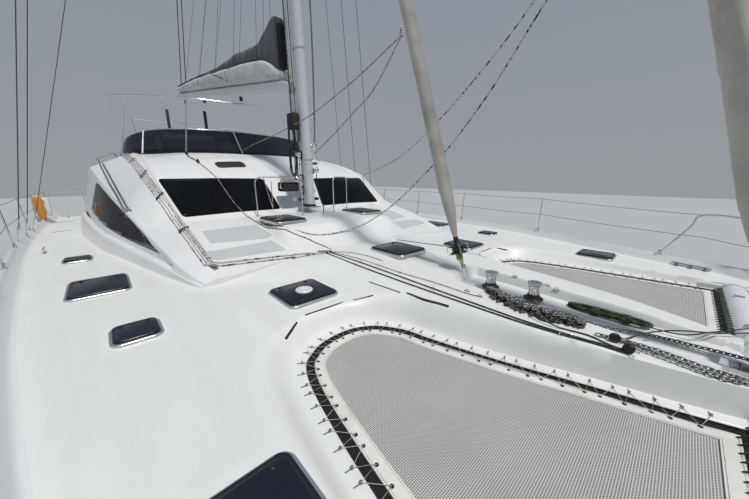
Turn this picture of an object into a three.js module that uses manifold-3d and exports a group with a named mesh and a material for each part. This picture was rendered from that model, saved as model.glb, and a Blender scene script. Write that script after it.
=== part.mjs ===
// A 17.3 m cruising catamaran, cutter rigged, lying afloat with her sails put away.
// Millimetres. +X is forward, +Y is port, +Z is up, and the origin is on the waterline,
// on the centreline, amidships.
import * as THREE from "three";
import { mergeVertices } from "three/addons/utils/BufferGeometryUtils.js";
import Module from "manifold-3d";

const wasm = await Module();
wasm.setup();

// Driving dimensions
const GAP = 0.3; // between pieces that touch
const RUNNING_GAP = 6; // between a moving piece and what it passes
const STARBOARD = -1;
const PORT = 1;

const JOINT_Z = 1420; // flat joint between the hulls and the deck moulding, and the saloon sole
const BOW_X = 8620;
const DECK_AFT_X = -7000;
const STERN_X = -8650;
const TUNNEL_Y = 2300; // inboard wall of each hull under the bridge deck
const TUNNEL_ROOF_Z = 850;
const CROSSBEAM_X = 7320;
const CROSSBEAM_Z = 1600;
const CROSSBEAM_R = 120;
const NET_Z = 1590;
const NET_THICK = 24;
const BULWARK_H = 130;
const BULWARK_LEAN = 60;
const BULWARK_OUT = 120;
const SALOON_AFT_X = -3700;
const ROOF_WALL = 60;
const GLASS = 14;
const MAST_FOOT = [1400, 0, 2440];
const MAST_RAKE = 0.0295; // aft travel for each unit of height
const MAST_TOP_Z = 24000;
const MAST_LONG = 340;
const STANCHION_H = 680;
const WHEEL_R = 280;
const RUDDER_X = -7250;
const BEARING_Z = -323;
const HULL_MID_Y = 3300;
const PROP_X = -5980;
const PROP_Z = -930;
const PROP_R = 255;
const BOOM_LENGTH = 6300;
const BOOM_RISE = 0.13; // climb aft for each unit of length
const BOOM_SWING = 6; // degrees to starboard, as it lies

// Solids
function solid(geometry) {
  const bare = geometry.index ? geometry.toNonIndexed() : geometry.clone();
  for (const name of Object.keys(bare.attributes)) {
    if (name !== "position") bare.deleteAttribute(name);
  }
  const merged = mergeVertices(bare, 1e-3);
  return new wasm.Manifold(
    new wasm.Mesh({
      numProp: 3,
      vertProperties: merged.attributes.position.array,
      triVerts: new Uint32Array(merged.index.array),
    }),
  );
}

function geometryOf(body) {
  const mesh = body.getMesh();
  const geometry = new THREE.BufferGeometry();
  const step = mesh.numProp;
  const points = new Float32Array(mesh.numVert * 3);
  for (let i = 0; i < mesh.numVert; i++) {
    points.set(mesh.vertProperties.subarray(i * step, i * step + 3), i * 3);
  }
  geometry.setAttribute("position", new THREE.BufferAttribute(points, 3));
  geometry.setIndex(new THREE.BufferAttribute(mesh.triVerts, 1));
  return geometry;
}

const join = (...bodies) => bodies.reduce((all, body) => all.add(body));
const cut = (body, ...tools) => tools.reduce((all, tool) => all.subtract(tool), body);
// What rests on another piece is cut by that piece, moved a hair towards it.
const seat = (body, under, way = [0, 0, 1]) =>
  body.subtract(under.translate(way.map((w) => w * GAP)));
// What a cut leaves of a piece, without the scraps behind what it was cut by.
const biggest = (body) => body.decompose().sort((a, b) => b.volume() - a.volume())[0];
// Cut clear of a neighbour on every side.
const clearOf = (body, other) =>
  [[1, 0, 0], [-1, 0, 0], [0, 1, 0], [0, -1, 0], [0, 0, 1], [0, 0, -1]].reduce(
    (all, way) => seat(all, other, way),
    body,
  );
const mirror = (points) => points.map(([x, y, ...rest]) => [x, -y, ...rest]).reverse();

function signedArea(points) {
  let area = 0;
  points.forEach(([x, y], i) => {
    const [nx, ny] = points[(i + 1) % points.length];
    area += x * ny - nx * y;
  });
  return area / 2;
}

// A vertical prism over a closed outline of [x, y].
function prism(outline, z0, z1) {
  const shape = new THREE.Shape(outline.map(([x, y]) => new THREE.Vector2(x, y)));
  const geometry = new THREE.ExtrudeGeometry(shape, { depth: z1 - z0, bevelEnabled: false });
  return solid(geometry.translate(0, 0, z0));
}

// A prism along Y over a closed outline of [x, z].
function sidePrism(outline, y0, y1) {
  const shape = new THREE.Shape(outline.map(([x, z]) => new THREE.Vector2(x, z)));
  const geometry = new THREE.ExtrudeGeometry(shape, { depth: y1 - y0, bevelEnabled: false });
  geometry.rotateX(Math.PI / 2);
  return solid(geometry.translate(0, y1, 0));
}

// A prism along X over a closed outline of [y, z].
function frontPrism(outline, x0, x1) {
  const shape = new THREE.Shape(outline.map(([y, z]) => new THREE.Vector2(y, z)));
  const geometry = new THREE.ExtrudeGeometry(shape, { depth: x1 - x0, bevelEnabled: false });
  geometry.rotateX(Math.PI / 2).rotateZ(Math.PI / 2);
  return solid(geometry.translate(x0, 0, 0));
}

function box(x0, x1, y0, y1, z0, z1) {
  const geometry = new THREE.BoxGeometry(x1 - x0, y1 - y0, z1 - z0);
  return solid(geometry.translate((x0 + x1) / 2, (y0 + y1) / 2, (z0 + z1) / 2));
}

// Skin over rings of points that all have the same number of points, with flat caps.
function loft(rings) {
  const count = rings[0].length;
  const points = rings.flat(2);
  const faces = [];
  for (let r = 0; r + 1 < rings.length; r++) {
    for (let i = 0; i < count; i++) {
      const a = r * count + i;
      const b = r * count + ((i + 1) % count);
      faces.push(a, b, b + count, a, b + count, a + count);
    }
  }
  // A cap fans out from the middle of its ring.
  const capped = (r, flip) => {
    const ring = rings[r];
    const middle = [0, 1, 2].map((k) => ring.reduce((sum, p) => sum + p[k], 0) / count);
    const centre = points.length / 3;
    points.push(...middle);
    for (let i = 0; i < count; i++) {
      const [a, b] = [r * count + i, r * count + ((i + 1) % count)];
      faces.push(...(flip ? [centre, b, a] : [centre, a, b]));
    }
  };
  capped(0, true);
  capped(rings.length - 1, false);
  const geometry = new THREE.BufferGeometry();
  geometry.setAttribute("position", new THREE.Float32BufferAttribute(points, 3));
  geometry.setIndex(faces);
  const body = solid(geometry);
  if (body.volume() >= 0) return body;
  for (let i = 0; i < faces.length; i += 3) {
    [faces[i + 1], faces[i + 2]] = [faces[i + 2], faces[i + 1]];
  }
  geometry.setIndex(faces);
  return solid(geometry);
}

// A straight round bar, tapered where the radii differ.
function rod(from, to, r0, r1 = r0, sides = 8) {
  const a = new THREE.Vector3(...from);
  const b = new THREE.Vector3(...to);
  const geometry = new THREE.CylinderGeometry(r1, r0, a.distanceTo(b), sides);
  const turn = new THREE.Quaternion().setFromUnitVectors(
    new THREE.Vector3(0, 1, 0),
    b.clone().sub(a).normalize(),
  );
  geometry.applyQuaternion(turn);
  return solid(geometry.translate(...a.add(b).multiplyScalar(0.5)));
}

// A bent round tube through points.
function pipe(points, radius, steps, sides = 8) {
  const curve = new THREE.CatmullRomCurve3(points.map((p) => new THREE.Vector3(...p)));
  curve.curveType = "centripetal";
  const section = new THREE.Shape();
  for (let i = 0; i < sides; i++) {
    const turn = (i / sides) * 2 * Math.PI;
    const [x, y] = [radius * Math.cos(turn), radius * Math.sin(turn)];
    if (i) section.lineTo(x, y);
    else section.moveTo(x, y);
  }
  return solid(new THREE.ExtrudeGeometry(section, { steps, extrudePath: curve }));
}

// A turned piece about the vertical through a place; the profile is [radius, height].
function turned(place, profile, sides = 16) {
  const points = profile.map(([r, h]) => new THREE.Vector2(r, h));
  const geometry = new THREE.LatheGeometry(points, sides).rotateX(Math.PI / 2);
  return solid(geometry.translate(...place));
}

// A turned piece along a line; the profile is [distance from the start, radius].
function turnedAlong(from, to, profile, sides) {
  const a = new THREE.Vector3(...from);
  const way = new THREE.Vector3(...to).sub(a).normalize();
  const [first, last] = [profile[0][0], profile[profile.length - 1][0]];
  const points = [[first, 0], ...profile, [last, 0]].map(([h, r]) => new THREE.Vector2(r, h));
  const geometry = new THREE.LatheGeometry(points, sides);
  const turn = new THREE.Quaternion().setFromUnitVectors(new THREE.Vector3(0, 1, 0), way);
  return solid(geometry.applyQuaternion(turn).translate(...a));
}

const between = (a, b, t) => a.map((v, i) => v + (b[i] - v) * t);

// Value of a table of [x, value] at x.
function along(table, x) {
  const rows = [...table].sort((a, b) => a[0] - b[0]);
  if (x <= rows[0][0]) return rows[0][1];
  for (let i = 1; i < rows.length; i++) {
    const [x0, v0] = rows[i - 1];
    const [x1, v1] = rows[i];
    if (x <= x1) return v0 + ((v1 - v0) * (x - x0)) / (x1 - x0);
  }
  return rows[rows.length - 1][1];
}

// Deck lines, as [x, value]
const DECK_Z = [
  [8620, 1620],
  [6600, 1700],
  [5600, 1740],
  [4000, 1800],
  [-1900, 1800],
  [-6300, 1780],
  [-7000, 1770],
];
const DECK_EDGE_Y = [
  [8620, 3015],
  [8300, 3080],
  [7900, 3140],
  [7300, 3210],
  [6620, 3270],
  [5050, 3590],
  [3420, 3830],
  [1640, 4010],
  [0, 4160],
  [-1860, 4260],
  [-4600, 4290],
  [-6300, 4230],
  [-8650, 4080],
];
const BOW_INNER_Y = [
  [8620, 2980],
  [8300, 2900],
  [7800, 2740],
  [7200, 2600],
  [6400, 2480],
  [5300, TUNNEL_Y],
];
const deckZ = (x) => along(DECK_Z, x);
const edgeY = (x) => along(DECK_EDGE_Y, x);
const innerY = (x) => along(BOW_INNER_Y, x);
const topsideY = (x) => edgeY(x) + 95;

// Hulls: x, keel z, half beam at the waterline, middle y
const HULL_STATIONS = [
  [8620, 150, 30, 3050],
  [8300, -330, 90, 3060],
  [7500, -500, 250, 3080],
  [6400, -610, 420, 3140],
  [4600, -680, 560, 3260],
  [2000, -720, 650, HULL_MID_Y],
  [-1500, -720, 680, HULL_MID_Y],
  [-4500, -640, 680, HULL_MID_Y],
  [-6600, -430, 660, HULL_MID_Y],
  [-8000, -170, 620, HULL_MID_Y],
  [STERN_X, -40, 580, HULL_MID_Y],
];

function hullRing([x, keel, half, mid], side) {
  const level = Math.max(0, keel + 200);
  const outer = topsideY(x);
  const inner = innerY(x);
  const points = [
    [inner, JOINT_Z],
    [inner, 800],
    [mid - half - 20, level + 260],
    [mid - half, level],
    [mid - 0.86 * half, keel * 0.55 + level * 0.45],
    [mid - 0.48 * half, keel * 0.88 + level * 0.12],
    [mid, keel],
    [mid + 0.48 * half, keel * 0.88 + level * 0.12],
    [mid + 0.86 * half, keel * 0.55 + level * 0.45],
    [mid + half, level],
    [mid + half + (outer - mid - half) * 0.62, 760],
    [outer, JOINT_Z],
  ];
  return points.map(([y, z]) => [x, side * y, z]);
}

// Stern steps: x of each riser and the tread aft of it
const STERN_STEPS = [
  [-7080, 1150],
  [-7420, 880],
  [-7760, 610],
];

function hullBody(side) {
  const stock = (z) => [RUDDER_X, side * HULL_MID_Y, z];
  const bearing = rod(stock(-150), stock(BEARING_Z), 50, 44, 16);
  let body = join(loft(HULL_STATIONS.map((row) => hullRing(row, side))), bearing);
  for (const [x, z] of STERN_STEPS) {
    const y0 = TUNNEL_Y - 50;
    const y1 = topsideY(x) - 110;
    body = cut(body, box(STERN_X - 50, x, Math.min(side * y0, side * y1),
      Math.max(side * y0, side * y1), z, JOINT_Z + 50));
  }
  return body;
}

// Trampoline openings, port side, from the front inboard corner round by aft to the front
// outboard corner: x, y, width of the sloping well beside the rim
const NET_RIM = [
  [7500, 450, 110],
  [6950, 640, 110],
  [6510, 770, 115],
  [6150, 885, 140],
  [5760, 1000, 180],
  [5300, 1110, 200],
  [5025, 1165, 200],
  [4782, 1312, 190],
  [4660, 1510, 180],
  [4640, 1720, 190],
  [4670, 1900, 220],
  [4737, 2027, 260],
  [4865, 2170, 300],
  [5200, 2290, 320],
  [5950, 2430, 260],
  [7200, 2600, 115],
  [7500, 2650, 110],
];

// The rim moved outwards by a share of the well's width plus a fixed width.
function rimOutline(side, share, extra) {
  const count = NET_RIM.length;
  const points = NET_RIM.map(([x, y, wide], i) => {
    const [px, py] = NET_RIM[Math.max(i - 1, 0)];
    const [nx, ny] = NET_RIM[Math.min(i + 1, count - 1)];
    const length = Math.hypot(nx - px, ny - py);
    const out = share * wide + extra;
    return [x + ((py - ny) / length) * out, y - ((px - nx) / length) * out];
  });
  const placed = points.map(([x, y]) => [x, side * y]);
  return signedArea(placed) > 0 ? placed : placed.reverse();
}

// Levels of the well: height, share of the width, extra width
const WELL_LEVELS = [
  [NET_Z + 14, 0, 85],
  [1690, 0.5, 50],
  [1800, 1, 0],
  [2100, 1.1, 30],
];

function wellCut(side) {
  const rings = WELL_LEVELS.map(([z, share, extra]) =>
    rimOutline(side, share, extra).map(([x, y]) => [x, y, z]),
  );
  return join(loft(rings), prism(rimOutline(side, 0, 0), JOINT_Z - 50, NET_Z + 60));
}

// Foredeck sections: x, centre z, shoulder y, shoulder z, foot y, foot rise above the deck
const FOREDECK = [
  [CROSSBEAM_X - CROSSBEAM_R - GAP, 1795, 460, 1785, 700, 30],
  [6620, 1850, 640, 1840, 900, 20],
  [5800, 1885, 740, 1865, 1150, 20],
  [4950, 1910, 840, 1890, 1320, 10],
  [3700, 1985, 850, 1950, 1350, 5],
  [3100, 1985, 1200, 1960, 2380, 15],
  [2000, 1985, 1200, 1960, 2600, 0],
  [-1900, 1985, 1200, 1960, 2600, 0],
  [-6300, 1985, 1200, 1960, 2600, 0],
  [DECK_AFT_X, 1985, 1200, 1960, 2600, 0],
];

function deckRing([x, centre, shoulderY, shoulderZ, footY, footRise]) {
  const z = deckZ(x);
  const edge = edgeY(x);
  const half = [
    [0, centre],
    [shoulderY, shoulderZ],
    [footY, z + footRise],
    [edge, z],
    [edge + BULWARK_LEAN, z + BULWARK_H],
    [edge + BULWARK_OUT, z + BULWARK_H - 12],
    [edge + 95, JOINT_Z + GAP],
  ];
  const starboard = half.slice(1).map(([y, h]) => [x, -y, h]);
  return [...half.map(([y, h]) => [x, y, h]), ...starboard.reverse()];
}

// Extra deck stations that follow the edge where it curves
const withEdgeStations = (rows) => {
  const xs = [1640, 0, -4600];
  const extra = xs.map((x) => {
    const sorted = [...rows].sort((a, b) => a[0] - b[0]);
    return [x, ...[1, 2, 3, 4, 5].map((k) => along(sorted.map((r) => [r[0], r[k]]), x))];
  });
  return [...rows, ...extra].sort((a, b) => b[0] - a[0]);
};

const BOW_STATIONS = [7000, 7500, 7900, 8300, BOW_X];

function bowDeck(side) {
  const rings = BOW_STATIONS.map((x) => {
    const z = deckZ(x);
    const edge = edgeY(x);
    const lean = Math.min(BULWARK_LEAN, (edge - innerY(x)) * 0.5);
    return [
      [innerY(x), JOINT_Z + GAP],
      [innerY(x), z - 30],
      [innerY(x) + 12, z],
      [edge, z],
      [edge + lean, z + BULWARK_H],
      [edge + BULWARK_OUT, z + BULWARK_H - 12],
      [edge + 95, JOINT_Z + GAP],
    ].map(([y, h]) => [x, side * y, h]);
  });
  return loft(rings);
}

// Cabin base line on the side deck, as [x, y]
const CABIN_BASE_Y = [
  [3100, 2450],
  [2870, 2530],
  [2250, 2690],
  [1220, 2920],
  [-100, 3240],
  [-2060, 3520],
  [SALOON_AFT_X, 3600],
];
const baseY = (x) => along(CABIN_BASE_Y, x);

function cabinOutline(grow) {
  const port = CABIN_BASE_Y.map(([x, y]) => [x, y + grow]);
  port[0][0] += grow;
  port[port.length - 1][0] -= grow;
  return [...port, ...mirror(port)];
}

// Cockpit between the cabin and the aft bench
const COCKPIT = { x0: -6450, x1: SALOON_AFT_X, y: 2350, seatY: 1700 };
const AFT_BENCH = { x1: -6450, y: 1500, z: 1840, sill: 1480 };

// Hatches: name, x, |y|, length along x, width, height of the deck there
const HATCHES = [
  ["bow_locker_lid", 5810, 2900, 480, 460, 1745],
  ["forward_cabin_hatch", 3790, 3090, 330, 300, 1810],
  ["side_cabin_hatch", 2220, 3300, 660, 510, 1812],
  ["midship_cabin_hatch", 480, 3530, 300, 300, 1812],
  ["foredeck_hatch", 4000, 1675, 540, 540, 1815],
  ["apron_hatch", 2000, 890, 700, 520, 2336],
];
const CENTRE_HATCH = ["sail_locker_hatch", 3870, 0, 620, 550, 1992];
const FRAME_EDGE = 34;
const FRAME_H = 12;
const LID_THICK = 20;

function hatchFrame([, x, y, long, wide, z], side) {
  const [hx, hy] = [long / 2 + FRAME_EDGE, wide / 2 + FRAME_EDGE];
  return box(x - hx, x + hx, side * y - hy, side * y + hy, z - 90, z + FRAME_H);
}

function hatchLid([, x, y, long, wide, z], side) {
  const bottom = z + FRAME_H + GAP;
  const outline = roundedRectangle(x, side * y, long, wide, 55);
  return prism(outline, bottom, bottom + LID_THICK);
}

function roundedRectangle(x, y, long, wide, radius) {
  const points = [];
  const corners = [
    [1, 1, 0],
    [-1, 1, 1],
    [-1, -1, 2],
    [1, -1, 3],
  ];
  for (const [sx, sy, quarter] of corners) {
    for (let i = 0; i <= 2; i++) {
      const turn = ((quarter + i / 2) * Math.PI) / 2;
      points.push([
        x + sx * (long / 2 - radius) + radius * Math.cos(turn),
        y + sy * (wide / 2 - radius) + radius * Math.sin(turn),
      ]);
    }
  }
  return points;
}

const isApron = ([name]) => name === "apron_hatch";
const bothSides = [STARBOARD, PORT];

// Deck cleats: x, |y|; each is a base with two posts and a bar
const CLEATS = [
  [7750, 2960],
  [-550, 3960],
  [-6750, 3960],
];

function cleat(x, y, z) {
  return join(
    box(x - 60, x + 60, y - 28, y + 28, z - 40, z + 12),
    box(x - 42, x - 22, y - 14, y + 14, z, z + 62),
    box(x + 22, x + 42, y - 14, y + 14, z, z + 62),
    box(x - 150, x + 150, y - 16, y + 16, z + 58, z + 84),
  );
}

// The trough between the shoulders of the walkway, where the chains run
const TROUGH = { x0: 4980, x1: 7300, y0: 300, y1: 260, depth: 125 };

// Windlass capstans in the trough, each on a round pad of the deck
const CAPSTANS = { x: [5320, 5780], z: 1812, padR: 122 };

function deckBody() {
  let body = loft(withEdgeStations(FOREDECK).map(deckRing));
  body = join(body, bowDeck(STARBOARD), bowDeck(PORT));
  for (const side of bothSides) body = cut(body, wellCut(side));
  const { x0, x1, y0, y1, depth } = TROUGH;
  const trough = loft([
    [[x0, -y0, 1790], [x0, y0, 1790], [x0, y0 + 70, 2200], [x0, -y0 - 70, 2200]],
    [[x1, -y1, 1735], [x1, y1, 1735], [x1, y1 + 50, 2200], [x1, -y1 - 50, 2200]],
  ]);
  body = cut(body, trough);
  const { z, padR } = CAPSTANS;
  const pads = CAPSTANS.x.map((x) => turned([x, 0, z], [[0, -90], [padR, -90], [padR, 0], [0, 0]], 18));
  body = join(body, ...pads);
  body = cut(body, prism(cabinOutline(GAP), JOINT_Z - 50, 4000));
  body = cut(body, box(COCKPIT.x0, COCKPIT.x1 + 50, -COCKPIT.y, COCKPIT.y, 1000, 4000));
  body = cut(body, box(DECK_AFT_X - 50, AFT_BENCH.x1 + 1, -COCKPIT.y, COCKPIT.y, AFT_BENCH.z, 4000));
  for (const side of bothSides) {
    const gate = [side * AFT_BENCH.y, side * (COCKPIT.y + 700)].sort((a, b) => a - b);
    body = cut(body, box(DECK_AFT_X - 50, AFT_BENCH.x1 + 1, ...gate, AFT_BENCH.sill, 4000));
    for (const hatch of HATCHES) {
      if (!isApron(hatch)) body = join(body, hatchFrame(hatch, side));
    }
    for (const [x, y] of CLEATS) body = join(body, cleat(x, side * y, deckZ(x)));
  }
  for (const side of bothSides) {
    const [y0, y1] = [side * COCKPIT.seatY, side * (COCKPIT.y + 10)].sort((a, b) => a - b);
    body = join(body, box(-6000, -4600, y0, y1, JOINT_Z + GAP, JOINT_Z + 430));
  }
  return join(body, hatchFrame(CENTRE_HATCH, 1));
}

// Coachroof sections, half of each: x, then [y, z] of the centre, the edge of the middle
// panel, its foot, the valley, the wing's ridge, the wing's outer edge and the base step
const ROOF_SECTIONS = [
  [3100, [0, 1985], [1120, 1965], [1250, 1955], [2120, 1885], [2300, 1885], [2410, 1850], [2445, 1824]],
  [2870, [0, 2070], [1130, 2050], [1270, 2010], [2150, 1955], [2290, 1985], [2495, 1915], [2530, 1855]],
  [2550, [0, 2290], [1150, 2270], [1300, 2075], [2180, 2030], [2320, 2090], [2562, 1980], [2610, 1885]],
  [2250, [0, 2325], [1150, 2310], [1310, 2150], [2200, 2110], [2330, 2195], [2605, 2055], [2670, 1912]],
  [1250, [0, 2345], [480, 2345], [1350, 2345], [2220, 2350], [2320, 2440], [2725, 2245], [2875, 1955]],
  [1130, [0, 2405], [470, 2405], [1350, 2415], [2235, 2430], [2325, 2520], [2739, 2280], [2905, 1962]],
  [580, [0, 3050], [550, 3050], [1400, 2985], [2320, 2800], [2390, 2890], [2820, 2430], [3018, 1990]],
  [200, [0, 3225], [900, 3210], [1500, 3165], [2370, 3050], [2430, 3120], [2872, 2545], [3110, 2015]],
  [-300, [0, 3440], [1000, 3420], [1600, 3375], [2360, 3220], [2430, 3265], [2941, 2700], [3219, 2045]],
  [-900, [0, 3580], [1000, 3570], [1600, 3530], [2340, 3380], [2420, 3410], [3026, 2870], [3304, 2080]],
  [-1600, [0, 3620], [1000, 3615], [1600, 3590], [2320, 3500], [2400, 3530], [3095, 3065], [3379, 2120]],
  [-2450, [0, 3620], [1000, 3620], [1600, 3612], [2300, 3590], [2375, 3615], [3171, 3260], [3455, 2160]],
  [SALOON_AFT_X,
    [0, 3600], [1000, 3600], [1600, 3590], [2350, 3560], [2450, 3565], [3218, 3200], [3526, 2160]],
];

function roofRing([x, ...half]) {
  const base = baseY(x);
  const port = [...half, [base, deckZ(x)], [base, JOINT_Z + GAP]];
  const starboard = port.slice(1).map(([y, z]) => [x, -y, z]);
  return [...port.map(([y, z]) => [x, y, z]), ...starboard.reverse()];
}

// The hollow inside: the same sections, drawn in by the wall
function hollowRing([x, ...half]) {
  const inner = half.map(([y, z], i) => [Math.max(y - (i ? ROOF_WALL : 0), 0), z - ROOF_WALL]);
  inner[4][1] = inner[3][1] - 10;
  const base = baseY(x) - ROOF_WALL;
  const port = [...inner, [base, deckZ(x) - 30], [base, 1000]];
  const at = x - ROOF_WALL;
  const starboard = port.slice(1).map(([y, z]) => [at, -y, z]);
  return [...port.map(([y, z]) => [at, y, z]), ...starboard.reverse()];
}

// Window outlines as the eye meets them: front ones as [y, z] on port, side ones as [x, z]
const FRONT_WINDOW = [
  [490, 2415],
  [1350, 2420],
  [2195, 2405],
  [2335, 3010],
  [1480, 3020],
  [600, 3010],
];
const SIDE_WINDOW = [
  [-2050, 2330],
  [-600, 2170],
  [260, 2090],
  [1200, 2035],
  [1960, 2025],
  [1340, 2180],
  [300, 2465],
  [-680, 2740],
  [-1300, 2895],
  [-1600, 2930],
];
const WINDOW_SEAM = 0.8;

const shrink = (outline, by) => {
  const middle = outline.reduce((sum, p) => [sum[0] + p[0], sum[1] + p[1]], [0, 0]);
  const [mx, my] = middle.map((v) => v / outline.length);
  return outline.map(([x, y]) => {
    const length = Math.hypot(x - mx, y - my);
    return [x + ((mx - x) * by) / length, y + ((my - y) * by) / length];
  });
};

const frontWindowTool = (side, by) => {
  const outline = shrink(FRONT_WINDOW, by).map(([y, z]) => [side * y, z]);
  return frontPrism(signedArea(outline) > 0 ? outline : outline.reverse(), 120, 1300);
};

const sideWindowTool = (side, by) => {
  const outline = shrink(SIDE_WINDOW, by);
  const ys = [side * 2500, side * 3700].sort((a, b) => a - b);
  return sidePrism(outline, ...ys);
};

const DOOR = { y0: -420, y1: 420, z0: JOINT_Z, z1: 3300, slide: 780, thick: 34 };

const roofShell = () => loft(ROOF_SECTIONS.map(roofRing))
  .intersect(prism(cabinOutline(0), JOINT_Z - 50, 4000));

function roofHollow() {
  const rows = ROOF_SECTIONS.filter(([x]) => x <= 1130);
  const rings = rows.map(hollowRing);
  rings[rings.length - 1].forEach((p) => {
    p[0] = SALOON_AFT_X + ROOF_WALL;
  });
  return loft(rings);
}

function roofBody() {
  let body = cut(roofShell(), roofHollow());
  for (const side of bothSides) {
    body = cut(body, frontWindowTool(side, 0), sideWindowTool(side, 0));
    body = join(body, hatchFrame(HATCHES.find(isApron), side));
  }
  const door = box(SALOON_AFT_X - 50, SALOON_AFT_X + 100, DOOR.y0, DOOR.y1, 1000, DOOR.z1);
  const track = box(SALOON_AFT_X + 50, SALOON_AFT_X + 130, DOOR.y0 - 40, DOOR.y1 + DOOR.slide + 60,
    DOOR.z1 + 46, DOOR.z1 + 80);
  return join(cut(body, door), track, mastStep());
}

// The pad on the apron that takes the mast
function mastStep() {
  const [x, , z] = MAST_FOOT;
  return box(x - 230, x + 230, -180, 180, z - 200, z - GAP);
}

function roofWindow(tool, inward) {
  const shell = roofShell();
  return tool.intersect(shell).subtract(shell.translate(inward));
}

const frontWindow = (side) => roofWindow(frontWindowTool(side, WINDOW_SEAM), [-GLASS, 0, -GLASS]);
const sideWindow = (side) => roofWindow(sideWindowTool(side, WINDOW_SEAM), [0, -side * GLASS, -GLASS * 0.3]);

// Bridge deck between the hulls, with the beam under the walkway
function bridgeBody() {
  const side = TUNNEL_Y - GAP;
  const top = JOINT_Z;
  const profile = [
    [-6950, 980],
    [-6450, TUNNEL_ROOF_Z],
    [3200, TUNNEL_ROOF_Z],
    [4560, 1250],
    [4560, top],
    [-6950, top],
  ];
  const slab = sidePrism(profile, -side, side);
  const beam = loft([
    [[4200, -620, top], [4200, -420, 1060], [4200, 420, 1060], [4200, 620, top]],
    [[5800, -560, top], [5800, -360, 1130], [5800, 360, 1130], [5800, 560, top]],
    [[7150, -400, top], [7150, -240, 1270], [7150, 240, 1270], [7150, 400, top]],
  ]);
  return join(slab, beam);
}

// Forward crossbeam with the strut and wires above it
function crossbeamBody() {
  const half = 2720;
  let body = rod([CROSSBEAM_X, -half, CROSSBEAM_Z], [CROSSBEAM_X, half, CROSSBEAM_Z],
    CROSSBEAM_R, CROSSBEAM_R, 20);
  const [x0, x1] = BOW_STATIONS;
  const walls = [
    [x0, innerY(x0) - GAP],
    [x1, innerY(x1) - GAP],
    [x1, half + 100],
    [x0, half + 100],
  ];
  body = cut(body, prism([...walls].reverse(), 1000, 2000), prism(mirror(walls).reverse(), 1000, 2000));
  const eye = box(CROSSBEAM_X - 30, CROSSBEAM_X + 50, -12, 12, CROSSBEAM_Z, CROSSBEAM_Z + 190);
  return join(body, eye, bowRoller());
}

const mastX = (z) => MAST_FOOT[0] - (z - MAST_FOOT[2]) * MAST_RAKE;

// Mast: outline of the section, [x, y], nose forward
const MAST_SECTION = [
  [170, 0],
  [150, 55],
  [90, 92],
  [-20, 100],
  [-120, 80],
  [-170, 35],
  [-170, -35],
  [-120, -80],
  [-20, -100],
  [90, -92],
  [150, -55],
];
// Spreaders: z, half span, sweep aft
const SPREADERS = [
  [9300, 1150, 420],
  [15800, 1000, 380],
];
const GOOSENECK = { z: 4700, out: 95 };

// Side stays: foot on the side deck and height on the mast
const CAP_SHROUD = { foot: [-1320, 4310, 1905], z: 23000 };
const SECOND_SHROUD = { foot: [-2200, 4310, 1905], z: 21800 };
const RUNNER = { foot: [-3050, 4310, 1905], z: 15300 };
const WIRE_R = 7;
// Lugs on the mast that the stays hang from
const TANG = { back: -50, y: 140, half: 35, nose: 60, play: 3 };

const sideHead = (z, side) => [mastX(z) + TANG.back, side * TANG.y, z - TANG.half - TANG.play];
const stay = ([x, y, h], z, side, radius = WIRE_R, share = 1, sides = 6) => {
  const start = [x, side * y, h];
  return rod(start, between(start, sideHead(z, side), share), radius, radius, sides);
};

// Rolled headsails: foot, height on the mast, radius low down, radius high up
const GENOA = { foot: [7350, 0, 1800], z: 23500, r: 105, top: 55 };
const STAYSAIL = { foot: [4950, 0, 1925], z: 13200, r: 85, top: 45 };
const DRUM = { r: 105, h: 130, above: 130 };

function mastBody() {
  const ring = (z, size) => MAST_SECTION.map(([x, y]) => [mastX(z) + x * size, y * size, z]);
  const foot = MAST_FOOT[2];
  let body = loft([ring(foot, 1), ring(20500, 1), ring(MAST_TOP_Z, 0.72)]);
  body = join(body, box(MAST_FOOT[0] - 210, MAST_FOOT[0] + 210, -150, 150, foot, foot + 30));
  for (const [z, half, sweep] of SPREADERS) {
    const x = mastX(z);
    for (const side of bothSides) {
      body = join(body, loft([
        [[x - 70, 0, z - 16], [x + 70, 0, z - 16], [x + 70, 0, z + 16], [x - 70, 0, z + 16]],
        [
          [x - sweep - 32, side * half, z + 50],
          [x - sweep + 32, side * half, z + 50],
          [x - sweep + 32, side * half, z + 70],
          [x - sweep - 32, side * half, z + 70],
        ],
      ]));
    }
  }
  const lugX = mastX(GOOSENECK.z) - MAST_LONG / 2;
  const lug = box(lugX - GOOSENECK.out - 50, lugX + 40, -35, 35, GOOSENECK.z - 90, GOOSENECK.z - 60);
  for (const { z } of [CAP_SHROUD, SECOND_SHROUD, RUNNER]) {
    const x = mastX(z) + TANG.back;
    body = join(body, box(x - 25, x + 25, -TANG.y - 20, TANG.y + 20, z - TANG.half, z + TANG.half));
  }
  for (const { z } of [GENOA, STAYSAIL]) {
    const x = mastX(z) + MAST_LONG / 2;
    body = join(body, box(x - 60, x + TANG.nose + 22, -14, 14, z - TANG.half, z + TANG.half));
  }
  const head = box(mastX(MAST_TOP_Z) - 170, mastX(MAST_TOP_Z) + 190, -45, 45, MAST_TOP_Z - 120, MAST_TOP_Z);
  return join(body, lug, head);
}

function shroudBody(side, deck) {
  const [x0, y, z] = CAP_SHROUD.foot;
  const [x1] = SECOND_SHROUD.foot;
  const plate = box(x1 - 60, x0 + 60, side * y - 9, side * y + 9, z - 140, z + 90);
  const wires = [CAP_SHROUD, SECOND_SHROUD].flatMap((line) => [
    stay(line.foot, line.z, side),
    stay(line.foot, line.z, side, 17, 0.02, 8),
  ]);
  return seat(join(plate, ...wires), deck);
}

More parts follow.
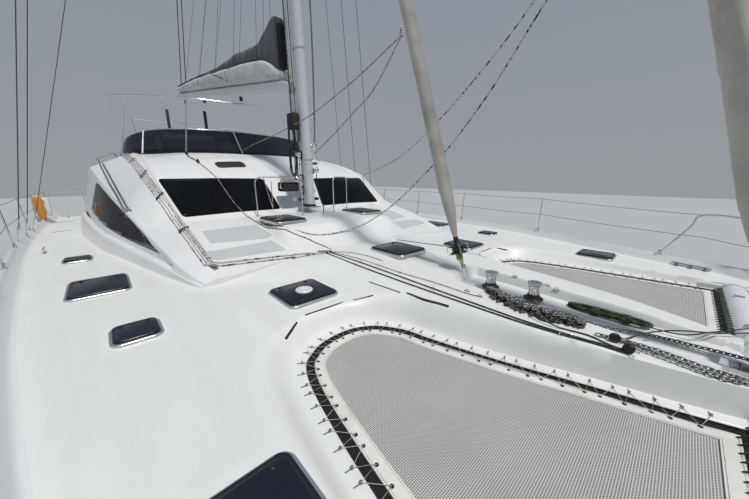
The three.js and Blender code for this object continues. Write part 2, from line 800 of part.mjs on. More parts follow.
function runnerBody(side, deck) {
  const [x, y, z] = RUNNER.foot;
  const plate = box(x - 60, x + 60, side * y - 9, side * y + 9, z - 140, z + 70);
  const wires = [stay(RUNNER.foot, RUNNER.z, side), stay(RUNNER.foot, RUNNER.z, side, 32, 0.012, 8)];
  return seat(join(plate, ...wires), deck);
}

const stayHead = ({ z }) => [
  mastX(z) + MAST_LONG / 2 + TANG.nose,
  0,
  z - TANG.half - 2 * TANG.play,
];
const FURLER_TOP = 420;

// Drum, swivel and foot of a rolled headsail
function furler(line, under) {
  const [x, y, z] = line.foot;
  const { r, h, above } = DRUM;
  const top = above + h;
  const spindle = turnedAlong(line.foot, stayHead(line), [
    [0, 22],
    [above, 22],
    [above, r],
    [above + 22, r],
    [above + 26, r * 0.62],
    [top - 26, r * 0.62],
    [top - 22, r],
    [top, r],
    [top, 34],
    [FURLER_TOP, 30],
  ], 16);
  return seat(join(box(x - 45, x + 45, y - 14, y + 14, z - 260, z + 80), spindle), under);
}

function rolledSail(line) {
  const length = Math.hypot(...stayHead(line).map((v, i) => v - line.foot[i]));
  return turnedAlong(line.foot, stayHead(line), [
    [FURLER_TOP + GAP, 30],
    [FURLER_TOP + 120, line.r * 0.55],
    [FURLER_TOP + 600, line.r],
    [length * 0.6, line.r * 0.92],
    [length - 900, line.top],
    [length - 700, 16],
    [length, 16],
  ], 12);
}

// Boom, its bag and the sail stacked on it: built along -X from the gooseneck, then swung
function boomPieces() {
  const pivot = [mastX(GOOSENECK.z) - MAST_LONG / 2 - GOOSENECK.out, 0, GOOSENECK.z];
  const [px, , pz] = pivot;
  const at = (back) => pz + back * BOOM_RISE;
  const section = (back, half, low, high) => {
    const [x, z] = [px - back, at(back)];
    return [
      [x, -half * 0.7, z + low],
      [x, half * 0.7, z + low],
      [x, half, z + low + 60],
      [x, half, z + high - 40],
      [x, half * 0.6, z + high],
      [x, -half * 0.6, z + high],
      [x, -half, z + high - 40],
      [x, -half, z + low + 60],
    ];
  };
  const spar = loft([
    section(90, 70, -55, 130),
    section(300, 120, -70, 170),
    section(BOOM_LENGTH, 110, -70, 150),
  ]);
  const lug = turned([px, 0, pz - 60 + GAP], [[0, 0], [55, 0], [55, 95], [0, 95]], 14);
  const arm = box(px - 140, px, -35, 35, pz - 55, pz + 30);
  const boom = join(spar, lug, arm);
  // Bag sections: distance aft, half width, top above the boom's line
  const boomTop = (back) => along([[90, 130], [300, 170], [BOOM_LENGTH, 150]], back);
  const bag = loft([
    [300, 150, 330],
    [900, 210, 560],
    [2600, 230, 520],
    [4600, 200, 430],
    [6100, 150, 300],
  ].map(([back, half, high]) => section(back, half, boomTop(back) + GAP, high)));
  // Stacked sail: ridge climbing to the headboard at the mast
  const stackLow = (back) => along([[300, 330], [900, 560], [2600, 520], [4600, 430]], back) + GAP;
  const stack = loft([
    [300, 60, 1180],
    [430, 130, 1210],
    [900, 150, 930],
    [2600, 125, 620],
    [3600, 90, 540],
  ].map(([back, half, high]) => section(back, half, stackLow(back), high)));
  const swing = (body) => body.translate([-px, 0, 0]).rotate([0, 0, BOOM_SWING]).translate([px, 0, 0]);
  return { boom: swing(boom), sail_bag: swing(bag), mainsail_stack: swing(stack) };
}

// Rails of one side: stanchion x places, bow pulpit, stern pulpit and two lifelines
const STANCHION_X = [4600, 2600, 950, -700, -2900, -4700];
const WIRE_SHARE = [1, 0.52];

const railFoot = (x, side) => [x, side * (edgeY(x) + 78), deckZ(x) + BULWARK_H - 30];
const railTop = (x, side, share = 1) => {
  const [fx, fy, fz] = railFoot(x, side);
  return [fx, fy + side * 45 * share, fz + 30 + STANCHION_H * share];
};

// A thin wire that runs mostly along X.
function wire(points, radius, sides = 5) {
  return loft(points.map(([x, y, z]) => Array.from({ length: sides }, (_, i) => {
    const turn = (i / sides) * 2 * Math.PI;
    return [x, y + radius * Math.cos(turn), z + radius * Math.sin(turn)];
  })));
}

const RAIL_BOW_X = 6930;
const RAIL_STERN_X = -6500;
const TUBE_R = 15;

function pulpit(side) {
  const tipX = 8250;
  const tipFoot = [tipX, side * (innerY(tipX) + 75), deckZ(tipX) - 20];
  const tipTop = [tipX + 120, side * (innerY(tipX) + 60), deckZ(tipX) + STANCHION_H + 60];
  const bowTop = railTop(RAIL_BOW_X, side);
  const midX = 7500;
  const midway = [midX, side * (edgeY(midX) + 90), deckZ(midX) + BULWARK_H + STANCHION_H - 10];
  return join(
    rod(railFoot(RAIL_BOW_X - 380, side), bowTop, TUBE_R, TUBE_R, 6),
    pipe([bowTop, midway, tipTop], TUBE_R, 6, 6),
    rod(tipFoot, tipTop, TUBE_R, TUBE_R, 6),
    rod(railFoot(midX, side), midway, TUBE_R, TUBE_R, 6),
  );
}

function pushpit(side) {
  const x = -6900;
  const inboardY = 3500;
  const aftTop = railTop(RAIL_STERN_X, side);
  const corner = [x, side * (edgeY(x) + 80), deckZ(x) + BULWARK_H + STANCHION_H];
  const inboard = [x, side * inboardY, corner[2]];
  return join(
    rod(railFoot(RAIL_STERN_X, side), aftTop, TUBE_R, TUBE_R, 6),
    pipe([aftTop, corner, inboard], TUBE_R, 6, 6),
    rod([x, side * inboardY, deckZ(x) - 20], inboard, TUBE_R, TUBE_R, 6),
  );
}

function guardRail(side, deck) {
  const posts = STANCHION_X.map((x) => {
    const [fx, fy, fz] = railFoot(x, side);
    const base = box(fx - 45, fx + 45, fy - 28, fy + 28, fz - 10, fz + 44);
    return join(rod(railFoot(x, side), railTop(x, side), 14, 14, 6), base);
  });
  const run = [RAIL_BOW_X, ...STANCHION_X, RAIL_STERN_X];
  const wires = WIRE_SHARE.map((share) => wire(run.map((x) => railTop(x, side, share)), 5));
  const buoy = side === STARBOARD ? [lifebuoy()] : [];
  return seat(join(...posts, ...wires, pulpit(side), pushpit(side), ...buoy), deck);
}

// Inverted-U rail beside the mast, from its inner foot to its outer foot
const MAST_RAIL = { inner: [1750, 360], outer: [1310, 1040], low: 2250, top: 3035, corner: 90 };

function granny(side, roof) {
  const { inner, outer, low, top, corner } = MAST_RAIL;
  const at = (share, z) => [...between(inner, outer, share), z].map((v, i) => (i === 1 ? side * v : v));
  const hoop = pipe([
    at(0, low),
    at(0, top - corner),
    at(0.04, top - corner / 3),
    at(0.12, top),
    at(0.88, top),
    at(0.96, top - corner / 3),
    at(1, top - corner),
    at(1, low),
  ], 14, 20, 6);
  return seat(hoop, roof);
}

// Trampoline: the net with its lacing fills the opening from rim to crossbeam
function trampoline(side, beam, deck) {
  const flat = prism(rimOutline(side, 0, -GAP), NET_Z - NET_THICK / 2, NET_Z + NET_THICK / 2);
  const front = box(CROSSBEAM_X - 60, 8000, -3000, 3000, 1000, 2000);
  const clear = [[-GAP, 0, 0], [0, side * GAP, 0], [0, -side * GAP, 0]];
  let body = cut(flat, front, beam.translate([-GAP, 0, 0]));
  for (const way of clear) body = body.subtract(deck.translate(way));
  return biggest(body);
}

function capstan(x) {
  const profile = [
    [0, GAP],
    [95, GAP],
    [95, 14],
    [64, 24],
    [54, 62],
    [46, 92],
    [54, 138],
    [74, 168],
    [74, 180],
    [0, 185],
  ];
  return turned([x, 0, CAPSTANS.z], profile, 18);
}

// Bow roller on the crossbeam with the anchor lying in it
const ROLLER_Y = -150;
const ROLLER_FLOOR = 1757;

function bowRoller() {
  const y = ROLLER_Y;
  const cheek = (offset) => sidePrism([
    [CROSSBEAM_X - 260, 1745],
    [CROSSBEAM_X - 105, 1745],
    [CROSSBEAM_X - 60, 1650],
    [CROSSBEAM_X + 60, 1650],
    [CROSSBEAM_X + 520, 1690],
    [CROSSBEAM_X + 500, 1790],
    [CROSSBEAM_X - 260, 1800],
  ], y + offset - 6, y + offset + 6);
  const floor = box(CROSSBEAM_X - 200, CROSSBEAM_X + 330, y - 76, y + 76, 1745, ROLLER_FLOOR);
  const wheel = rod([CROSSBEAM_X + 430, y - 80, 1735], [CROSSBEAM_X + 430, y + 80, 1735], 36, 36, 14);
  return join(cheek(-72), cheek(72), floor, wheel);
}

function anchor() {
  const y = ROLLER_Y;
  const x = CROSSBEAM_X;
  const shank = sidePrism([
    [x - 170, ROLLER_FLOOR + GAP],
    [x + 300, ROLLER_FLOOR + GAP],
    [x + 380, 1780],
    [x + 500, 1780],
    [x + 700, 1640],
    [x + 790, 1400],
    [x + 840, 1400],
    [x + 770, 1690],
    [x + 540, 1860],
    [x - 170, 1815],
  ], y - 14, y + 14);
  const fluke = loft([
    [[x + 860, y - 20, 1400], [x + 860, y + 20, 1400], [x + 800, y + 20, 1450], [x + 800, y - 20, 1450]],
    [[x + 800, y - 230, 1330], [x + 800, y + 230, 1330], [x + 770, y + 200, 1372], [x + 770, y - 200, 1372]],
    [[x + 300, y - 15, 1150], [x + 300, y + 15, 1150], [x + 290, y + 15, 1180], [x + 290, y - 15, 1180]],
  ]);
  return join(shank, fluke);
}

// Helm deck on the roof, reaching over the cockpit on two posts
const HELM = { z: 3700, bottom: 3575, x0: -5450, corner: -2700, y: 2330, coaming: 3960 };

function helmDeck(roof, deck) {
  const floor = [
    [-1900, -1450],
    [-1750, 0],
    [-1900, 1450],
    [HELM.corner, HELM.y],
    [HELM.x0 + 250, HELM.y],
    [HELM.x0, 2000],
    [HELM.x0, -2000],
    [HELM.x0 + 250, -HELM.y],
    [HELM.corner, -HELM.y],
  ];
  const slab = prism(floor, HELM.bottom, HELM.z);
  const wall = (y0, y1) => box(HELM.x0 + 250, HELM.corner - 50, y0, y1, HELM.z - 50, HELM.coaming);
  const aft = box(HELM.x0, HELM.x0 + 80, -2000, 2000, HELM.z - 50, HELM.coaming);
  const bench = box(-4250, -3620, -1750, 750, HELM.z - 20, 4130);
  const consoleBox = sidePrism([
    [-2700, HELM.z - 20],
    [-2400, HELM.z - 20],
    [-2400, 3980],
    [-2560, 4120],
    [-2700, 4070],
  ].reverse(), -1750, -550);
  const posts = bothSides.map((side) =>
    rod([-5250, side * 2560, 1500], [-5200, side * 2260, 3560], 42, 42, 12));
  const body = join(slab, wall(-HELM.y, -HELM.y + 70), wall(HELM.y - 70, HELM.y), aft, bench,
    consoleBox, ...posts);
  return biggest(seat(seat(body, roof), deck));
}

// Tinted screen in front of the helm: plan points of its foot and of its top
const SCREEN_FOOT = [
  [-2700, 2600],
  [-2250, 2480],
  [-1720, 2050],
  [-1480, 1300],
  [-1350, 400],
];
const SCREEN_TOP = [
  [-2980, 2520, 3760],
  [-2640, 2370, 3990],
  [-2280, 1930, 4130],
  [-2050, 1200, 4190],
  [-1940, 400, 4210],
];

function windscreen(roof, helm) {
  const full = (half) => [...half, ...half.map(([x, y, ...z]) => [x, -y, ...z]).reverse()];
  const foot = full(SCREEN_FOOT.map(([x, y]) => [x, y, 3480]));
  const top = full(SCREEN_TOP);
  const rings = foot.map((low, i) => {
    const high = top[i];
    const inward = (p) => [p[0] - 18, p[1] * 0.992, p[2]];
    return [low, high, inward(high), inward(low)];
  });
  return biggest(clearOf(seat(loft(rings), roof), helm));
}

// Tube frame round the helm, without its cloth
function helmFrame(...under) {
  const top = 4750;
  const hoop = pipe([
    [-5200, -2000, top],
    [-4300, -2620, top],
    [-2300, -2670, top],
    [-1750, -2150, top],
    [-1350, -1200, top + 15],
    [-1150, 0, top + 25],
    [-1350, 1200, top + 15],
    [-1750, 2150, top],
    [-2300, 2670, top],
    [-4300, 2620, top],
    [-5200, 2000, top],
  ], 16, 30, 6);
  const legs = [];
  for (const side of bothSides) {
    legs.push(rod([-2300, side * 2590, 3300], [-1935, side * 2400, top], 14, 14, 8));
    legs.push(rod([-1450, side * 1480, 3400], [-1470, side * 1540, top + 5], 14, 14, 8));
    legs.push(rod([-5150, side * 1900, 3600], [-5150, side * 2035, top], 14, 14, 8));
  }
  const brace = rod([-5190, -2000, top], [-5190, 2000, top], 14, 14, 8);
  return biggest(under.reduce((all, piece) => seat(all, piece), join(hoop, ...legs, brace)));
}

const WHEEL = { x: -2760, y: -1150, z: 4010 };

function steeringWheel() {
  const { x, y, z } = WHEEL;
  const rim = new THREE.TorusGeometry(WHEEL_R, 15, 6, 22).rotateY(Math.PI / 2).translate(x - 60, y, z);
  const spokes = [0, 1, 2, 3, 4].map((i) => {
    const turn = (i / 5) * 2 * Math.PI;
    return rod([x - 60, y, z],
      [x - 60, y + WHEEL_R * Math.cos(turn), z + WHEEL_R * Math.sin(turn)], 9, 9, 6);
  });
  const hub = rod([x + 60 - GAP, y, z], [x - 75, y, z], 34, 40, 14);
  return join(solid(rim), ...spokes, hub);
}

// Below the water
function keel(side, hull) {
  const y = side * HULL_MID_Y;
  // Sections: z, leading x, trailing x, half thickness
  const rings = [
    [-500, 1350, -1950, 190],
    [-1000, 1050, -1750, 160],
    [-1320, 800, -1600, 120],
  ].map(([z, lead, trail, half]) => [
    [lead, y, z],
    [lead - 300, y + half * 0.8, z],
    [lead - 1000, y + half, z],
    [trail + 500, y + half * 0.6, z],
    [trail, y + 6, z],
    [trail, y - 6, z],
    [trail + 500, y - half * 0.6, z],
    [lead - 1000, y - half, z],
    [lead - 300, y - half * 0.8, z],
  ]);
  return seat(loft(rings), hull, [0, 0, -1]);
}

function rudder(side) {
  const y = side * HULL_MID_Y;
  const blade = loft([
    [-440, 190, -560, 42],
    [-1230, 120, -400, 26],
  ].map(([z, lead, trail, half]) => [
    [RUDDER_X + lead, y, z],
    [RUDDER_X + lead * 0.5, y + half, z],
    [RUDDER_X + trail * 0.4, y + half * 0.7, z],
    [RUDDER_X + trail, y + 3, z],
    [RUDDER_X + trail, y - 3, z],
    [RUDDER_X + trail * 0.4, y - half * 0.7, z],
    [RUDDER_X + lead * 0.5, y - half, z],
  ]));
  return join(blade, rod([RUDDER_X, y, -600], [RUDDER_X, y, BEARING_Z - GAP], 32, 32, 16));
}

function saildrive(side, hull) {
  const y = side * HULL_MID_Y;
  const leg = loft([
    [-380, 130, -150, 60],
    [-880, 90, -110, 42],
  ].map(([z, lead, trail, half]) => [
    [-5700 + lead, y, z],
    [-5700 + lead * 0.3, y + half, z],
    [-5700 + trail, y + 8, z],
    [-5700 + trail, y - 8, z],
    [-5700 + lead * 0.3, y - half, z],
  ]));
  const torpedo = rod([-5900, y, PROP_Z], [-5520, y, PROP_Z], 62, 40, 16);
  const skeg = box(-5780, -5640, y - 9, y + 9, PROP_Z - 150, PROP_Z);
  return seat(join(leg, torpedo, skeg), hull, [0, 0, -1]);
}

function propeller(side) {
  const y = side * HULL_MID_Y;
  const front = -5900 - GAP;
  const hub = rod([front, y, PROP_Z], [front - 130, y, PROP_Z], 52, 34, 16);
  const blades = [0, 1, 2].map((i) => {
    const turn = (i / 3) * 2 * Math.PI;
    const place = (r, half, twist) => {
      const c = Math.cos(twist);
      const s = Math.sin(twist);
      return [[-half * s, -half * c], [half * s, half * c]].flatMap(([dx, dt]) => [
        [dx - 5 * c, r, dt + 5 * s],
        [dx + 5 * c, r, dt - 5 * s],
      ]);
    };
    const ring = (r, half, twist) => {
      const [a, b, c, d] = place(r, half, twist);
      return [a, b, d, c].map(([dx, dr, dt]) => [
        PROP_X + 20 + dx,
        y + side * (dr * Math.cos(turn) - dt * Math.sin(turn)),
        PROP_Z + dr * Math.sin(turn) + dt * Math.cos(turn),
      ]);
    };
    return loft([ring(20, 36, 0.95), ring(130, 80, 0.65), ring(215, 62, 0.5), ring(PROP_R, 18, 0.42)]);
  });
  return join(hub, ...blades);
}

// Inside the saloon and the cockpit
function saloonSeat() {
  const low = JOINT_Z + GAP;
  const outline = [
    [-200, 350],
    [-200, 950],
    [-2050, 950],
    [-2050, 350],
    [-2700, 350],
    [-2700, 1800],
    [250, 1800],
    [250, 350],
  ];
  const seatPart = prism(outline, low, low + 430);
  const back = box(-2700, 250, 1650, 1800, low + 400, low + 850);
  return join(seatPart, back);
}

function saloonTable() {
  const low = JOINT_Z + GAP;
  return join(box(-1150, -950, 500, 700, low, low + 660), box(-1850, -400, 300, 900, low + 650, low + 700));
}

function galley() {
  const low = JOINT_Z + GAP;
  return join(box(-2900, -300, -2000, -1400, low, low + 900), box(-300, 300, -2000, -1100, low, low + 900));
}

function saloonDoor() {
  const x = SALOON_AFT_X + ROOF_WALL + RUNNING_GAP;
  const low = JOINT_Z + RUNNING_GAP;
  const leaf = box(x, x + DOOR.thick, DOOR.y0 - 30, DOOR.y1 + 30, low, DOOR.z1 + 40);
  const handle = box(x + DOOR.thick - 1, x + DOOR.thick + 30, DOOR.y0 + 40, DOOR.y0 + 70, 2300, 2560);
  const feet = [DOOR.y0 + 40, DOOR.y1 - 100].map((y) =>
    box(x + 4, x + DOOR.thick - 4, y, y + 60, JOINT_Z + GAP, low + 5),
  );
  return join(leaf, handle, ...feet);
}

// Life buoy in its case on the starboard rail, outboard of the side deck
function lifebuoy() {
  const x = -5150;
  const [, y, z] = railTop(x, STARBOARD);
  const outline = roundedRectangle(x, z - 290, 520, 560, 200);
  return sidePrism(outline, y - 4, y + 116);
}

// The assembly
const LOOKS = {
  gelcoat: { color: 0xf4f5f4, roughness: 0.32, metalness: 0 },
  antifoul: { color: 0x27425f, roughness: 0.75, metalness: 0 },
  glass: { color: 0x10151c, roughness: 0.08, metalness: 0.1 },
  alloy: { color: 0xc9ccce, roughness: 0.35, metalness: 0.85 },
  spar: { color: 0xd5d8db, roughness: 0.4, metalness: 0.2 },
  steel: { color: 0xbfc3c6, roughness: 0.22, metalness: 1 },
  bronze: { color: 0x9a7442, roughness: 0.35, metalness: 0.9 },
  blackPlastic: { color: 0x17181a, roughness: 0.5, metalness: 0 },
  sailCover: { color: 0xb9b6aa, roughness: 0.9, metalness: 0 },
  bagCloth: { color: 0xaab0b6, roughness: 0.9, metalness: 0 },
  netting: { color: 0x8f8f8c, roughness: 0.85, metalness: 0 },
  upholstery: { color: 0x6b6a66, roughness: 0.95, metalness: 0 },
  wood: { color: 0x8a5f3a, roughness: 0.5, metalness: 0 },
};

const boat = new THREE.Group();
const addPiece = (name, body, look) => {
  const mesh = new THREE.Mesh(geometryOf(body), new THREE.MeshStandardMaterial(LOOKS[look]));
  mesh.name = name;
  boat.add(mesh);
};
const sideName = (side) => (side === PORT ? "port" : "starboard");

const hulls = new Map(bothSides.map((side) => [side, hullBody(side)]));
const deck = deckBody();
const roof = roofBody();
const bridge = bridgeBody();
const mast = mastBody();
const crossbeam = crossbeamBody();
const helm = helmDeck(roof, deck);

addPiece("deck_moulding", deck, "gelcoat");
addPiece("coachroof", roof, "gelcoat");
addPiece("bridge_deck", bridge, "gelcoat");
addPiece("mast", mast, "spar");
addPiece("forward_crossbeam", crossbeam, "alloy");
addPiece("helm_deck", helm, "gelcoat");
addPiece("helm_windscreen", windscreen(roof, helm), "glass");
addPiece("helm_frame", helmFrame(roof, helm), "steel");
addPiece("steering_wheel", steeringWheel(), "steel");
addPiece("saloon_door", saloonDoor(), "glass");
addPiece("saloon_seat", saloonSeat(), "upholstery");
addPiece("saloon_table", saloonTable(), "wood");
addPiece("galley_unit", galley(), "wood");
addPiece("genoa_furler", furler(GENOA, crossbeam), "blackPlastic");
addPiece("genoa_furled", rolledSail(GENOA), "sailCover");
addPiece("staysail_furler", furler(STAYSAIL, deck), "blackPlastic");
addPiece("staysail_furled", rolledSail(STAYSAIL), "sailCover");
CAPSTANS.x.forEach((x, i) => addPiece(["capstan_aft", "capstan_fore"][i], capstan(x), "steel"));
addPiece("anchor", anchor(), "steel");
addPiece(CENTRE_HATCH[0], hatchLid(CENTRE_HATCH, 1), "glass");

const { boom, sail_bag: bag, mainsail_stack: stack } = boomPieces();
addPiece("boom", boom, "spar");
addPiece("sail_bag", bag, "bagCloth");
addPiece("mainsail_stack", stack, "bagCloth");

for (const side of bothSides) {
  const name = sideName(side);
  const hull = hulls.get(side);
  addPiece("hull_" + name, hull, "gelcoat");
  addPiece("keel_" + name, keel(side, hull), "antifoul");
  addPiece("rudder_" + name, rudder(side), "antifoul");
  addPiece("saildrive_" + name, saildrive(side, hull), "alloy");
  addPiece("propeller_" + name, propeller(side), "bronze");
  addPiece("front_window_" + name, frontWindow(side), "glass");
  addPiece("side_window_" + name, sideWindow(side), "glass");
  addPiece("shrouds_" + name, shroudBody(side, deck), "steel");
  addPiece("runner_" + name, runnerBody(side, deck), "steel");
  addPiece("guard_rail_" + name, guardRail(side, deck), "steel");
  addPiece("mast_rail_" + name, granny(side, roof), "steel");
  addPiece("trampoline_" + name, trampoline(side, crossbeam, deck), "netting");
  for (const hatch of HATCHES) addPiece(hatch[0] + "_" + name, hatchLid(hatch, side), "glass");
}

export default boat;
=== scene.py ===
"""Looks of the cruising catamaran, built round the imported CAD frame.

Metres. +X is forward, +Y is port, +Z is up; the origin is on the waterline, on the
centreline, amidships.
"""

import math
import random

import bmesh
import bpy
import numpy as np
from mathutils import Matrix, Vector
from mathutils.bvhtree import BVHTree
from mathutils.geometry import delaunay_2d_cdt


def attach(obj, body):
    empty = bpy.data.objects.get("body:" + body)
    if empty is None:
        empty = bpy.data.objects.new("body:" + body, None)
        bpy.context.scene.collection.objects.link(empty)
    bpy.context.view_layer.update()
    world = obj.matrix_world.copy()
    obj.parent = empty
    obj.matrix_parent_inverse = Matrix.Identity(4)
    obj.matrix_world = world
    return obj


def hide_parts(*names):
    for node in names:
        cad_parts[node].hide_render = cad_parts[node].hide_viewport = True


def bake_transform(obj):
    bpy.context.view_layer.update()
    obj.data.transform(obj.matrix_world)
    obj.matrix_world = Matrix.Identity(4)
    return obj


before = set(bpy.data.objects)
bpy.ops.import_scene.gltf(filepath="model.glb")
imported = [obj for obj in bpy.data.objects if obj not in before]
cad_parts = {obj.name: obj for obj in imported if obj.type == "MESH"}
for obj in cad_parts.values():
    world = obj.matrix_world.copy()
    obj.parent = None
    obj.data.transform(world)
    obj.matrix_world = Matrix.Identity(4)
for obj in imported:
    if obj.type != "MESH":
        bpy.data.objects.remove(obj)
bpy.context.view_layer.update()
scene = bpy.context.scene
rng = random.Random(7)
SIDES = (("starboard", -1), ("port", 1))
UP, PORT, AHEAD = Vector((0, 0, 1)), Vector((0, 1, 0)), Vector((1, 0, 0))
# Shares of a distance over which a table's value is eased
SHIFTS = (-1, -0.6, -0.2, 0.2, 0.6, 1)
SENSOR_MM = 36
PHOTO_WIDE, FOCAL_PIXELS = 749, 288


# Camera and light
def make_camera():
    data = bpy.data.cameras.new("camera")
    data.sensor_width = SENSOR_MM
    data.lens = SENSOR_MM * FOCAL_PIXELS / PHOTO_WIDE
    data.clip_start = 0.05
    data.clip_end = 500
    cam = bpy.data.objects.new("camera", data)
    scene.collection.objects.link(cam)
    cam.location = (6.68, -3.125, 3.05)
    pitch = math.radians(14.23)
    ahead = Vector((-0.728, 0.685, 0)).normalized()
    look = ahead * math.cos(pitch) - UP * math.sin(pitch)
    cam.rotation_euler = look.to_track_quat("-Z", "Y").to_euler()
    scene.camera = cam


def make_light():
    """Soft studio sky and one key light from ahead."""
    world = bpy.data.worlds.new("studio")
    world.use_nodes = True
    tree = world.node_tree
    tree.nodes.clear()
    split = node(tree, "SeparateXYZ")
    join(split.inputs[0], node(tree, "TexCoord").outputs["Generated"])
    tint = ramp_out(tree, split.outputs["Z"], (0, (0.55, 0.58, 0.62)), (0.7, (0.42, 0.5, 0.6)))
    sky = node(tree, "Background", Strength=0.56)
    feed(sky, Color=tint)
    feed(node(tree, "OutputWorld"), Surface=sky.outputs[0])
    scene.world = world
    sun = bpy.data.lights.new("key", "SUN")
    sun.energy = 2.9
    sun.angle = math.radians(6)
    sun.color = (1, 0.975, 0.94)
    lamp = bpy.data.objects.new("key", sun)
    lamp.rotation_euler = Vector((0.52, -0.02, 1)).to_track_quat("Z", "Y").to_euler()
    scene.collection.objects.link(lamp)
    view = scene.view_settings
    view.view_transform, view.look, view.exposure = "Standard", "None", 0


# Mesh helpers
def add_mesh(name, verts, faces, mats, body="root", **more):
    data = bpy.data.meshes.new(name)
    data.from_pydata([tuple(v) for v in verts], [], [tuple(f) for f in faces])
    data.validate()
    data.update()
    return finish_object(name, data, mats, body, **more)


def finish_object(name, data, mats, body="root", sharp=35, slot=None, stands_for=()):
    """Gives a mesh its finishes, named in one text, hangs it on its body and hides the frame's parts that it
    stands for.
    """
    data.polygons.foreach_set("use_smooth", [True] * len(data.polygons))
    if sharp is not None:
        data.set_sharp_from_angle(angle=math.radians(sharp))
    obj = bpy.data.objects.new(name, data)
    for one in mats.split():
        data.materials.append(M[one])
    scene.collection.objects.link(obj)
    if body is None:
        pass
    elif isinstance(body, tuple):
        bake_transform(obj)
    else:
        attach(obj, body)
    if stands_for:
        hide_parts(*stands_for)
    return obj


class Build:
    """Gathers the parts of one piece; mat is a part's place in the piece's list of finishes."""

    def __init__(self):
        self.verts = []
        self.faces = []
        self.mats = []

    def add(self, verts, faces, mat=0):
        base = len(self.verts)
        self.verts.extend(tuple(v) for v in verts)
        self.faces.extend(tuple(base + int(i) for i in f) for f in faces)
        self.mats.extend([mat] * len(faces))
        return self

    def loft(self, rings, mat=0, closed=True, caps=True):
        return self.add(*loft_parts(rings, closed, caps), mat)

    def tube(self, points, radius, sides=8, mat=0, caps=True):
        return self.add(*tube_parts(points, radius, sides, caps), mat)

    def lathe(self, base, way, profile, sides=24, mat=0):
        return self.add(*lathe_parts(base, way, profile, sides), mat)

    def upright(self, base, profile, sides=24, mat=0):
        return self.lathe(base, UP, profile, sides, mat)

    def box(self, lo, hi, bevel=0.004, mat=0, turn=None, steps=2):
        return self.add(*box_parts(lo, hi, bevel, turn, steps), mat)

    def slab(self, at, long, wide, low, high, bevel=0.004, mat=0):
        """Box round a point: half its length and width, and the heights of its two faces."""
        at = Vector(at)
        return self.box(at + Vector((-long, -wide, low)), at + Vector((long, wide, high)), bevel, mat)

    def mirrored(self):
        """The same parts again on the other side of the centreline."""
        count = len(self.verts)
        self.verts.extend((x, -y, z) for x, y, z in self.verts[:count])
        old = list(zip(self.faces, self.mats))
        self.faces.extend(tuple(i + count for i in reversed(f)) for f, _ in old)
        self.mats.extend(m for _, m in old)
        return self

    def piece(self, name, mats, body="root", **more):
        obj = add_mesh(name, self.verts, self.faces, mats, body, **more)
        if len(obj.data.polygons) == len(self.mats):
            obj.data.polygons.foreach_set("material_index", self.mats)
        return obj


def loft_parts(rings, closed=True, caps=True):
    count = len(rings[0])
    verts = [p for ring in rings for p in ring]
    faces = []
    steps = count if closed else count - 1
    for r in range(len(rings) - 1):
        for i in range(steps):
            a, b = r * count + i, r * count + (i + 1) % count
            faces.append((a, b, b + count, a + count))
    if caps and closed:
        faces.append(tuple(reversed(range(count))))
        last = (len(rings) - 1) * count
        faces.append(tuple(range(last, last + count)))
    return verts, faces


def frames_along(points):
    """Two cross directions at each point of a line, turned as little as possible."""
    pts = [Vector(p) for p in points]
    ways = []
    for i in range(len(pts)):
        a, b = pts[max(i - 1, 0)], pts[min(i + 1, len(pts) - 1)]
        ways.append((b - a).normalized())
    up = UP if abs(ways[0].z) < 0.9 else AHEAD
    side = ways[0].cross(up).normalized()
    out = []
    for way in ways:
        side = (side - way * side.dot(way)).normalized()
        out.append((side, way.cross(side).normalized()))
    return pts, out


def circle(centre, u, v, r, sides):
    turns = [2 * math.pi * i / sides for i in range(sides)]
    return [centre + u * r * math.cos(t) + v * r * math.sin(t) for t in turns]


def tube_parts(points, radius, sides=8, caps=True):
    pts, frames = frames_along(points)
    radii = radius if hasattr(radius, "__len__") else [radius] * len(pts)
    return loft_parts([circle(p, u, v, r, sides) for p, (u, v), r in zip(pts, frames, radii)], True, caps)


def tube_ring(points, radius, normal, sides=6):
    """Rings of a bar bent into a closed loop."""
    centre = sum(points, Vector()) / len(points)
    rings = [circle(p, (p - centre).normalized(), normal, radius, sides) for p in points]
    return rings + rings[:1]


def lathe_parts(base, way, profile, sides=24):
    base, way = Vector(base), Vector(way).normalized()
    u = way.orthogonal().normalized()
    v = way.cross(u)
    return loft_parts([circle(base + way * h, u, v, max(r, 1e-4), sides) for r, h in profile])


def disc(radius, height):
    """Profile of a plain disc or pin, for lathe."""
    return [(0, 0), (radius, 0), (radius, height), (0, height)]


def box_parts(lo, hi, bevel=0.004, turn=None, steps=2):
    bm = bmesh.new()
    bmesh.ops.create_cube(bm, size=1)
    size = Vector(hi) - Vector(lo)
    middle = (Vector(hi) + Vector(lo)) / 2
    for v in bm.verts:
        v.co = Vector((v.co.x * size.x, v.co.y * size.y, v.co.z * size.z))
    if bevel:
        width = min(bevel, min(size) * 0.45)
        bmesh.ops.bevel(bm, geom=bm.edges[:], offset=width, segments=steps, profile=0.5, affect="EDGES")
    matrix = Matrix.Translation(middle) @ (turn.to_4x4() if turn else Matrix.Identity(4))
    bmesh.ops.transform(bm, matrix=matrix, verts=bm.verts)
    bm.verts.index_update()
    verts = [tuple(v.co) for v in bm.verts]
    faces = [tuple(v.index for v in f.verts) for f in bm.faces]
    bm.free()
    return verts, faces


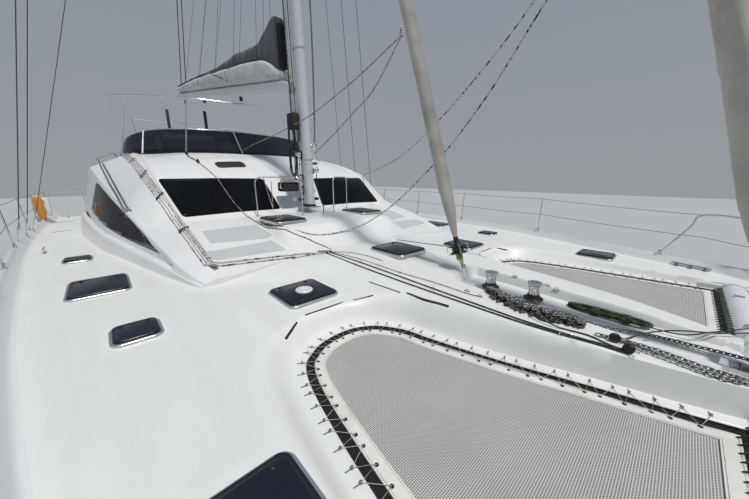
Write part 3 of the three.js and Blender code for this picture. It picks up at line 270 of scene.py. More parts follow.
def spline(points, count):
    """Points evenly spread on a Catmull-Rom curve through the given ones; any number of columns."""
    pts = np.array(points, float)
    ext = np.vstack([2 * pts[0] - pts[1], pts, 2 * pts[-1] - pts[-2]])
    fine = []
    for i in range(1, len(ext) - 2):
        p0, p1, p2, p3 = ext[i - 1:i + 3]
        for t in np.linspace(0, 1, 16, endpoint=False):
            fine.append(0.5 * (2 * p1 + (p2 - p0) * t + (2 * p0 - 5 * p1 + 4 * p2 - p3) * t * t
                               + (3 * p1 - p0 - 3 * p2 + p3) * t ** 3))
    fine.append(pts[-1])
    fine = np.array(fine)
    dims = min(3, fine.shape[1])
    run = np.concatenate([[0], np.cumsum(np.linalg.norm(np.diff(fine[:, :dims], axis=0), axis=1))])
    at = np.linspace(0, run[-1], count)
    return np.stack([np.interp(at, run, fine[:, k]) for k in range(fine.shape[1])], axis=1)


def run_length(path):
    return sum((Vector(b) - Vector(a)).length for a, b in zip(path[:-1], path[1:]))


def reworked(data, change):
    """Runs a change on a mesh by way of its faces and edges."""
    bm = bmesh.new()
    bm.from_mesh(data)
    change(bm)
    bm.to_mesh(data)
    bm.free()


def face_towards(data, way):
    """Turns a sheet's faces to one side."""
    def turn(bm):
        for f in bm.faces:
            if f.normal.dot(way) < 0:
                f.normal_flip()

    reworked(data, turn)


def rounded_box(long, wide, radius, steps=6):
    """Outline of a rounded rectangle round the origin, counterclockwise."""
    out = []
    for k, (sx, sy) in enumerate(((1, 1), (-1, 1), (-1, -1), (1, -1))):
        for i in range(steps + 1):
            turn = (k + i / steps) * math.pi / 2
            out.append((sx * (long / 2 - radius) + radius * math.cos(turn),
                        sy * (wide / 2 - radius) + radius * math.sin(turn)))
    return out


def stacked(x, y, z, long, wide, levels):
    """Rounded rectangles one over the other: how far each one stands out, its height and its corner."""
    return [[(x + px, y + py, z + up) for px, py in rounded_box(long + 2 * grow, wide + 2 * grow, radius)]
            for grow, up, radius in levels]


def filled(ring, xs, ys, within):
    """Points and triangles of a closed outline, with a grid of points in it."""
    gx, gy = (g.ravel() for g in np.meshgrid(xs, ys))
    keep = inside_of(gx, gy, np.array(within))
    points = [Vector(p) for p in [*ring, *zip(gx[keep], gy[keep])]]
    edges = [(i, (i + 1) % len(ring)) for i in range(len(ring))]
    made = delaunay_2d_cdt(points, edges, [], 1, 1e-5, False)
    return made[0], made[2]


# Materials
PALE = (1, 1, 1)


def new_material(name):
    mat = bpy.data.materials.new(name)
    mat.use_nodes = True
    tree = mat.node_tree
    return mat, tree, tree.nodes["Principled BSDF"]


def node(tree, kind, **values):
    """New node; a value that isn't named like an input sets one of the node's properties."""
    made = tree.nodes.new("ShaderNode" + kind)
    for key, value in values.items():
        if key in made.inputs:
            made.inputs[key].default_value = value
        else:
            setattr(made, key, value)
    return made


def join(socket, source):
    """Links an output to an input, or gives the input a fixed value."""
    if isinstance(source, bpy.types.NodeSocket):
        socket.id_data.links.new(source, socket)
    else:
        socket.default_value = source


def feed(made, **sources):
    for key, source in sources.items():
        join(made.inputs[key.replace("_", " ")], source)


def texture(tree, kind, stretch=(1, 1, 1), **values):
    """Texture laid in the object's own space."""
    made = node(tree, "Tex" + kind, **values)
    mapping = node(tree, "Mapping", Scale=stretch)
    join(mapping.inputs["Vector"], node(tree, "TexCoord").outputs["Object"])
    join(made.inputs["Vector"], mapping.outputs["Vector"])
    return made


def noise_out(tree, scale, detail=4, stretch=(1, 1, 1)):
    return texture(tree, "Noise", stretch, Scale=scale, Detail=detail, Roughness=0.55).outputs["Fac"]


def ramp_out(tree, source, *stops, interpolation="LINEAR"):
    ramp = node(tree, "ValToRGB")
    band = ramp.color_ramp
    band.interpolation = interpolation
    while len(band.elements) < len(stops):
        band.elements.new(0.5)
    for element, (at, color) in zip(band.elements, stops):
        element.position = at
        element.color = (*color, 1)
    feed(ramp, Fac=source)
    return ramp.outputs["Color"]


def spread_out(tree, source, low, high, from_low=0.3, from_high=0.7):
    made = node(tree, "MapRange")
    feed(made, Value=source, From_Min=from_low, From_Max=from_high, To_Min=low, To_Max=high)
    return made.outputs["Result"]


def math_out(tree, operation, *terms):
    made = node(tree, "Math", operation=operation)
    for socket, term in zip(made.inputs, terms):
        join(socket, term)
    return made.outputs[0]


def mixed(tree, a, b, share, way="MULTIPLY"):
    """Colour b over colour a, as far as the share says."""
    mix = node(tree, "Mix", data_type="RGBA", blend_type=way)
    feed(mix, Factor=share, A=a, B=b)
    return mix.outputs["Result"]


def bump(tree, shader, source, strength, distance=0.002, after=None):
    made = node(tree, "Bump", Strength=strength, Distance=distance)
    feed(made, Height=source)
    if after:
        feed(made, Normal=after)
    feed(shader, Normal=made.outputs["Normal"])
    return made.outputs["Normal"]


def shade(color, by):
    return tuple(min(max(c * by, 0), 1) for c in color)


def simple(name, color, rough, metal=0.0, vary=0.08, grain=60, bumps=0.15, stretch=(1, 1, 1), depth=0.001,
           **fixed):
    """A finish with blotches of colour, uneven gloss and fine relief."""
    mat, tree, shader = new_material(name)
    cloud = noise_out(tree, 2.5, 5)
    fine = noise_out(tree, grain, 3, stretch)
    tint = ramp_out(tree, cloud, (0.3, shade(color, 1 - vary)), (0.7, shade(color, 1 + vary * 0.6)))
    gloss = spread_out(tree, fine, max(rough - 0.07, 0.02), min(rough + 0.09, 1))
    feed(shader, Base_Color=tint, Roughness=gloss, Metallic=metal, **fixed)
    if bumps:
        bump(tree, shader, fine, bumps, depth)
    return mat


def gelcoat_material(name, color, nonskid=False):
    """Glossy moulding, or a deck whose walking areas are pale grey grain."""
    mat, tree, shader = new_material(name)
    cloud = noise_out(tree, 0.9, 6)
    streak = noise_out(tree, 3.0, 5, (0.35, 2.2, 1))
    tint = ramp_out(tree, cloud, (0.25, shade(color, 0.955)), (0.7, color))
    colour = mixed(tree, tint, ramp_out(tree, streak, (0.3, (0.93, 0.925, 0.905)), (0.55, PALE)), 0.6)
    if nonskid:
        mask = node(tree, "Attribute", attribute_name="nonskid").outputs["Fac"]
        grey = mixed(tree, colour, (0.955, 0.96, 0.955, 1), 1)
        grains = texture(tree, "Voronoi", Scale=210).outputs["Distance"]
        feed(shader, Base_Color=mixed(tree, colour, grey, mask, "MIX"),
             Roughness=spread_out(tree, mask, 0.44, 0.58, 0, 1))
        bump(tree, shader, math_out(tree, "MULTIPLY", grains, mask), 0.35)
    else:
        feed(shader, Base_Color=colour, Roughness=spread_out(tree, noise_out(tree, 5, 3), 0.28, 0.38))
        bump(tree, shader, noise_out(tree, 2.2, 2), 0.04, 0.01)
    feed(shader, Coat_Weight=0.15, Coat_Roughness=0.12)
    return mat


def hull_material():
    """White topsides over a dark blue boot stripe and blue antifouling."""
    mat, tree, shader = new_material("hull_gelcoat")
    split = node(tree, "SeparateXYZ")
    join(split.inputs[0], node(tree, "TexCoord").outputs["Object"])
    ripple = math_out(tree, "MULTIPLY_ADD", noise_out(tree, 1.5, 4), 0.012, split.outputs["Z"])
    height = spread_out(tree, ripple, 0, 1, -0.5, 1.5)
    white, blue = (0.9, 0.91, 0.91), (0.03, 0.05, 0.11)
    bands = ramp_out(tree, height, (0, (0.045, 0.08, 0.13)), (0.285, blue), (0.33, white), (0.335, blue),
                     (0.342, white), interpolation="CONSTANT")
    grime = ramp_out(tree, noise_out(tree, 1.4, 6, (0.4, 1, 2.5)), (0.3, (0.9, 0.895, 0.87)), (0.6, PALE))
    feed(shader, Base_Color=mixed(tree, bands, grime, 0.5), Coat_Weight=0.2, Coat_Roughness=0.1,
         Roughness=spread_out(tree, height, 0.6, 0.26, 0.28, 0.3))
    bump(tree, shader, noise_out(tree, 2.5, 3), 0.05, 0.02)
    return mat


def woven(name, color, pitch, rough=0.85, depth=0.5, vary=0.1, sheen=0.25, folds=0.0):
    """Cloth with a square weave that needs no UVs, blotches and soft creases."""
    mat, tree, shader = new_material(name)
    across, along = (texture(tree, "Wave", Scale=0.5 / pitch, bands_direction=way, Distortion=0.6)
                     for way in ("X", "Z"))
    both = math_out(tree, "MULTIPLY", across.outputs["Fac"], along.outputs["Fac"])
    tint = ramp_out(tree, noise_out(tree, 3, 6), (0.28, shade(color, 1 - vary * 1.6)), (0.5, color),
                    (0.75, shade(color, 1 + vary)))
    weave = ramp_out(tree, both, (0, (0.7, 0.7, 0.7)), (0.6, PALE))
    feed(shader, Base_Color=mixed(tree, tint, weave, 0.35), Roughness=rough, Sheen_Weight=sheen)
    first = bump(tree, shader, both, depth, 0.0008)
    if folds:
        bump(tree, shader, noise_out(tree, 7, 5, (1, 1, 0.35)), folds, 0.02, first)
    return mat


def net_material():
    """Pale fine net: bright strands on a square pitch, the holes between them painted near-black as painted
    shade for the dark below the net.
    """
    mat, tree, shader = new_material("trampoline_net")
    pitch = 0.0115
    rows = [texture(tree, "Wave", Scale=math.pi / 10 / pitch, bands_direction=way).outputs["Fac"]
            for way in ("X", "Y")]
    most = math_out(tree, "MAXIMUM", *rows)
    # Holes painted near-black: painted shade for the dark seen through the net
    strands_over_hole_shade = ramp_out(tree, most, (0.55, (0.055, 0.055, 0.057)), (0.8, (0.56, 0.555, 0.55)))
    wear = ramp_out(tree, noise_out(tree, 2.2, 5), (0.3, (0.86, 0.85, 0.83)), (0.7, PALE))
    feed(shader, Base_Color=mixed(tree, strands_over_hole_shade, wear, 0.7), Roughness=0.75, Sheen_Weight=0.15)
    bump(tree, shader, most, 0.6)
    return mat


def rope_material(name, color, fleck, turns=1.0, share=0.5):
    """Braided rope: small strands with flecks of a second colour, and painted shade darkening each strand
    towards its edges.
    """
    mat, tree, shader = new_material(name)
    braid = texture(tree, "Voronoi", Scale=95, distance="MANHATTAN").outputs["Distance"]
    spots = texture(tree, "Voronoi", Scale=22 * turns).outputs["Color"]
    picked = ramp_out(tree, spots, (share, color), (share + 0.04, fleck))
    # Painted shade: darker towards each strand's edge, in the crevices between strands
    strand_crevice_shade = ramp_out(tree, braid, (0, PALE), (0.7, (0.6, 0.6, 0.6)))
    feed(shader, Base_Color=mixed(tree, picked, strand_crevice_shade, 0.8), Roughness=0.85)
    bump(tree, shader, braid, 0.6)
    return mat


def glass_material(name, color, clear, shine):
    mat, tree, shader = new_material(name)
    tint = ramp_out(tree, noise_out(tree, 1.2, 3), (0.3, shade(color, 0.8)), (0.7, shade(color, 1.25)))
    feed(shader, Base_Color=tint, Roughness=spread_out(tree, noise_out(tree, 14), 0.03, 0.09),
         IOR=1.3, Specular_IOR_Level=shine, Alpha=clear)
    return mat


def wood_material():
    mat, tree, shader = new_material("joinery")
    rings = texture(tree, "Wave", (0.6, 4, 4), Scale=3, Distortion=6, Detail=3).outputs["Fac"]
    grain = ramp_out(tree, rings, (0.1, (0.27, 0.15, 0.08)), (0.8, (0.45, 0.28, 0.16)))
    feed(shader, Base_Color=grain, Roughness=0.35)
    bump(tree, shader, rings, 0.1, 0.001)
    return mat


def striped_steel(name, color, rough, scale, stretch):
    """Steel with fine drawn or turned lines."""
    return simple(name, color, rough, 1.0, 0.05, scale, 0.12, stretch, 0.0006)


M = {
    "deck": gelcoat_material("deck_gelcoat", (0.725, 0.73, 0.725), nonskid=True),
    "gelcoat": gelcoat_material("gelcoat", (0.725, 0.73, 0.735)),
    "liner": simple("saloon_liner", (0.45, 0.43, 0.4), 0.6, vary=0.05),
    "sole": wood_material(),
    "hull": hull_material(),
    "antifoul": simple("antifouling", (0.045, 0.08, 0.13), 0.75, vary=0.25, grain=18, bumps=0.3,
                       depth=0.003),
    "net": net_material(),
    "hem": woven("net_hem", (0.72, 0.71, 0.675), 0.004, vary=0.1),
    # Near-black painted shade: stands for the dark seen down the slots round the nets, on the walls below
    # their rims and in the stack cover's open front
    "slot": simple("painted_slot_shade", (0.006, 0.006, 0.007), 0.9, vary=0.2),
    "lacing": rope_material("lacing_line", (0.72, 0.7, 0.66), (0.5, 0.48, 0.44)),
    "rope": rope_material("white_rope", (0.74, 0.72, 0.66), (0.03, 0.03, 0.035), 1.6, 0.62),
    "thin_rope": rope_material("thin_line", (0.52, 0.47, 0.38), (0.2, 0.17, 0.13), 2.0),
    "dark_rope": rope_material("dark_rope", (0.02, 0.028, 0.022), (0.07, 0.09, 0.06), 1.5),
    "dark_green": rope_material("dark_green_cord", (0.018, 0.032, 0.012), (0.075, 0.11, 0.035), 1.2),
    "green": rope_material("green_cord", (0.5, 0.62, 0.06), (0.3, 0.38, 0.05)),
    "acrylic": simple("hatch_acrylic", (0.012, 0.014, 0.026), 0.2, vary=0.3, grain=90, bumps=0.02,
                      Specular_IOR_Level=0.22),
    "frit": simple("frit", (0.006, 0.006, 0.007), 0.3, vary=0.1),
    "glass": glass_material("tinted_window", (0.006, 0.007, 0.01), 0.93, 0.12),
    "screen": glass_material("tinted_screen", (0.008, 0.011, 0.018), 0.84, 0.3),
    "alloy": striped_steel("anodised_alloy", (0.68, 0.69, 0.7), 0.32, 160, (1, 6, 1)),
    "spar": simple("spar_paint", (0.68, 0.7, 0.715), 0.36, 0.1, 0.06, 40, 0.06, Coat_Weight=0.2),
    "steel": striped_steel("stainless", (0.72, 0.73, 0.74), 0.14, 220, (1, 1, 5)),
    "dull": simple("galvanised", (0.25, 0.255, 0.265), 0.48, 1.0, 0.25, 60, 0.5),
    "old_chain": simple("old_chain", (0.15, 0.13, 0.105), 0.62, 0.7, 0.35, 45, 0.6),
    "wire": simple("stay_wire", (0.09, 0.09, 0.095), 0.45, 0.6, 0.15, 300, 0.4, (1, 1, 0.2)),
    "bronze": simple("bronze", (0.5, 0.34, 0.15), 0.3, 1.0, 0.15, 30, 0.2),
    "black": simple("black_fitting", (0.012, 0.012, 0.013), 0.42, vary=0.3, grain=120, bumps=0.15),
    "rubber": simple("rubber", (0.018, 0.018, 0.018), 0.8, vary=0.2, grain=80, bumps=0.3),
    "roll": woven("rolled_sail", (0.5, 0.475, 0.43), 0.003, vary=0.16, folds=0.5),
    "bag": woven("bag_cloth", (0.55, 0.57, 0.58), 0.004, vary=0.08, folds=0.35),
    "bag_dark": woven("bag_lining", (0.06, 0.066, 0.076), 0.004, vary=0.1, folds=0.35),
    "sail": woven("sailcloth", (0.6, 0.6, 0.59), 0.003, vary=0.08, folds=0.5),
    "orange": woven("orange_cover", (0.62, 0.25, 0.03), 0.004, vary=0.12),
    "seat": simple("seat_vinyl", (0.02, 0.02, 0.022), 0.55, vary=0.2, grain=140, bumps=0.4),
    "cushion": woven("grey_upholstery", (0.2, 0.195, 0.19), 0.004, vary=0.1),
    "step": simple("nonskid_grey", (0.47, 0.485, 0.49), 0.75, vary=0.05, grain=320, bumps=0.5),
    "strip": simple("grip_strip", (0.02, 0.02, 0.022), 0.9, vary=0.2, grain=260, bumps=0.6),
    "floor": simple("studio_floor", (0.42, 0.43, 0.445), 0.85, vary=0.015, grain=3, bumps=0.0),
    "red": simple("red_lens", (0.5, 0.02, 0.02), 0.2, vary=0.1),
    "white_plastic": simple("white_plastic", (0.7, 0.7, 0.68), 0.35, vary=0.05, grain=50, bumps=0.05),
}


# Deck: the same tables as the frame's source, in metres
DECK_Z = [(8.62, 1.62), (6.6, 1.70), (5.6, 1.74), (4.0, 1.80), (-1.9, 1.80), (-6.3, 1.78), (-7.0, 1.77)]
EDGE_Y = [(8.62, 3.015), (8.3, 3.08), (7.9, 3.14), (7.3, 3.21), (6.62, 3.27), (5.05, 3.59), (3.42, 3.83),
          (1.64, 4.01), (0, 4.16), (-1.86, 4.26), (-4.6, 4.29), (-6.3, 4.23), (-8.65, 4.08)]
BOW_INNER_Y = [(8.62, 2.98), (8.3, 2.9), (7.8, 2.74), (7.2, 2.6), (6.4, 2.48), (5.3, 2.3)]
JOINT_Z = 1.42
NET_Z = 1.59
BOW_X, AFT_X = 8.62, -7.0
# Front of the walkway, and the cabin's front and aft ends
WALK_X, CABIN_X, CABIN_AFT_X = 7.2, 3.1, -3.7
# x, y, width of the sloping well beside the rim
NET_RIM = [
    (7.5, 0.45, 0.11), (6.95, 0.64, 0.11), (6.51, 0.77, 0.115), (6.15, 0.885, 0.14), (5.76, 1.0, 0.18),
    (5.3, 1.11, 0.2), (5.025, 1.165, 0.2), (4.782, 1.312, 0.19), (4.66, 1.51, 0.18), (4.64, 1.72, 0.19),
    (4.67, 1.9, 0.22), (4.737, 2.027, 0.26), (4.865, 2.17, 0.3), (5.2, 2.29, 0.32), (5.95, 2.43, 0.26),
    (7.2, 2.6, 0.115), (7.5, 2.65, 0.11),
]
# x, centre z, shoulder y, shoulder z, foot y, foot rise above the deck
FOREDECK = [
    (7.2, 1.795, 0.46, 1.785, 0.7, 0.03), (6.62, 1.85, 0.64, 1.84, 0.9, 0.02),
    (5.8, 1.885, 0.74, 1.865, 1.15, 0.02), (4.95, 1.91, 0.84, 1.89, 1.32, 0.01),
    (3.7, 1.985, 0.85, 1.95, 1.35, 0.005), (3.1, 1.985, 1.2, 1.96, 2.38, 0.015),
    (2.0, 1.985, 1.2, 1.96, 2.6, 0), (-7.0, 1.985, 1.2, 1.96, 2.6, 0)
]
CABIN_BASE_Y = [
    (3.1, 2.45), (2.87, 2.53), (2.25, 2.69), (1.22, 2.92), (-0.1, 3.24), (-2.06, 3.52), (-3.7, 3.6)
]
# name, x, |y|, length, width, height of the deck there
HATCHES = [
    ("bow_locker_lid", 5.81, 2.9, 0.48, 0.46, 1.745), ("forward_cabin_hatch", 3.79, 3.09, 0.33, 0.3, 1.81),
    ("side_cabin_hatch", 2.22, 3.3, 0.66, 0.51, 1.812), ("midship_cabin_hatch", 0.48, 3.53, 0.3, 0.3, 1.812),
    ("foredeck_hatch", 4.0, 1.675, 0.54, 0.54, 1.815), ("apron_hatch", 2.0, 0.89, 0.7, 0.52, 2.336),
]
CENTRE_HATCH = ("sail_locker_hatch", 3.87, 0, 0.62, 0.55, 1.992)
CLEATS = [(7.75, 2.96), (-0.55, 3.96), (-6.75, 3.96)]
TROUGH = (4.98, 7.3, 0.30, 0.26)


def reader(rows, column=1, soft=0.0):
    """Value of a table's column at x, eased over a distance."""
    rows = sorted(rows)
    xs, values = [r[0] for r in rows], [r[column] for r in rows]

    def read(x):
        x = np.asarray(x, float)
        if not soft:
            return np.interp(x, xs, values)
        return sum(np.interp(x + d * soft, xs, values) for d in SHIFTS) / len(SHIFTS)

    return read


deck_z = reader(DECK_Z, soft=0.3)
edge_y = reader(EDGE_Y, soft=0.35)
inner_y = reader(BOW_INNER_Y, soft=0.15)
base_y = reader(CABIN_BASE_Y)
RIM = spline(NET_RIM, 150)


def distance_to_rim(x, y):
    """Distance outside the net's opening, negative inside, and the well's width there."""
    best = np.full(x.shape, 1e9)
    width = np.zeros(x.shape)
    for p, q in zip(RIM[:-1], RIM[1:]):
        way = q[:2] - p[:2]
        t = np.clip(((x - p[0]) * way[0] + (y - p[1]) * way[1]) / (way @ way), 0, 1)
        d = np.hypot(x - p[0] - t * way[0], y - p[1] - t * way[1])
        near = d < best
        best[near] = d[near]
        width[near] = (p[2] + t * (q[2] - p[2]))[near]
    inside = inside_of(x, y, RIM[:, :2])
    return np.where(inside, -best, best), width


def inside_of(x, y, outline):
    hit = np.zeros(x.shape, bool)
    for (x0, y0), (x1, y1) in zip(outline, np.roll(outline, -1, axis=0)):
        if y0 == y1:
            continue
        cross = ((y0 > y) != (y1 > y)) & (x < (x1 - x0) * (y - y0) / (y1 - y0) + x0)
        hit ^= cross
    return hit


def smooth_least(a, b, k):
    h = np.clip(0.5 + 0.5 * (b - a) / k, 0, 1)
    return b + (a - b) * h - k * h * (1 - h)


def eased(t):
    t = np.clip(t, 0, 1)
    return t * t * (3 - 2 * t)


CENTRE = [reader(FOREDECK, k, 0.25) for k in (1, 2, 3, 4, 5)]


def crown(x, y):
    """Deck without the wells and the trough."""
    centre, shoulder_y, shoulder_z, foot_y, rise = (f(x) for f in CENTRE)
    z = deck_z(x)
    edge = edge_y(x)
    total = 0
    for d in SHIFTS:
        v = np.abs(y + d * 0.07)
        top = centre + (shoulder_z - centre) * v / shoulder_y
        slope = shoulder_z + (z + rise - shoulder_z) * (v - shoulder_y) / np.maximum(
            foot_y - shoulder_y, 0.05
        )
        flat = z + rise * np.clip((edge - v) / np.maximum(edge - foot_y, 0.05), 0, 1)
        total = total + np.where(v < shoulder_y, top, np.where(v < foot_y, slope, flat))
    return total / len(SHIFTS)


def deck_height(x, y):
    """Height of the deck's top face at |y|."""
    z = crown(x, y)
    off, width = distance_to_rim(x, y)
    flange = 0.085
    p = np.clip((off - flange) / np.maximum(width - flange, 0.03), 0, 3)
    rise = 0.194 * np.where(p < 1, 0.55 * eased(p) + 0.45 * p, 1 + (p - 1) * 0.9)
    well = NET_Z + 0.016 + np.where(off < flange, 0, rise)
    z = smooth_least(z, well, 0.035)
    x0, x1, y0, y1 = TROUGH
    half = np.interp(x, [x0, x1], [y0, y1])
    floor = np.interp(x, [x0, x1], [1.79, 1.735])
    out = np.maximum(eased((y - half + 0.006) / 0.04), eased((x0 - x + 0.01) / 0.05))
    return np.where(z > floor, floor + (z - floor) * out, z)


def ground(x, y):
    """Height of the deck under one point."""
    return float(deck_height(np.array([x], float), np.array([abs(y)], float))[0])


def resampled(points, step):
    """The same open outline with points no further apart than a step."""
    out = []
    for a, b in zip(points[:-1], points[1:]):
        a, b = np.array(a, float), np.array(b, float)
        count = max(1, int(math.ceil(np.linalg.norm(b - a) / step)))
        out.extend(a + (b - a) * i / count for i in range(count))
    out.append(np.array(points[-1], float))
    return out


COCKPIT_Y, SEAT_Y, BENCH_X = 2.35, 1.7, -6.45
EDGE_IN = 0.05


def deck_outline():
    """Outline of the port half of the deck's top face."""
    rim = [p for p in RIM[:, :2] if p[0] < WALK_X]
    bow = [(x, inner_y(x) + 0.012) for x in np.linspace(7.22, BOW_X, 12)]
    edge = [(x, edge_y(x) - EDGE_IN) for x in np.linspace(BOW_X, AFT_X, 90)]
    front = [(WALK_X, 0.0), (WALK_X, float(rim[0][1]))]
    aft = [(AFT_X, COCKPIT_Y), (CABIN_AFT_X, COCKPIT_Y), (CABIN_AFT_X, 0)]
    outline = resampled(front, 0.05)[:-1] + list(rim) + bow + edge[1:] + aft
    return [tuple(map(float, p)) for p in outline]


def cabin_line(grow, count=60):
    xs = np.linspace(CABIN_X + grow, CABIN_AFT_X, count)
    return [(float(x), base_y(x) + grow) for x in xs]


def grid_points():
    """Interior points: fine near the camera and the wells, coarse elsewhere."""
    rows = []
    for step, (xa, xb, ya, yb) in (
        (0.042, (3.0, WALK_X, 0.0, 3.6)), (0.07, (WALK_X, BOW_X, 2.5, 3.3)),
        (0.085, (CABIN_AFT_X, 3.0, 2.2, 4.35)), (0.11, (AFT_X, CABIN_AFT_X, 2.3, 4.35))
    ):
        xs = np.arange(xa + step / 2, xb, step)
        ys = np.arange(ya + step / 2, yb, step)
        gx, gy = np.meshgrid(xs, ys)
        rows.append(np.stack([gx.ravel(), gy.ravel()], axis=1))
    fine = []
    normal = rim_normals()
    for d in (0.02, 0.05, 0.085, 0.1, 0.12, 0.145, 0.17, 0.2, 0.235, 0.27, 0.31):
        fine.append(RIM[:, :2] + normal * d)
    for k in (0.0, 0.012, 0.024, 0.036):
        xs = np.arange(5.0, 7.18, 0.035)
        fine.append(np.stack([xs, np.interp(xs, TROUGH[:2], TROUGH[2:]) + k], axis=1))
    for k in (-0.012, 0.004, 0.02, 0.036):
        ys = np.arange(0.01, 0.3, 0.03)
        fine.append(np.stack([np.full(ys.shape, TROUGH[0] - k), ys], axis=1))
    fine = np.vstack(fine)
    coarse = np.vstack(rows)
    off, _ = distance_to_rim(coarse[:, 0], coarse[:, 1])
    in_trough = (coarse[:, 0] > 4.9) & (np.abs(coarse[:, 1] - 0.3) < 0.07)
    coarse = coarse[(np.abs(off - 0.17) > 0.17) & ~in_trough]
    return np.vstack([coarse, fine])


def rim_normals():
    way = np.gradient(RIM[:, :2], axis=0)
    way /= np.linalg.norm(way, axis=1)[:, None]
    normal = np.stack([-way[:, 1], way[:, 0]], axis=1)
    probe = RIM[:, :2] + normal * 0.01
    inside = inside_of(probe[:, 0], probe[:, 1], RIM[:, :2])
    normal[inside] *= -1
    return normal


def deck_top():
    """Vertices and triangles of the port half of the top face."""
    outline = deck_outline()
    cabin = cabin_line(-0.03)
    grid = grid_points()
    keep = inside_of(grid[:, 0], grid[:, 1], np.array(outline))
    footprint = np.array(cabin + [(CABIN_AFT_X, -1), (cabin[0][0], -1)])
    keep &= ~inside_of(grid[:, 0], grid[:, 1], footprint)
    grid = grid[keep]
    middle = [(x, 0.0) for x in np.arange(CABIN_X, WALK_X, 0.05)]
    nose = [(cabin[0][0], y) for y in np.arange(0, cabin[0][1], 0.06)]
    points = [*outline, *cabin, *middle, *nose, *map(tuple, grid)]
    n0, n1 = len(outline), len(cabin)
    edges = [(i, i + 1) for i in range(n0 - 1)]
    edges += [(n0 + i, n0 + i + 1) for i in range(n1 - 1)]
    made = delaunay_2d_cdt([Vector(p) for p in points], edges, [], 0, 1e-5, False)
    xy = np.array([tuple(v) for v in made[0]])
    tris = np.array(made[2])
    mid = xy[tris].mean(axis=1)
    good = inside_of(mid[:, 0], mid[:, 1], np.array(outline))
    good &= ~inside_of(mid[:, 0], mid[:, 1], footprint)
    tris = tris[good]
    a, b, c = (xy[tris[:, k]] for k in range(3))
    area = (b[:, 0] - a[:, 0]) * (c[:, 1] - a[:, 1]) - (b[:, 1] - a[:, 1]) * (c[:, 0] - a[:, 0])
    tris = tris[np.abs(area) > 1e-9]
    return xy, tris


def skid_mask(x, y):
    """1 on the walking areas, 0 on the smooth margins."""
    off, width = distance_to_rim(x, y)
    mask = eased((off - width - 0.05) / 0.02)
    mask *= eased((edge_y(x) - 0.12 - y) / 0.02)
    mask *= eased((y - base_y(np.clip(x, CABIN_AFT_X, CABIN_X)) - 0.1) / 0.02 + (x > 3.12) * 9)
    for _, hx, hy, long, wide, _ in HATCHES[:-1]:
        near = np.maximum(np.abs(x - hx) - long / 2, np.abs(y - hy) - wide / 2)
        mask *= eased((near - 0.07) / 0.015)
    return mask


WELD = 0.0006


def make_deck():
    xy, tris = deck_top()
    x, y = xy[:, 0], xy[:, 1]
    z = deck_height(x, np.abs(y))
    low = y < 1e-5
    build = Build()
    top = np.stack([x, np.where(low, 0, y), z], axis=1)
    build.add(top, tris)
    rim_lip(build)
    bulwark(build)
    bow_faces(build)
    trough_front(build)
    aft_deck(build)
    build.mirrored()
    # The deck's third finish is the near-black painted shade on the walls below the net rims
    obj = build.piece("deck", "deck gelcoat slot", sharp=48, slot="gelcoat", stands_for=["deck_moulding"])
    reworked(obj.data, weld)
    obj.data.set_sharp_from_angle(angle=math.radians(48))
    co = np.zeros(len(obj.data.vertices) * 3)
    obj.data.vertices.foreach_get("co", co)
    co = co.reshape(-1, 3)
    mask = skid_mask(co[:, 0], np.abs(co[:, 1]))
    mask *= (co[:, 2] > 1.7)
    layer = obj.data.attributes.new("nonskid", "FLOAT", "POINT")
    layer.data.foreach_set("value", mask.astype(np.float32))
    return obj


def weld(bm):
    bmesh.ops.remove_doubles(bm, verts=bm.verts, dist=WELD)
    bmesh.ops.recalc_face_normals(bm, faces=bm.faces)


def rim_lip(build):
    """Rounded edge of the flange, and the wall below it painted near-black as painted shade down the slot."""
    normal = rim_normals()
    edge, wall = [], []
    inner = [p for p in range(len(RIM)) if RIM[p][0] < WALK_X]
    for i in inner:
        x, y = RIM[i][:2]
        n = normal[i]
        turn = (x - n[0] * 0.009, y - n[1] * 0.009, NET_Z + 0.006)
        edge.append([(x, y, NET_Z + 0.016), (x - n[0] * 0.006, y - n[1] * 0.006, NET_Z + 0.013), turn])
        wall.append(
            [turn, *((x + n[0] * d, y + n[1] * d, NET_Z - down) for d, down in ((0.004, 0.02), (0.02, 0.16)))]
        )
    build.loft(edge, 1, False, False)
    # Painted shade: the wall below the flange gets the near-black slot finish
    build.loft(wall, 2, False, False)


def bulwark(build):
    """Toe rail with its cove, rounded cap and the topside down to the hull joint."""
    rows = []
    for x in np.linspace(BOW_X, AFT_X, 120):
        edge, z = edge_y(x), deck_z(x)
        lean = min(0.06, max(0.5 * (edge - inner_y(x)), 0.01)) if x > 7 else 0.06
        cap = z + 0.13
        section = (
            (edge - EDGE_IN, z), (edge - 0.03, z + 0.003), (edge - 0.012, z + 0.011),
            (edge + 0.001, z + 0.026), (edge + lean * 0.5, z + 0.07), (edge + lean, cap - 0.012),
            (edge + lean + 0.01, cap - 0.003), (edge + lean + 0.025, cap), (edge + 0.1, cap - 0.008),
            (edge + 0.117, cap - 0.015), (edge + 0.122, cap - 0.03), (edge + 0.115, cap - 0.06),
            (edge + 0.105, cap - 0.1), (edge + 0.1, JOINT_Z + 0.15), (edge + 0.095, JOINT_Z)
        )
        rows.append([(x, *p) for p in section])
    build.loft(rows, 1, False, False)


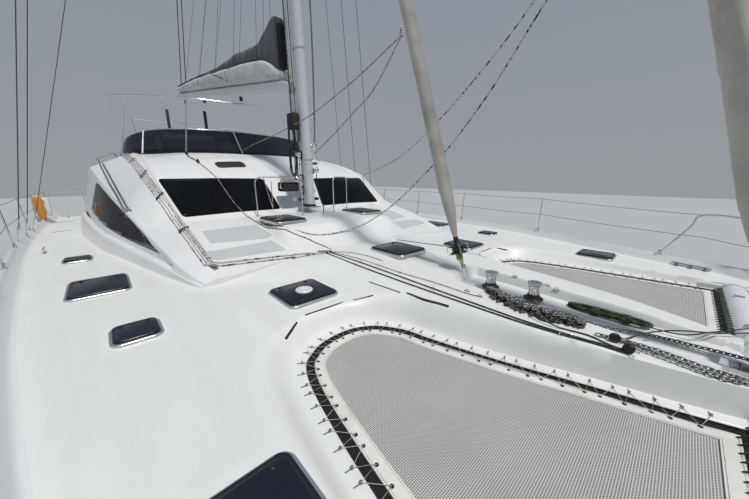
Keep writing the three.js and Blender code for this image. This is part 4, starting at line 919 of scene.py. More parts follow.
def bow_faces(build):
    """Inner walls of the bows and the stem plates of the deck moulding."""
    rows = []
    for x in np.linspace(7.0, BOW_X, 24):
        y, z = inner_y(x), deck_z(x)
        rows.append([(x, y + 0.012, z), (x, y + 0.004, z - 0.006), (x, y, z - 0.02), (x, y, JOINT_Z)])
    build.loft(rows, 1, False, False)
    y0, y1, z = inner_y(BOW_X), edge_y(BOW_X), deck_z(BOW_X)
    stem = [(y0, JOINT_Z), (y0, z - 0.02), (y0 + 0.012, z), (y1 - 0.02, z), (y1 + 0.02, z + 0.12),
            (y1 + 0.06, z + 0.13), (y1 + 0.115, z + 0.11), (y1 + 0.095, JOINT_Z)]
    plate(build, BOW_X, stem)


def plate(build, x, outline):
    """Flat face across the boat."""
    build.add([(x, *p) for p in outline], [range(len(outline))], 1)


def trough_front(build):
    """Front face of the walkway, above the crossbeam."""
    ys = np.linspace(0, 0.555, 14)
    top = [(WALK_X, y, ground(WALK_X, y)) for y in ys]
    build.loft([top, [(WALK_X, y, JOINT_Z) for y in ys]], 1, False, False)


def aft_deck(build):
    """Cockpit coaming, seats, the bench with its gates and the transom faces."""
    floor = JOINT_Z
    wall = [(CABIN_AFT_X, COCKPIT_Y), (AFT_X, COCKPIT_Y)]
    rows = [[(x, y, ground(x, y + 0.002)), (x, y, floor)] for x, y in resampled(wall, 0.15)]
    build.loft(rows, 1, False, False)
    build.box((-6.0, SEAT_Y, floor), (-4.6, COCKPIT_Y, floor + 0.43), 0.03, 1)
    build.box((AFT_X, 0, floor), (BENCH_X, 1.5, floor + 0.42), 0.025, 1)
    build.box((AFT_X, 1.48, floor), (BENCH_X, 2.36, floor + 0.06), 0.01, 1)
    edge = edge_y(AFT_X)
    z = deck_z(AFT_X)
    face = [(COCKPIT_Y, floor), (COCKPIT_Y, z), (edge - EDGE_IN, z), (edge + 0.06, z + 0.12),
            (edge + 0.12, z + 0.11), (edge + 0.095, floor)]
    plate(build, AFT_X, face)


def hatch_base(name, x, y, long, wide, z):
    """Pale alloy frame let into the deck, with its gasket."""
    build = Build()
    frame_levels = ((0.024, -0.03, 0.08), (0.024, 0.003, 0.08), (0.021, 0.009, 0.077), (0.016, 0.0125, 0.072),
                    (-0.012, 0.0125, 0.05), (-0.016, 0.0, 0.046), (-0.016, -0.05, 0.046))
    build.loft(stacked(x, y, z, long, wide, frame_levels), 0, caps=False)
    gasket = ((0.002, 0.0126), (0.002, 0.0165), (-0.014, 0.0165), (-0.014, 0.0126))
    build.loft(stacked(x, y, z, long, wide, [(*level, 0.055) for level in gasket]), 1, caps=False)
    return build.piece(name, "alloy rubber", slot="alloy", sharp=40)


def hatch_lid(stem, side, x, y, long, wide, z, vent=False):
    """Dark acrylic lid with a rounded edge and a raised border, hinge blocks and handles."""
    node_name = stem if side is None else f"{stem}_{side}"
    build = Build()
    base = z + 0.0126
    top = ((-0.004, 0.0), (0.0, 0.003), (0.0, 0.014), (-0.003, 0.018), (-0.008, 0.0198))
    build.loft(stacked(x, y, base, long, wide, [(grow, up, 0.055 + grow) for grow, up in top]))
    ridge = ((-0.016, 0.0199), (-0.017, 0.0206), (-0.028, 0.0206), (-0.029, 0.0199))
    build.loft(stacked(x, y, base, long, wide, [(*level, 0.05) for level in ridge]), 1, caps=False)
    hinge_x = x + long / 2 - 0.017
    knob = [(0, 0), (0.014, 0), (0.014, 0.004), (0.011, 0.006), (0, 0.006)]
    for k in (-1, 1):
        hy = y + k * wide * 0.3
        build.slab((hinge_x, hy, base), 0.013, 0.018, 0.012, 0.0225, 0.003, 1)
        gx = x - long / 2 + 0.05
        build.upright((gx, hy, base + 0.018), knob, 20, 1)
        build.box((gx - 0.004, hy - 0.022, base + 0.022), (gx + 0.004, hy + 0.008, base + 0.0265), 0.002, 1)
    if vent:
        spot = (x + 0.02, y, base + 0.0195)
        build.upright(spot, [(0, 0), (0.092, 0), (0.092, 0.012), (0.084, 0.02), (0.05, 0.026), (0.03, 0.02),
                                      (0, 0.019)], 36, 2)
        for i in range(8):
            turn = i * math.pi / 4
            px, py = spot[0] + 0.062 * math.cos(turn), spot[1] + 0.062 * math.sin(turn)
            build.upright((px, py, spot[2] + 0.02), [(0, 0), (0.008, 0), (0.006, 0.006), (0, 0.007)], 10, 1)
    return build.piece(node_name + "_acrylic", "acrylic black white_plastic", node_name,
                       slot="hatch_acrylic", stands_for=[node_name])


def make_hatches():
    for stem, x, y, long, wide, z in HATCHES:
        for side, k in SIDES:
            hatch_base(f"{stem}_frame_{side}", x, k * y, long, wide, z)
            vent = (stem, side) == ("foredeck_hatch", "starboard")
            hatch_lid(stem, side, x, k * y, long, wide, z, vent)
    stem, x, y, long, wide, z = CENTRE_HATCH
    hatch_base(stem + "_frame", x, y, long, wide, z)
    hatch_lid(stem, None, x, y, long, wide, z)


def make_cleats():
    build = Build()
    for x, y in CLEATS:
        z = ground(x, y)
        build.slab((x, y, z), 0.06, 0.028, -0.004, 0.012, 0.006)
        for dx in (-0.032, 0.032):
            build.upright(
                (x + dx, y, z + 0.008), [(0, 0), (0.017, 0), (0.011, 0.02), (0.011, 0.045), (0.015, 0.06)], 14
            )
        build.tube(
            [
                (x - 0.15, y, z + 0.078), (x - 0.12, y, z + 0.073), (x - 0.05, y, z + 0.07),
                (x + 0.05, y, z + 0.07), (x + 0.12, y, z + 0.073), (x + 0.15, y, z + 0.078)
            ],
            [0.006, 0.011, 0.014, 0.014, 0.011, 0.006], 12
        )
    build.mirrored()
    build.piece("deck_cleats", "steel", slot="stainless")


# Trampolines
GAP_WIDE = 0.075
HEM = 0.085
NET_FRONT_X = 7.15
NET_MIDDLE_Y = 1.7


def inset(distance):
    """The rim drawn in, closed by a straight front edge short of the crossbeam."""
    normal = rim_normals()
    line = RIM[:, :2] - normal * distance
    front = NET_FRONT_X - (distance - GAP_WIDE)
    low, high = line[line[:, 1] < NET_MIDDLE_Y], line[line[:, 1] >= NET_MIDDLE_Y]
    kept = [tuple(p) for half in (low, high) for p in half if p[0] <= front]
    return [(front, at_x(low, front)), *kept, (front, at_x(high, front))]


def at_x(line, x):
    order = np.argsort(line[:, 0])
    return float(np.interp(x, line[order, 0], line[order, 1]))


def net_sag(x, y, outline):
    """The net hangs a little below its edge, more towards its middle."""
    d = np.full(x.shape, 1e9)
    for (x0, y0), (x1, y1) in zip(outline, outline[1:] + outline[:1]):
        way = np.array([x1 - x0, y1 - y0])
        size = way @ way
        if size < 1e-12:
            continue
        t = np.clip(((x - x0) * way[0] + (y - y0) * way[1]) / size, 0, 1)
        d = np.minimum(d, np.hypot(x - x0 - t * way[0], y - y0 - t * way[1]))
    return -0.012 * np.clip(d / 0.7, 0, 1) ** 0.7


def net_panel(side, k):
    edge = inset(GAP_WIDE)
    line = resampled(edge + edge[:1], 0.04)[:-1]
    ring = [tuple(map(float, p)) for p in line]
    made, tris = filled(ring, np.arange(4.7, 7.2, 0.05), np.arange(0.4, 2.7, 0.05), inset(GAP_WIDE + 0.02))
    xy, tris = np.array([tuple(v) for v in made]), np.array(tris)
    z = NET_Z - 0.004 + net_sag(xy[:, 0], xy[:, 1], edge)
    build = Build().add([(px, k * py, pz) for (px, py), pz in zip(xy, z)], tris)
    obj = build.piece(f"net_{side}", "net", slot="netting", sharp=None, stands_for=[f"trampoline_{side}"])
    face_towards(obj.data, UP)
    a, b, c = (xy[tris[:, i]] for i in range(3))
    area = float(np.abs((b - a)[:, 0] * (c - a)[:, 1] - (b - a)[:, 1] * (c - a)[:, 0]).sum() / 2)
    width, length = np.ptp(xy[:, 1]), np.ptp(xy[:, 0])
    return obj, (float(width), float(length)), area


def net_hem(side, k):
    """Cream webbing round the net, doubled over the edge, with a stitched inner border."""
    outer, inner = (spline_plain(inset(d), 240) for d in (GAP_WIDE, GAP_WIDE + HEM))
    rings = []
    for p, q in zip(outer, inner):
        m = (np.array(p) + np.array(q)) / 2
        wob = 0.0016 * math.sin(p[0] * 37 + p[1] * 51)
        rings.append(
            [
                (p[0], k * p[1], NET_Z - 0.006), (p[0], k * p[1], NET_Z + 0.003 + wob),
                (m[0], k * m[1], NET_Z + 0.0045 + wob), (q[0], k * q[1], NET_Z + 0.0025),
                (q[0], k * q[1], NET_Z - 0.008), (m[0], k * m[1], NET_Z - 0.009)
            ]
        )
    build = Build()
    build.loft(rings, 0, caps=False)
    for share in (0.12, 0.88):
        seam = [tuple((np.array(p) * (1 - share) + np.array(q) * share)) for p, q in zip(outer, inner)]
        build.tube([(a, k * b, NET_Z + 0.0048) for a, b in seam], 0.0011, 5, 1, caps=False)
    return build.piece(f"net_hem_{side}", "hem lacing", slot="netting", sharp=60)


def spline_plain(points, count):
    """Evenly spread points on a closed polyline."""
    pts = np.array(list(points) + [points[0]], float)
    run = np.concatenate([[0], np.cumsum(np.linalg.norm(np.diff(pts, axis=0), axis=1))])
    at = np.linspace(0, run[-1], count)
    return list(zip(np.interp(at, run, pts[:, 0]), np.interp(at, run, pts[:, 1])))


HOOK = [(0, 0), (0.008, 0), (0.004, 0.004), (0.004, 0.014), (0.008, 0.017), (0, 0.02)]
EYELET = [(0.004, 0.004), (0.012, 0.004), (0.013, 0.002), (0.013, 0)]
# Distance between hooks, their distance from the rim and the one of the eyelets from the hem's edge
LACE_PITCH, HOOK_OUT, EYE_IN = 0.118, 0.022, 0.025
LACE_END_X = 7.05


def net_lacing(side, k):
    """Zig-zag lacing over the slot, deck hooks on the flange and eyelets in the hem."""
    lace, hooks = Build(), Build()
    normal = rim_normals()
    usable = [i for i in range(len(RIM)) if RIM[i][0] < LACE_END_X]
    run = [0.0]
    for a, b in zip(usable[:-1], usable[1:]):
        run.append(run[-1] + float(np.linalg.norm(RIM[b][:2] - RIM[a][:2])))
    count = int(run[-1] / LACE_PITCH)
    line = []
    for i in range(count + 1):
        at = i * run[-1] / count
        j = min(int(np.searchsorted(run, at)), len(usable) - 1)
        p, n = RIM[usable[j]][:2], normal[usable[j]]
        half = at + run[-1] / count / 2
        j2 = min(int(np.searchsorted(run, half)), len(usable) - 1)
        p2, n2 = RIM[usable[j2]][:2], normal[usable[j2]]
        hook = p + n * HOOK_OUT
        eye = p2 - n2 * (GAP_WIDE + EYE_IN)
        line.append((hook[0], k * hook[1], NET_Z + 0.024))
        line.append((eye[0], k * eye[1], NET_Z + 0.008))
        post = Vector((hook[0], k * hook[1], NET_Z + 0.016))
        hooks.upright(post, HOOK, 10)
        tip = p + n * 0.062
        hooks.tube([post + Vector((0, 0, 0.004)), (tip[0], k * tip[1], NET_Z + 0.019)], 0.0032, 6)
        hooks.upright((eye[0], k * eye[1], NET_Z + 0.002), EYELET, 14, 1)
    lace.tube(line, 0.0026, 6)
    lace.piece(f"net_lacing_{side}", "lacing", slot="white_rope", sharp=None)
    hooks.piece(f"net_hooks_{side}", "dull black", slot="stainless")


# Ends of the lashing from the centreline, and the distance between its turns
LASHING_Y, LASHING_PITCH = (0.62, 2.52), 0.07


def net_front(side, k):
    """Lashing of the net's front edge to the crossbeam, over the black band of painted shade in the slot."""
    build = Build()
    y0, y1 = LASHING_Y
    count = int((y1 - y0) / LASHING_PITCH)
    line = []
    for i in range(count):
        y = y0 + (y1 - y0) * i / (count - 1)
        line.append((NET_FRONT_X - 0.02, k * y, NET_Z + 0.008))
        line.append((7.25, k * (y + 0.03), NET_Z + 0.095))
    build.tube(line, 0.004, 6)
    build.piece(f"net_front_lashing_{side}", "dark_rope", slot="dark_rope", sharp=None)


def net_slot_shade(side, k):
    """Near-black band below the slot between the rim and the hem: painted shade for the dark seen down
    through the slot.
    """
    outer, inner = spline_plain(inset(0.002), 200), spline_plain(inset(GAP_WIDE + 0.02), 200)
    top, low = NET_Z - 0.0065, NET_Z - 0.0095
    rings = [[(p[0], k * p[1], top), (q[0], k * q[1], top), (q[0], k * q[1], low), (p[0], k * p[1], low)]
             for p, q in zip(outer, inner)]
    build = Build()
    build.loft(rings, 0, caps=False)
    return build.piece(f"net_slot_shade_{side}", "slot", slot="rubber", sharp=60)


def make_nets():
    for side, k in SIDES:
        net, flat, area = net_panel(side, k)
        hem = net_hem(side, k)
        slot_shade_band = net_slot_shade(side, k)
        net_lacing(side, k)
        net_front(side, k)


# Coachroof: x, then y and z of the centre, the middle panel's edge, its foot, the valley,
# the wing's ridge, the wing's outer edge and the top of the base step
ROOF = [
    (3.1, 0, 1.985, 1.12, 1.965, 1.25, 1.955, 2.12, 1.885, 2.3, 1.885, 2.41, 1.85, 2.445, 1.824),
    (2.87, 0, 2.07, 1.13, 2.05, 1.27, 2.01, 2.15, 1.955, 2.29, 1.985, 2.495, 1.915, 2.53, 1.855),
    (2.55, 0, 2.29, 1.15, 2.27, 1.3, 2.075, 2.18, 2.03, 2.32, 2.09, 2.562, 1.98, 2.61, 1.885),
    (2.25, 0, 2.325, 1.15, 2.31, 1.31, 2.15, 2.2, 2.11, 2.33, 2.195, 2.605, 2.055, 2.67, 1.912),
    (1.25, 0, 2.345, 0.48, 2.345, 1.35, 2.345, 2.22, 2.35, 2.32, 2.44, 2.725, 2.245, 2.875, 1.955),
    (1.13, 0, 2.405, 0.47, 2.405, 1.35, 2.415, 2.235, 2.43, 2.325, 2.52, 2.739, 2.28, 2.905, 1.962),
    (0.58, 0, 3.05, 0.55, 3.05, 1.4, 2.985, 2.32, 2.8, 2.39, 2.89, 2.82, 2.43, 3.018, 1.99),
    (0.2, 0, 3.225, 0.9, 3.21, 1.5, 3.165, 2.37, 3.05, 2.43, 3.12, 2.872, 2.545, 3.11, 2.015),
    (-0.3, 0, 3.44, 1, 3.42, 1.6, 3.375, 2.36, 3.22, 2.43, 3.265, 2.941, 2.7, 3.219, 2.045),
    (-0.9, 0, 3.58, 1, 3.57, 1.6, 3.53, 2.34, 3.38, 2.42, 3.41, 3.026, 2.87, 3.304, 2.08),
    (-1.6, 0, 3.62, 1, 3.615, 1.6, 3.59, 2.32, 3.5, 2.4, 3.53, 3.095, 3.065, 3.379, 2.12),
    (-2.45, 0, 3.62, 1, 3.62, 1.6, 3.612, 2.3, 3.59, 2.375, 3.615, 3.171, 3.26, 3.455, 2.16),
    (-3.7, 0, 3.6, 1, 3.6, 1.6, 3.59, 2.35, 3.56, 2.45, 3.565, 3.218, 3.2, 3.526, 2.16),
]
ROOF_WALL = 0.05
FRONT_WINDOW = [(0.49, 2.415), (1.35, 2.42), (2.195, 2.405), (2.335, 3.01), (1.48, 3.02), (0.6, 3.01)]
SIDE_WINDOW = [
    (-2.05, 2.33), (-0.6, 2.17), (0.26, 2.09), (1.2, 2.035), (1.96, 2.025), (1.34, 2.18), (0.3, 2.465),
    (-0.68, 2.74), (-1.3, 2.895), (-1.6, 2.93)
]


def filleted(points, sizes, steps=4, closed=False):
    """Outline with each corner replaced by a short curve."""
    pts = [np.array(p, float) for p in points]
    count = len(pts)
    out = []
    for i, p in enumerate(pts):
        size = sizes[i] if hasattr(sizes, "__len__") else sizes
        if not closed and i in (0, count - 1):
            out.append(p)
            continue
        a, b = pts[i - 1], pts[(i + 1) % count]
        d = min(size, 0.45 * np.linalg.norm(a - p), 0.45 * np.linalg.norm(b - p))
        p0 = p + (a - p) / max(np.linalg.norm(a - p), 1e-9) * d
        p2 = p + (b - p) / max(np.linalg.norm(b - p), 1e-9) * d
        for k in range(steps + 1):
            t = k / steps
            out.append(p0 * (1 - t) ** 2 + 2 * p * t * (1 - t) + p2 * t * t)
    return out


def blended(x):
    """One row of the table, eased over a few centimetres so that no crease is left."""
    xs = [r[0] for r in ROOF][::-1]
    soft = 0.09 if x < 0.9 else 0.035
    row = []
    for k in range(1, 15):
        column = [r[k] for r in ROOF][::-1]
        row.append(sum(np.interp(x + d * soft, xs, column) for d in SHIFTS) / len(SHIFTS))
    return row


def roof_ring(x, inset=0.0):
    row = blended(x)
    half = [(row[2 * i], row[2 * i + 1]) for i in range(7)]
    base = base_y(min(x, CABIN_X))
    low = deck_z(x) + 0.004
    if inset:
        half = [(max(y - (inset if i else 0), 0), z - inset) for i, (y, z) in enumerate(half)]
        half[4] = (half[4][0], half[3][1] - 0.01)
        half += [(base - inset, low - 0.03), (base - inset, 1.0)]
        port = half
        sizes = (0, 0.12, 0.08, 0.02, 0.02, 0.02, 0.02, 0.01, 0)
    else:
        y5, z5 = half[5]
        y6, z6 = half[6]
        lip = (y5 + 0.012, z5 - 0.03)
        ledge = (y6 - 0.075, z6 + 0.012) if z5 - z6 > 0.12 else (y6 - 0.012, z6 + 0.004)
        port = half[:6] + [
            lip, ledge, (y6, z6), (base, low + 0.02), (base + 0.012, low - 0.01), (base, JOINT_Z + 0.001)
        ]
        sizes = (0, 0.18, 0.12, 0.05, 0.035, 0.02, 0.01, 0.03, 0.035, 0.02, 0.008, 0)
    port = filleted(port, sizes)
    return [(x, y, z) for y, z in port] + [(x, -y, z) for y, z in reversed(port[1:])]


def roof_stations():
    xs = list(np.linspace(3.1, 2.1, 26)) + list(np.linspace(2.0, 1.32, 8)) + list(np.linspace(1.3, 1.0, 14))
    return xs + list(np.linspace(0.95, -1.0, 40)) + list(np.linspace(-1.1, -3.7, 24))


def plain_mesh(verts, faces):
    data = bpy.data.meshes.new("tool")
    data.from_pydata([tuple(v) for v in verts], [], faces)
    reworked(data, lambda bm: bmesh.ops.recalc_face_normals(bm, faces=bm.faces))
    return data


def tool_object(parts):
    obj = bpy.data.objects.new("tool", plain_mesh(*parts))
    scene.collection.objects.link(obj)
    return obj


def carved(parts, tools):
    """Mesh of a closed body less the tools."""
    body = tool_object(parts)
    made = [tool_object(t) for t in tools]
    for tool in made:
        cut = body.modifiers.new("cut", "BOOLEAN")
        cut.operation = "DIFFERENCE"
        cut.solver = "EXACT"
        cut.object = tool
    depsgraph = bpy.context.evaluated_depsgraph_get()
    data = bpy.data.meshes.new_from_object(body.evaluated_get(depsgraph))
    for obj in [body, *made]:
        mesh = obj.data
        bpy.data.objects.remove(obj)
        bpy.data.meshes.remove(mesh)
    data.materials.clear()
    return data


def drawn_in(outline, by):
    """The outline with each point moved towards its middle."""
    middle = np.mean(np.array(outline), axis=0)
    return [tuple(p - (p - middle) / np.linalg.norm(p - middle) * by) for p in np.array(outline)]


def window_outline(outline, shrink=0.0):
    return filleted(drawn_in(outline, shrink), 0.06, 6, closed=True)


def front_tool(k):
    line = [(k * y, z) for y, z in window_outline(FRONT_WINDOW)]
    return loft_parts([[(x, y, z) for y, z in line] for x in (0.12, 1.3)])


def side_tool(k):
    line = window_outline(SIDE_WINDOW)
    return loft_parts([[(x, k * y, z) for x, z in line] for y in (2.4, 3.7)])


def pane(name, outline, place, cast, tree):
    """Glass cut to an outline and laid on the shell by casting rays at it."""
    ring = [tuple(p) for p in outline]
    (x0, y0), (x1, y1) = np.min(ring, axis=0), np.max(ring, axis=0)
    points, faces = filled(ring, np.arange(x0, x1, 0.07), np.arange(y0, y1, 0.07), drawn_in(ring, 0.02))
    verts = []
    for p in points:
        hit, normal, _, _ = tree.ray_cast(Vector(place(p.x, p.y)), Vector(cast))
        verts.append(hit - normal * 0.003 if hit else Vector(place(p.x, p.y)))
    obj = add_mesh(name, verts, faces, "glass", slot="tinted_glass", sharp=None, stands_for=[name])
    face_towards(obj.data, -Vector(cast))
    thick = obj.modifiers.new("thick", "SOLIDIFY")
    thick.thickness = 0.008
    thick.offset = -1


def make_roof():
    rings = [roof_ring(x) for x in roof_stations()]
    outer = loft_parts(rings)
    inner = loft_parts([
        [(px - ROOF_WALL, py, pz) for px, py, pz in roof_ring(x, ROOF_WALL)]
        for x in np.linspace(1.13, -3.65 + ROOF_WALL, 40)
    ])
    door = box_parts((-3.75, -0.42, 1.0), (-3.6, 0.42, 3.3), 0)
    data = carved(outer, [inner, front_tool(1), front_tool(-1), side_tool(1), side_tool(-1), door])
    finish_object("coachroof", data, "gelcoat", sharp=30, slot="gelcoat", stands_for=["coachroof"])
    shell = plain_mesh(*outer)
    bm = bmesh.new()
    bm.from_mesh(shell)
    tree = BVHTree.FromBMesh(bm)
    bm.free()
    for side, k in SIDES:
        front = [(k * y, z) for y, z in window_outline(FRONT_WINDOW, 0.002)]
        pane(f"front_window_{side}", front, lambda a, b: (4.0, a, b), (-1, 0, 0), tree)
        beside = window_outline(SIDE_WINDOW, 0.002)
        pane(f"side_window_{side}", beside, lambda a, b, k=k: (a, k * 5, b), (0, -k, 0), tree)
    bpy.data.meshes.remove(shell)
    return tree


def on_roof(tree, x, y, lift=0.0):
    hit, normal, _, _ = tree.ray_cast(Vector((x, y, 6)), -UP)
    return hit + normal * lift if hit else Vector((x, y, 2))


def draped_patch(build, tree, corners, lift, thick, mat=0, steps=(10, 6)):
    """Thin pad between four plan corners, lying on the roof."""
    a, b, c, d = (np.array(p, float) for p in corners)
    rows = []
    for i in range(steps[0] + 1):
        s = i / steps[0]
        top = []
        for j in range(steps[1] + 1):
            t = j / steps[1]
            x, y = (a * (1 - s) + b * s) * (1 - t) + (d * (1 - s) + c * s) * t
            top.append(tuple(on_roof(tree, x, y, lift)))
        low = [(p[0], p[1], p[2] - thick) for p in reversed(top)]
        rows.append(top + low)
    build.loft(rows, mat)


# Non-skid treads on the apron, and the twin grab rails and hoop on each wing
TREADS = [
    ((1.75, 1.28), (1.72, 2.08), (2.19, 2.09), (2.38, 1.27)),
    ((2.46, 1.34), (2.42, 2.2), (2.66, 2.24), (2.84, 1.28))
]
GRAB_RAIL = [(-2.34, 2.99), (-0.935, 2.93), (-0.14, 2.87), (0.43, 2.83)]
GRAB_RAIL_IN = [(-2.24, 2.94), (-0.9, 2.878), (-0.06, 2.825), (0.52, 2.782)]
GRAB_HOOP = [(-2.72, 2.98), (-2.72, 2.66)]
ROOF_VENT = (0.0, 1.0, 0.14, 0.285)


def raised_bar(build, tree, line, k, lift, radius, steps=30):
    """Round bar on two bent feet, held off the roof."""
    ends = [on_roof(tree, line[0][0], k * line[0][1]), on_roof(tree, line[-1][0], k * line[-1][1])]
    middle = [on_roof(tree, x, k * y, lift) for x, y in spline(line, 10)]
    middle[0] = middle[0].lerp(middle[1], 0.25)
    middle[-1] = middle[-1].lerp(middle[-2], 0.25)
    build.tube(spline([tuple(p) for p in [ends[0], *middle, ends[1]]], steps), radius, 8)


def make_roof_details(tree):
    pads = Build()
    for k in (-1, 1):
        for tread in TREADS:
            draped_patch(pads, tree, [(x, k * y) for x, y in tread], 0.004, 0.01, 0)
    pads.piece("apron_treads", "step", slot="nonskid_grey", sharp=40)
    build = Build()
    for k in (-1, 1):
        raised_bar(build, tree, GRAB_RAIL, k, 0.045, 0.0095)
        raised_bar(build, tree, GRAB_RAIL_IN, k, 0.045, 0.0095)
        raised_bar(build, tree, GRAB_HOOP, k, 0.12, 0.011, 20)
    build.piece("wing_grab_rails", "dull", slot="stainless")
    hatch = Build()
    x, y, long, wide = ROOF_VENT
    spot, normal, _, _ = tree.ray_cast(Vector((x, -y, 6)), -UP)
    turn = UP.rotation_difference(normal).to_matrix()
    rings = []
    for lift, grow in ((-0.02, 1.0), (0.01, 1.0), (0.02, 0.94), (0.023, 0.8)):
        outline = rounded_box(long * 2 * grow, wide * 2 * grow, 0.08 * grow)
        rings.append([tuple(spot + turn @ Vector((px, py, lift))) for px, py in outline])
    hatch.loft(rings)
    hatch.piece("roof_vent_hatch", "black", slot="black_fitting")


# Rig
MAST_FOOT = (1.4, 2.44)
MAST_RAKE = 0.0295
MAST_TOP = 24.0
MAST_SLIM = 0.9
GOOSENECK_Z = 4.7
BOOM_SWING = math.radians(6)
CAP_SHROUD = (-1.32, 4.31, 1.905, 23.0)
SECOND_SHROUD = (-2.2, 4.31, 1.905, 21.8)
RUNNER = (-3.05, 4.31, 1.905, 15.3)
GENOA = ((7.35, 0, 1.8), 23.5, 0.105, 0.055)
STAYSAIL = ((4.95, 0, 1.925), 13.2, 0.085, 0.045)


def mast_x(z):
    return MAST_FOOT[0] - (z - MAST_FOOT[1]) * MAST_RAKE


BOOM_PIVOT = mast_x(GOOSENECK_Z) - 0.265
BOOM_RISE = 0.13


def mast_section(z, size=1.0, grow=0.0):
    size *= MAST_SLIM
    nose = [(0.17, 0), (0.15, 0.055), (0.09, 0.092), (-0.02, 0.1), (-0.12, 0.08), (-0.17, 0.035)]
    outline = nose + [(x, -y) for x, y in reversed(nose[1:])]
    ring = filleted(outline, 0.04, 3, closed=True)
    return [(mast_x(z) + px * (size + grow), py * (size + grow), z) for px, py in ring]


def make_mast():
    build = Build()
    zs = [2.44, 2.47, 5, 8, 12, 16, 20.5, 22.5, MAST_TOP]
    build.loft([mast_section(z, 1.0 if z <= 20.5 else 1 - 0.28 * (z - 20.5) / 3.5) for z in zs])
    for mat, levels in ((1, ((2.44, 0.34), (2.452, 0.36), (2.462, 0.34), (2.47, 0.1))),
                        (2, ((2.471, 0.12), (2.5, 0.12), (2.506, 0.1)))):
        build.loft([mast_section(z, 1.0, grow) for z, grow in levels], mat)
    build.box((1.4 - 0.21, -0.15, 2.441), (1.4 + 0.21, 0.15, 2.455), 0.004, 1)
    corners = ((-1, -1), (1, -1), (1, 1), (-1, 1))
    build.loft(
        [[(mast_x(z) - 0.178 + 0.012 * a, 0.016 * b, z) for a, b in corners] for z in (2.9, 8, 14, 20.5)], 2
    )
    for z, half, sweep in ((9.3, 1.15, 0.42), (15.8, 1.0, 0.38)):
        x = mast_x(z)
        root = wing_section(x, 0, z, 0.075, 0.018)
        for k in (-1, 1):
            build.loft([root, wing_section(x - sweep, k * half, z + 0.06, 0.036, 0.012)])
    for z, half in ((4.61, 0.035), (4.63, 0.03)):
        x = mast_x(z) - 0.17
        build.box((x - 0.13, -half, z), (x + 0.04, half, z + 0.03), 0.006, 1)
    for line in (CAP_SHROUD, SECOND_SHROUD, RUNNER):
        x, z = mast_x(line[3]) - 0.05, line[3]
        build.box((x - 0.025, -0.16, z - 0.035), (x + 0.025, 0.16, z + 0.035), 0.008, 1)
    for line in (GENOA, STAYSAIL):
        z = line[1]
        x = mast_x(z) + 0.17
        build.box((x - 0.06, -0.014, z - 0.035), (x + 0.082, 0.014, z + 0.035), 0.004, 1)
    build.box((mast_x(24) - 0.17, -0.045, 23.88), (mast_x(24) + 0.19, 0.045, 24.0), 0.01, 1)
    for z in (3.35, 5.3, 7.4):
        build.loft(
            [mast_section(z + d, 1.0, g) for d, g in ((0, 0.0), (0, 0.035), (0.03, 0.035), (0.03, 0.0))], 1
        )
    build.piece("mast_tube", "spar alloy black", sharp=40, slot="spar_paint", stands_for=["mast"])


def wing_section(x, y, z, long, thick):
    turns = [2 * math.pi * i / 14 for i in range(14)]
    return [(x + long * math.cos(t), y, z + thick * math.sin(t)) for t in turns]


def winch(build, base, way):
    r = 0.055
    drum = [(0, 0), (r * 1.25, 0), (r * 1.3, 0.012), (r * 0.95, 0.02), (r * 0.8, 0.045), (r * 0.78, 0.07),
            (r * 0.95, 0.1), (r * 1.12, 0.115)]
    build.lathe(base, way, drum)
    top = Vector(base) + Vector(way).normalized() * drum[-1][1]
    build.lathe(top, way, [(r * 1.12, 0), (r * 1.05, 0.012), (r * 0.5, 0.02), (0, 0.02)], 24, 1)


# Side and height of the rope clutches on the mast
MAST_CLUTCHES = ((-0.118, 3.8), (-0.122, 3.88), (0.118, 3.95), (-0.118, 2.78), (0.118, 2.8))
# Side, height and shift aft of the winches
MAST_WINCHES = ((1, 3.16, 0.0), (1, 3.62, -0.03), (-1, 3.02, -0.06), (-1, 3.46, -0.05))


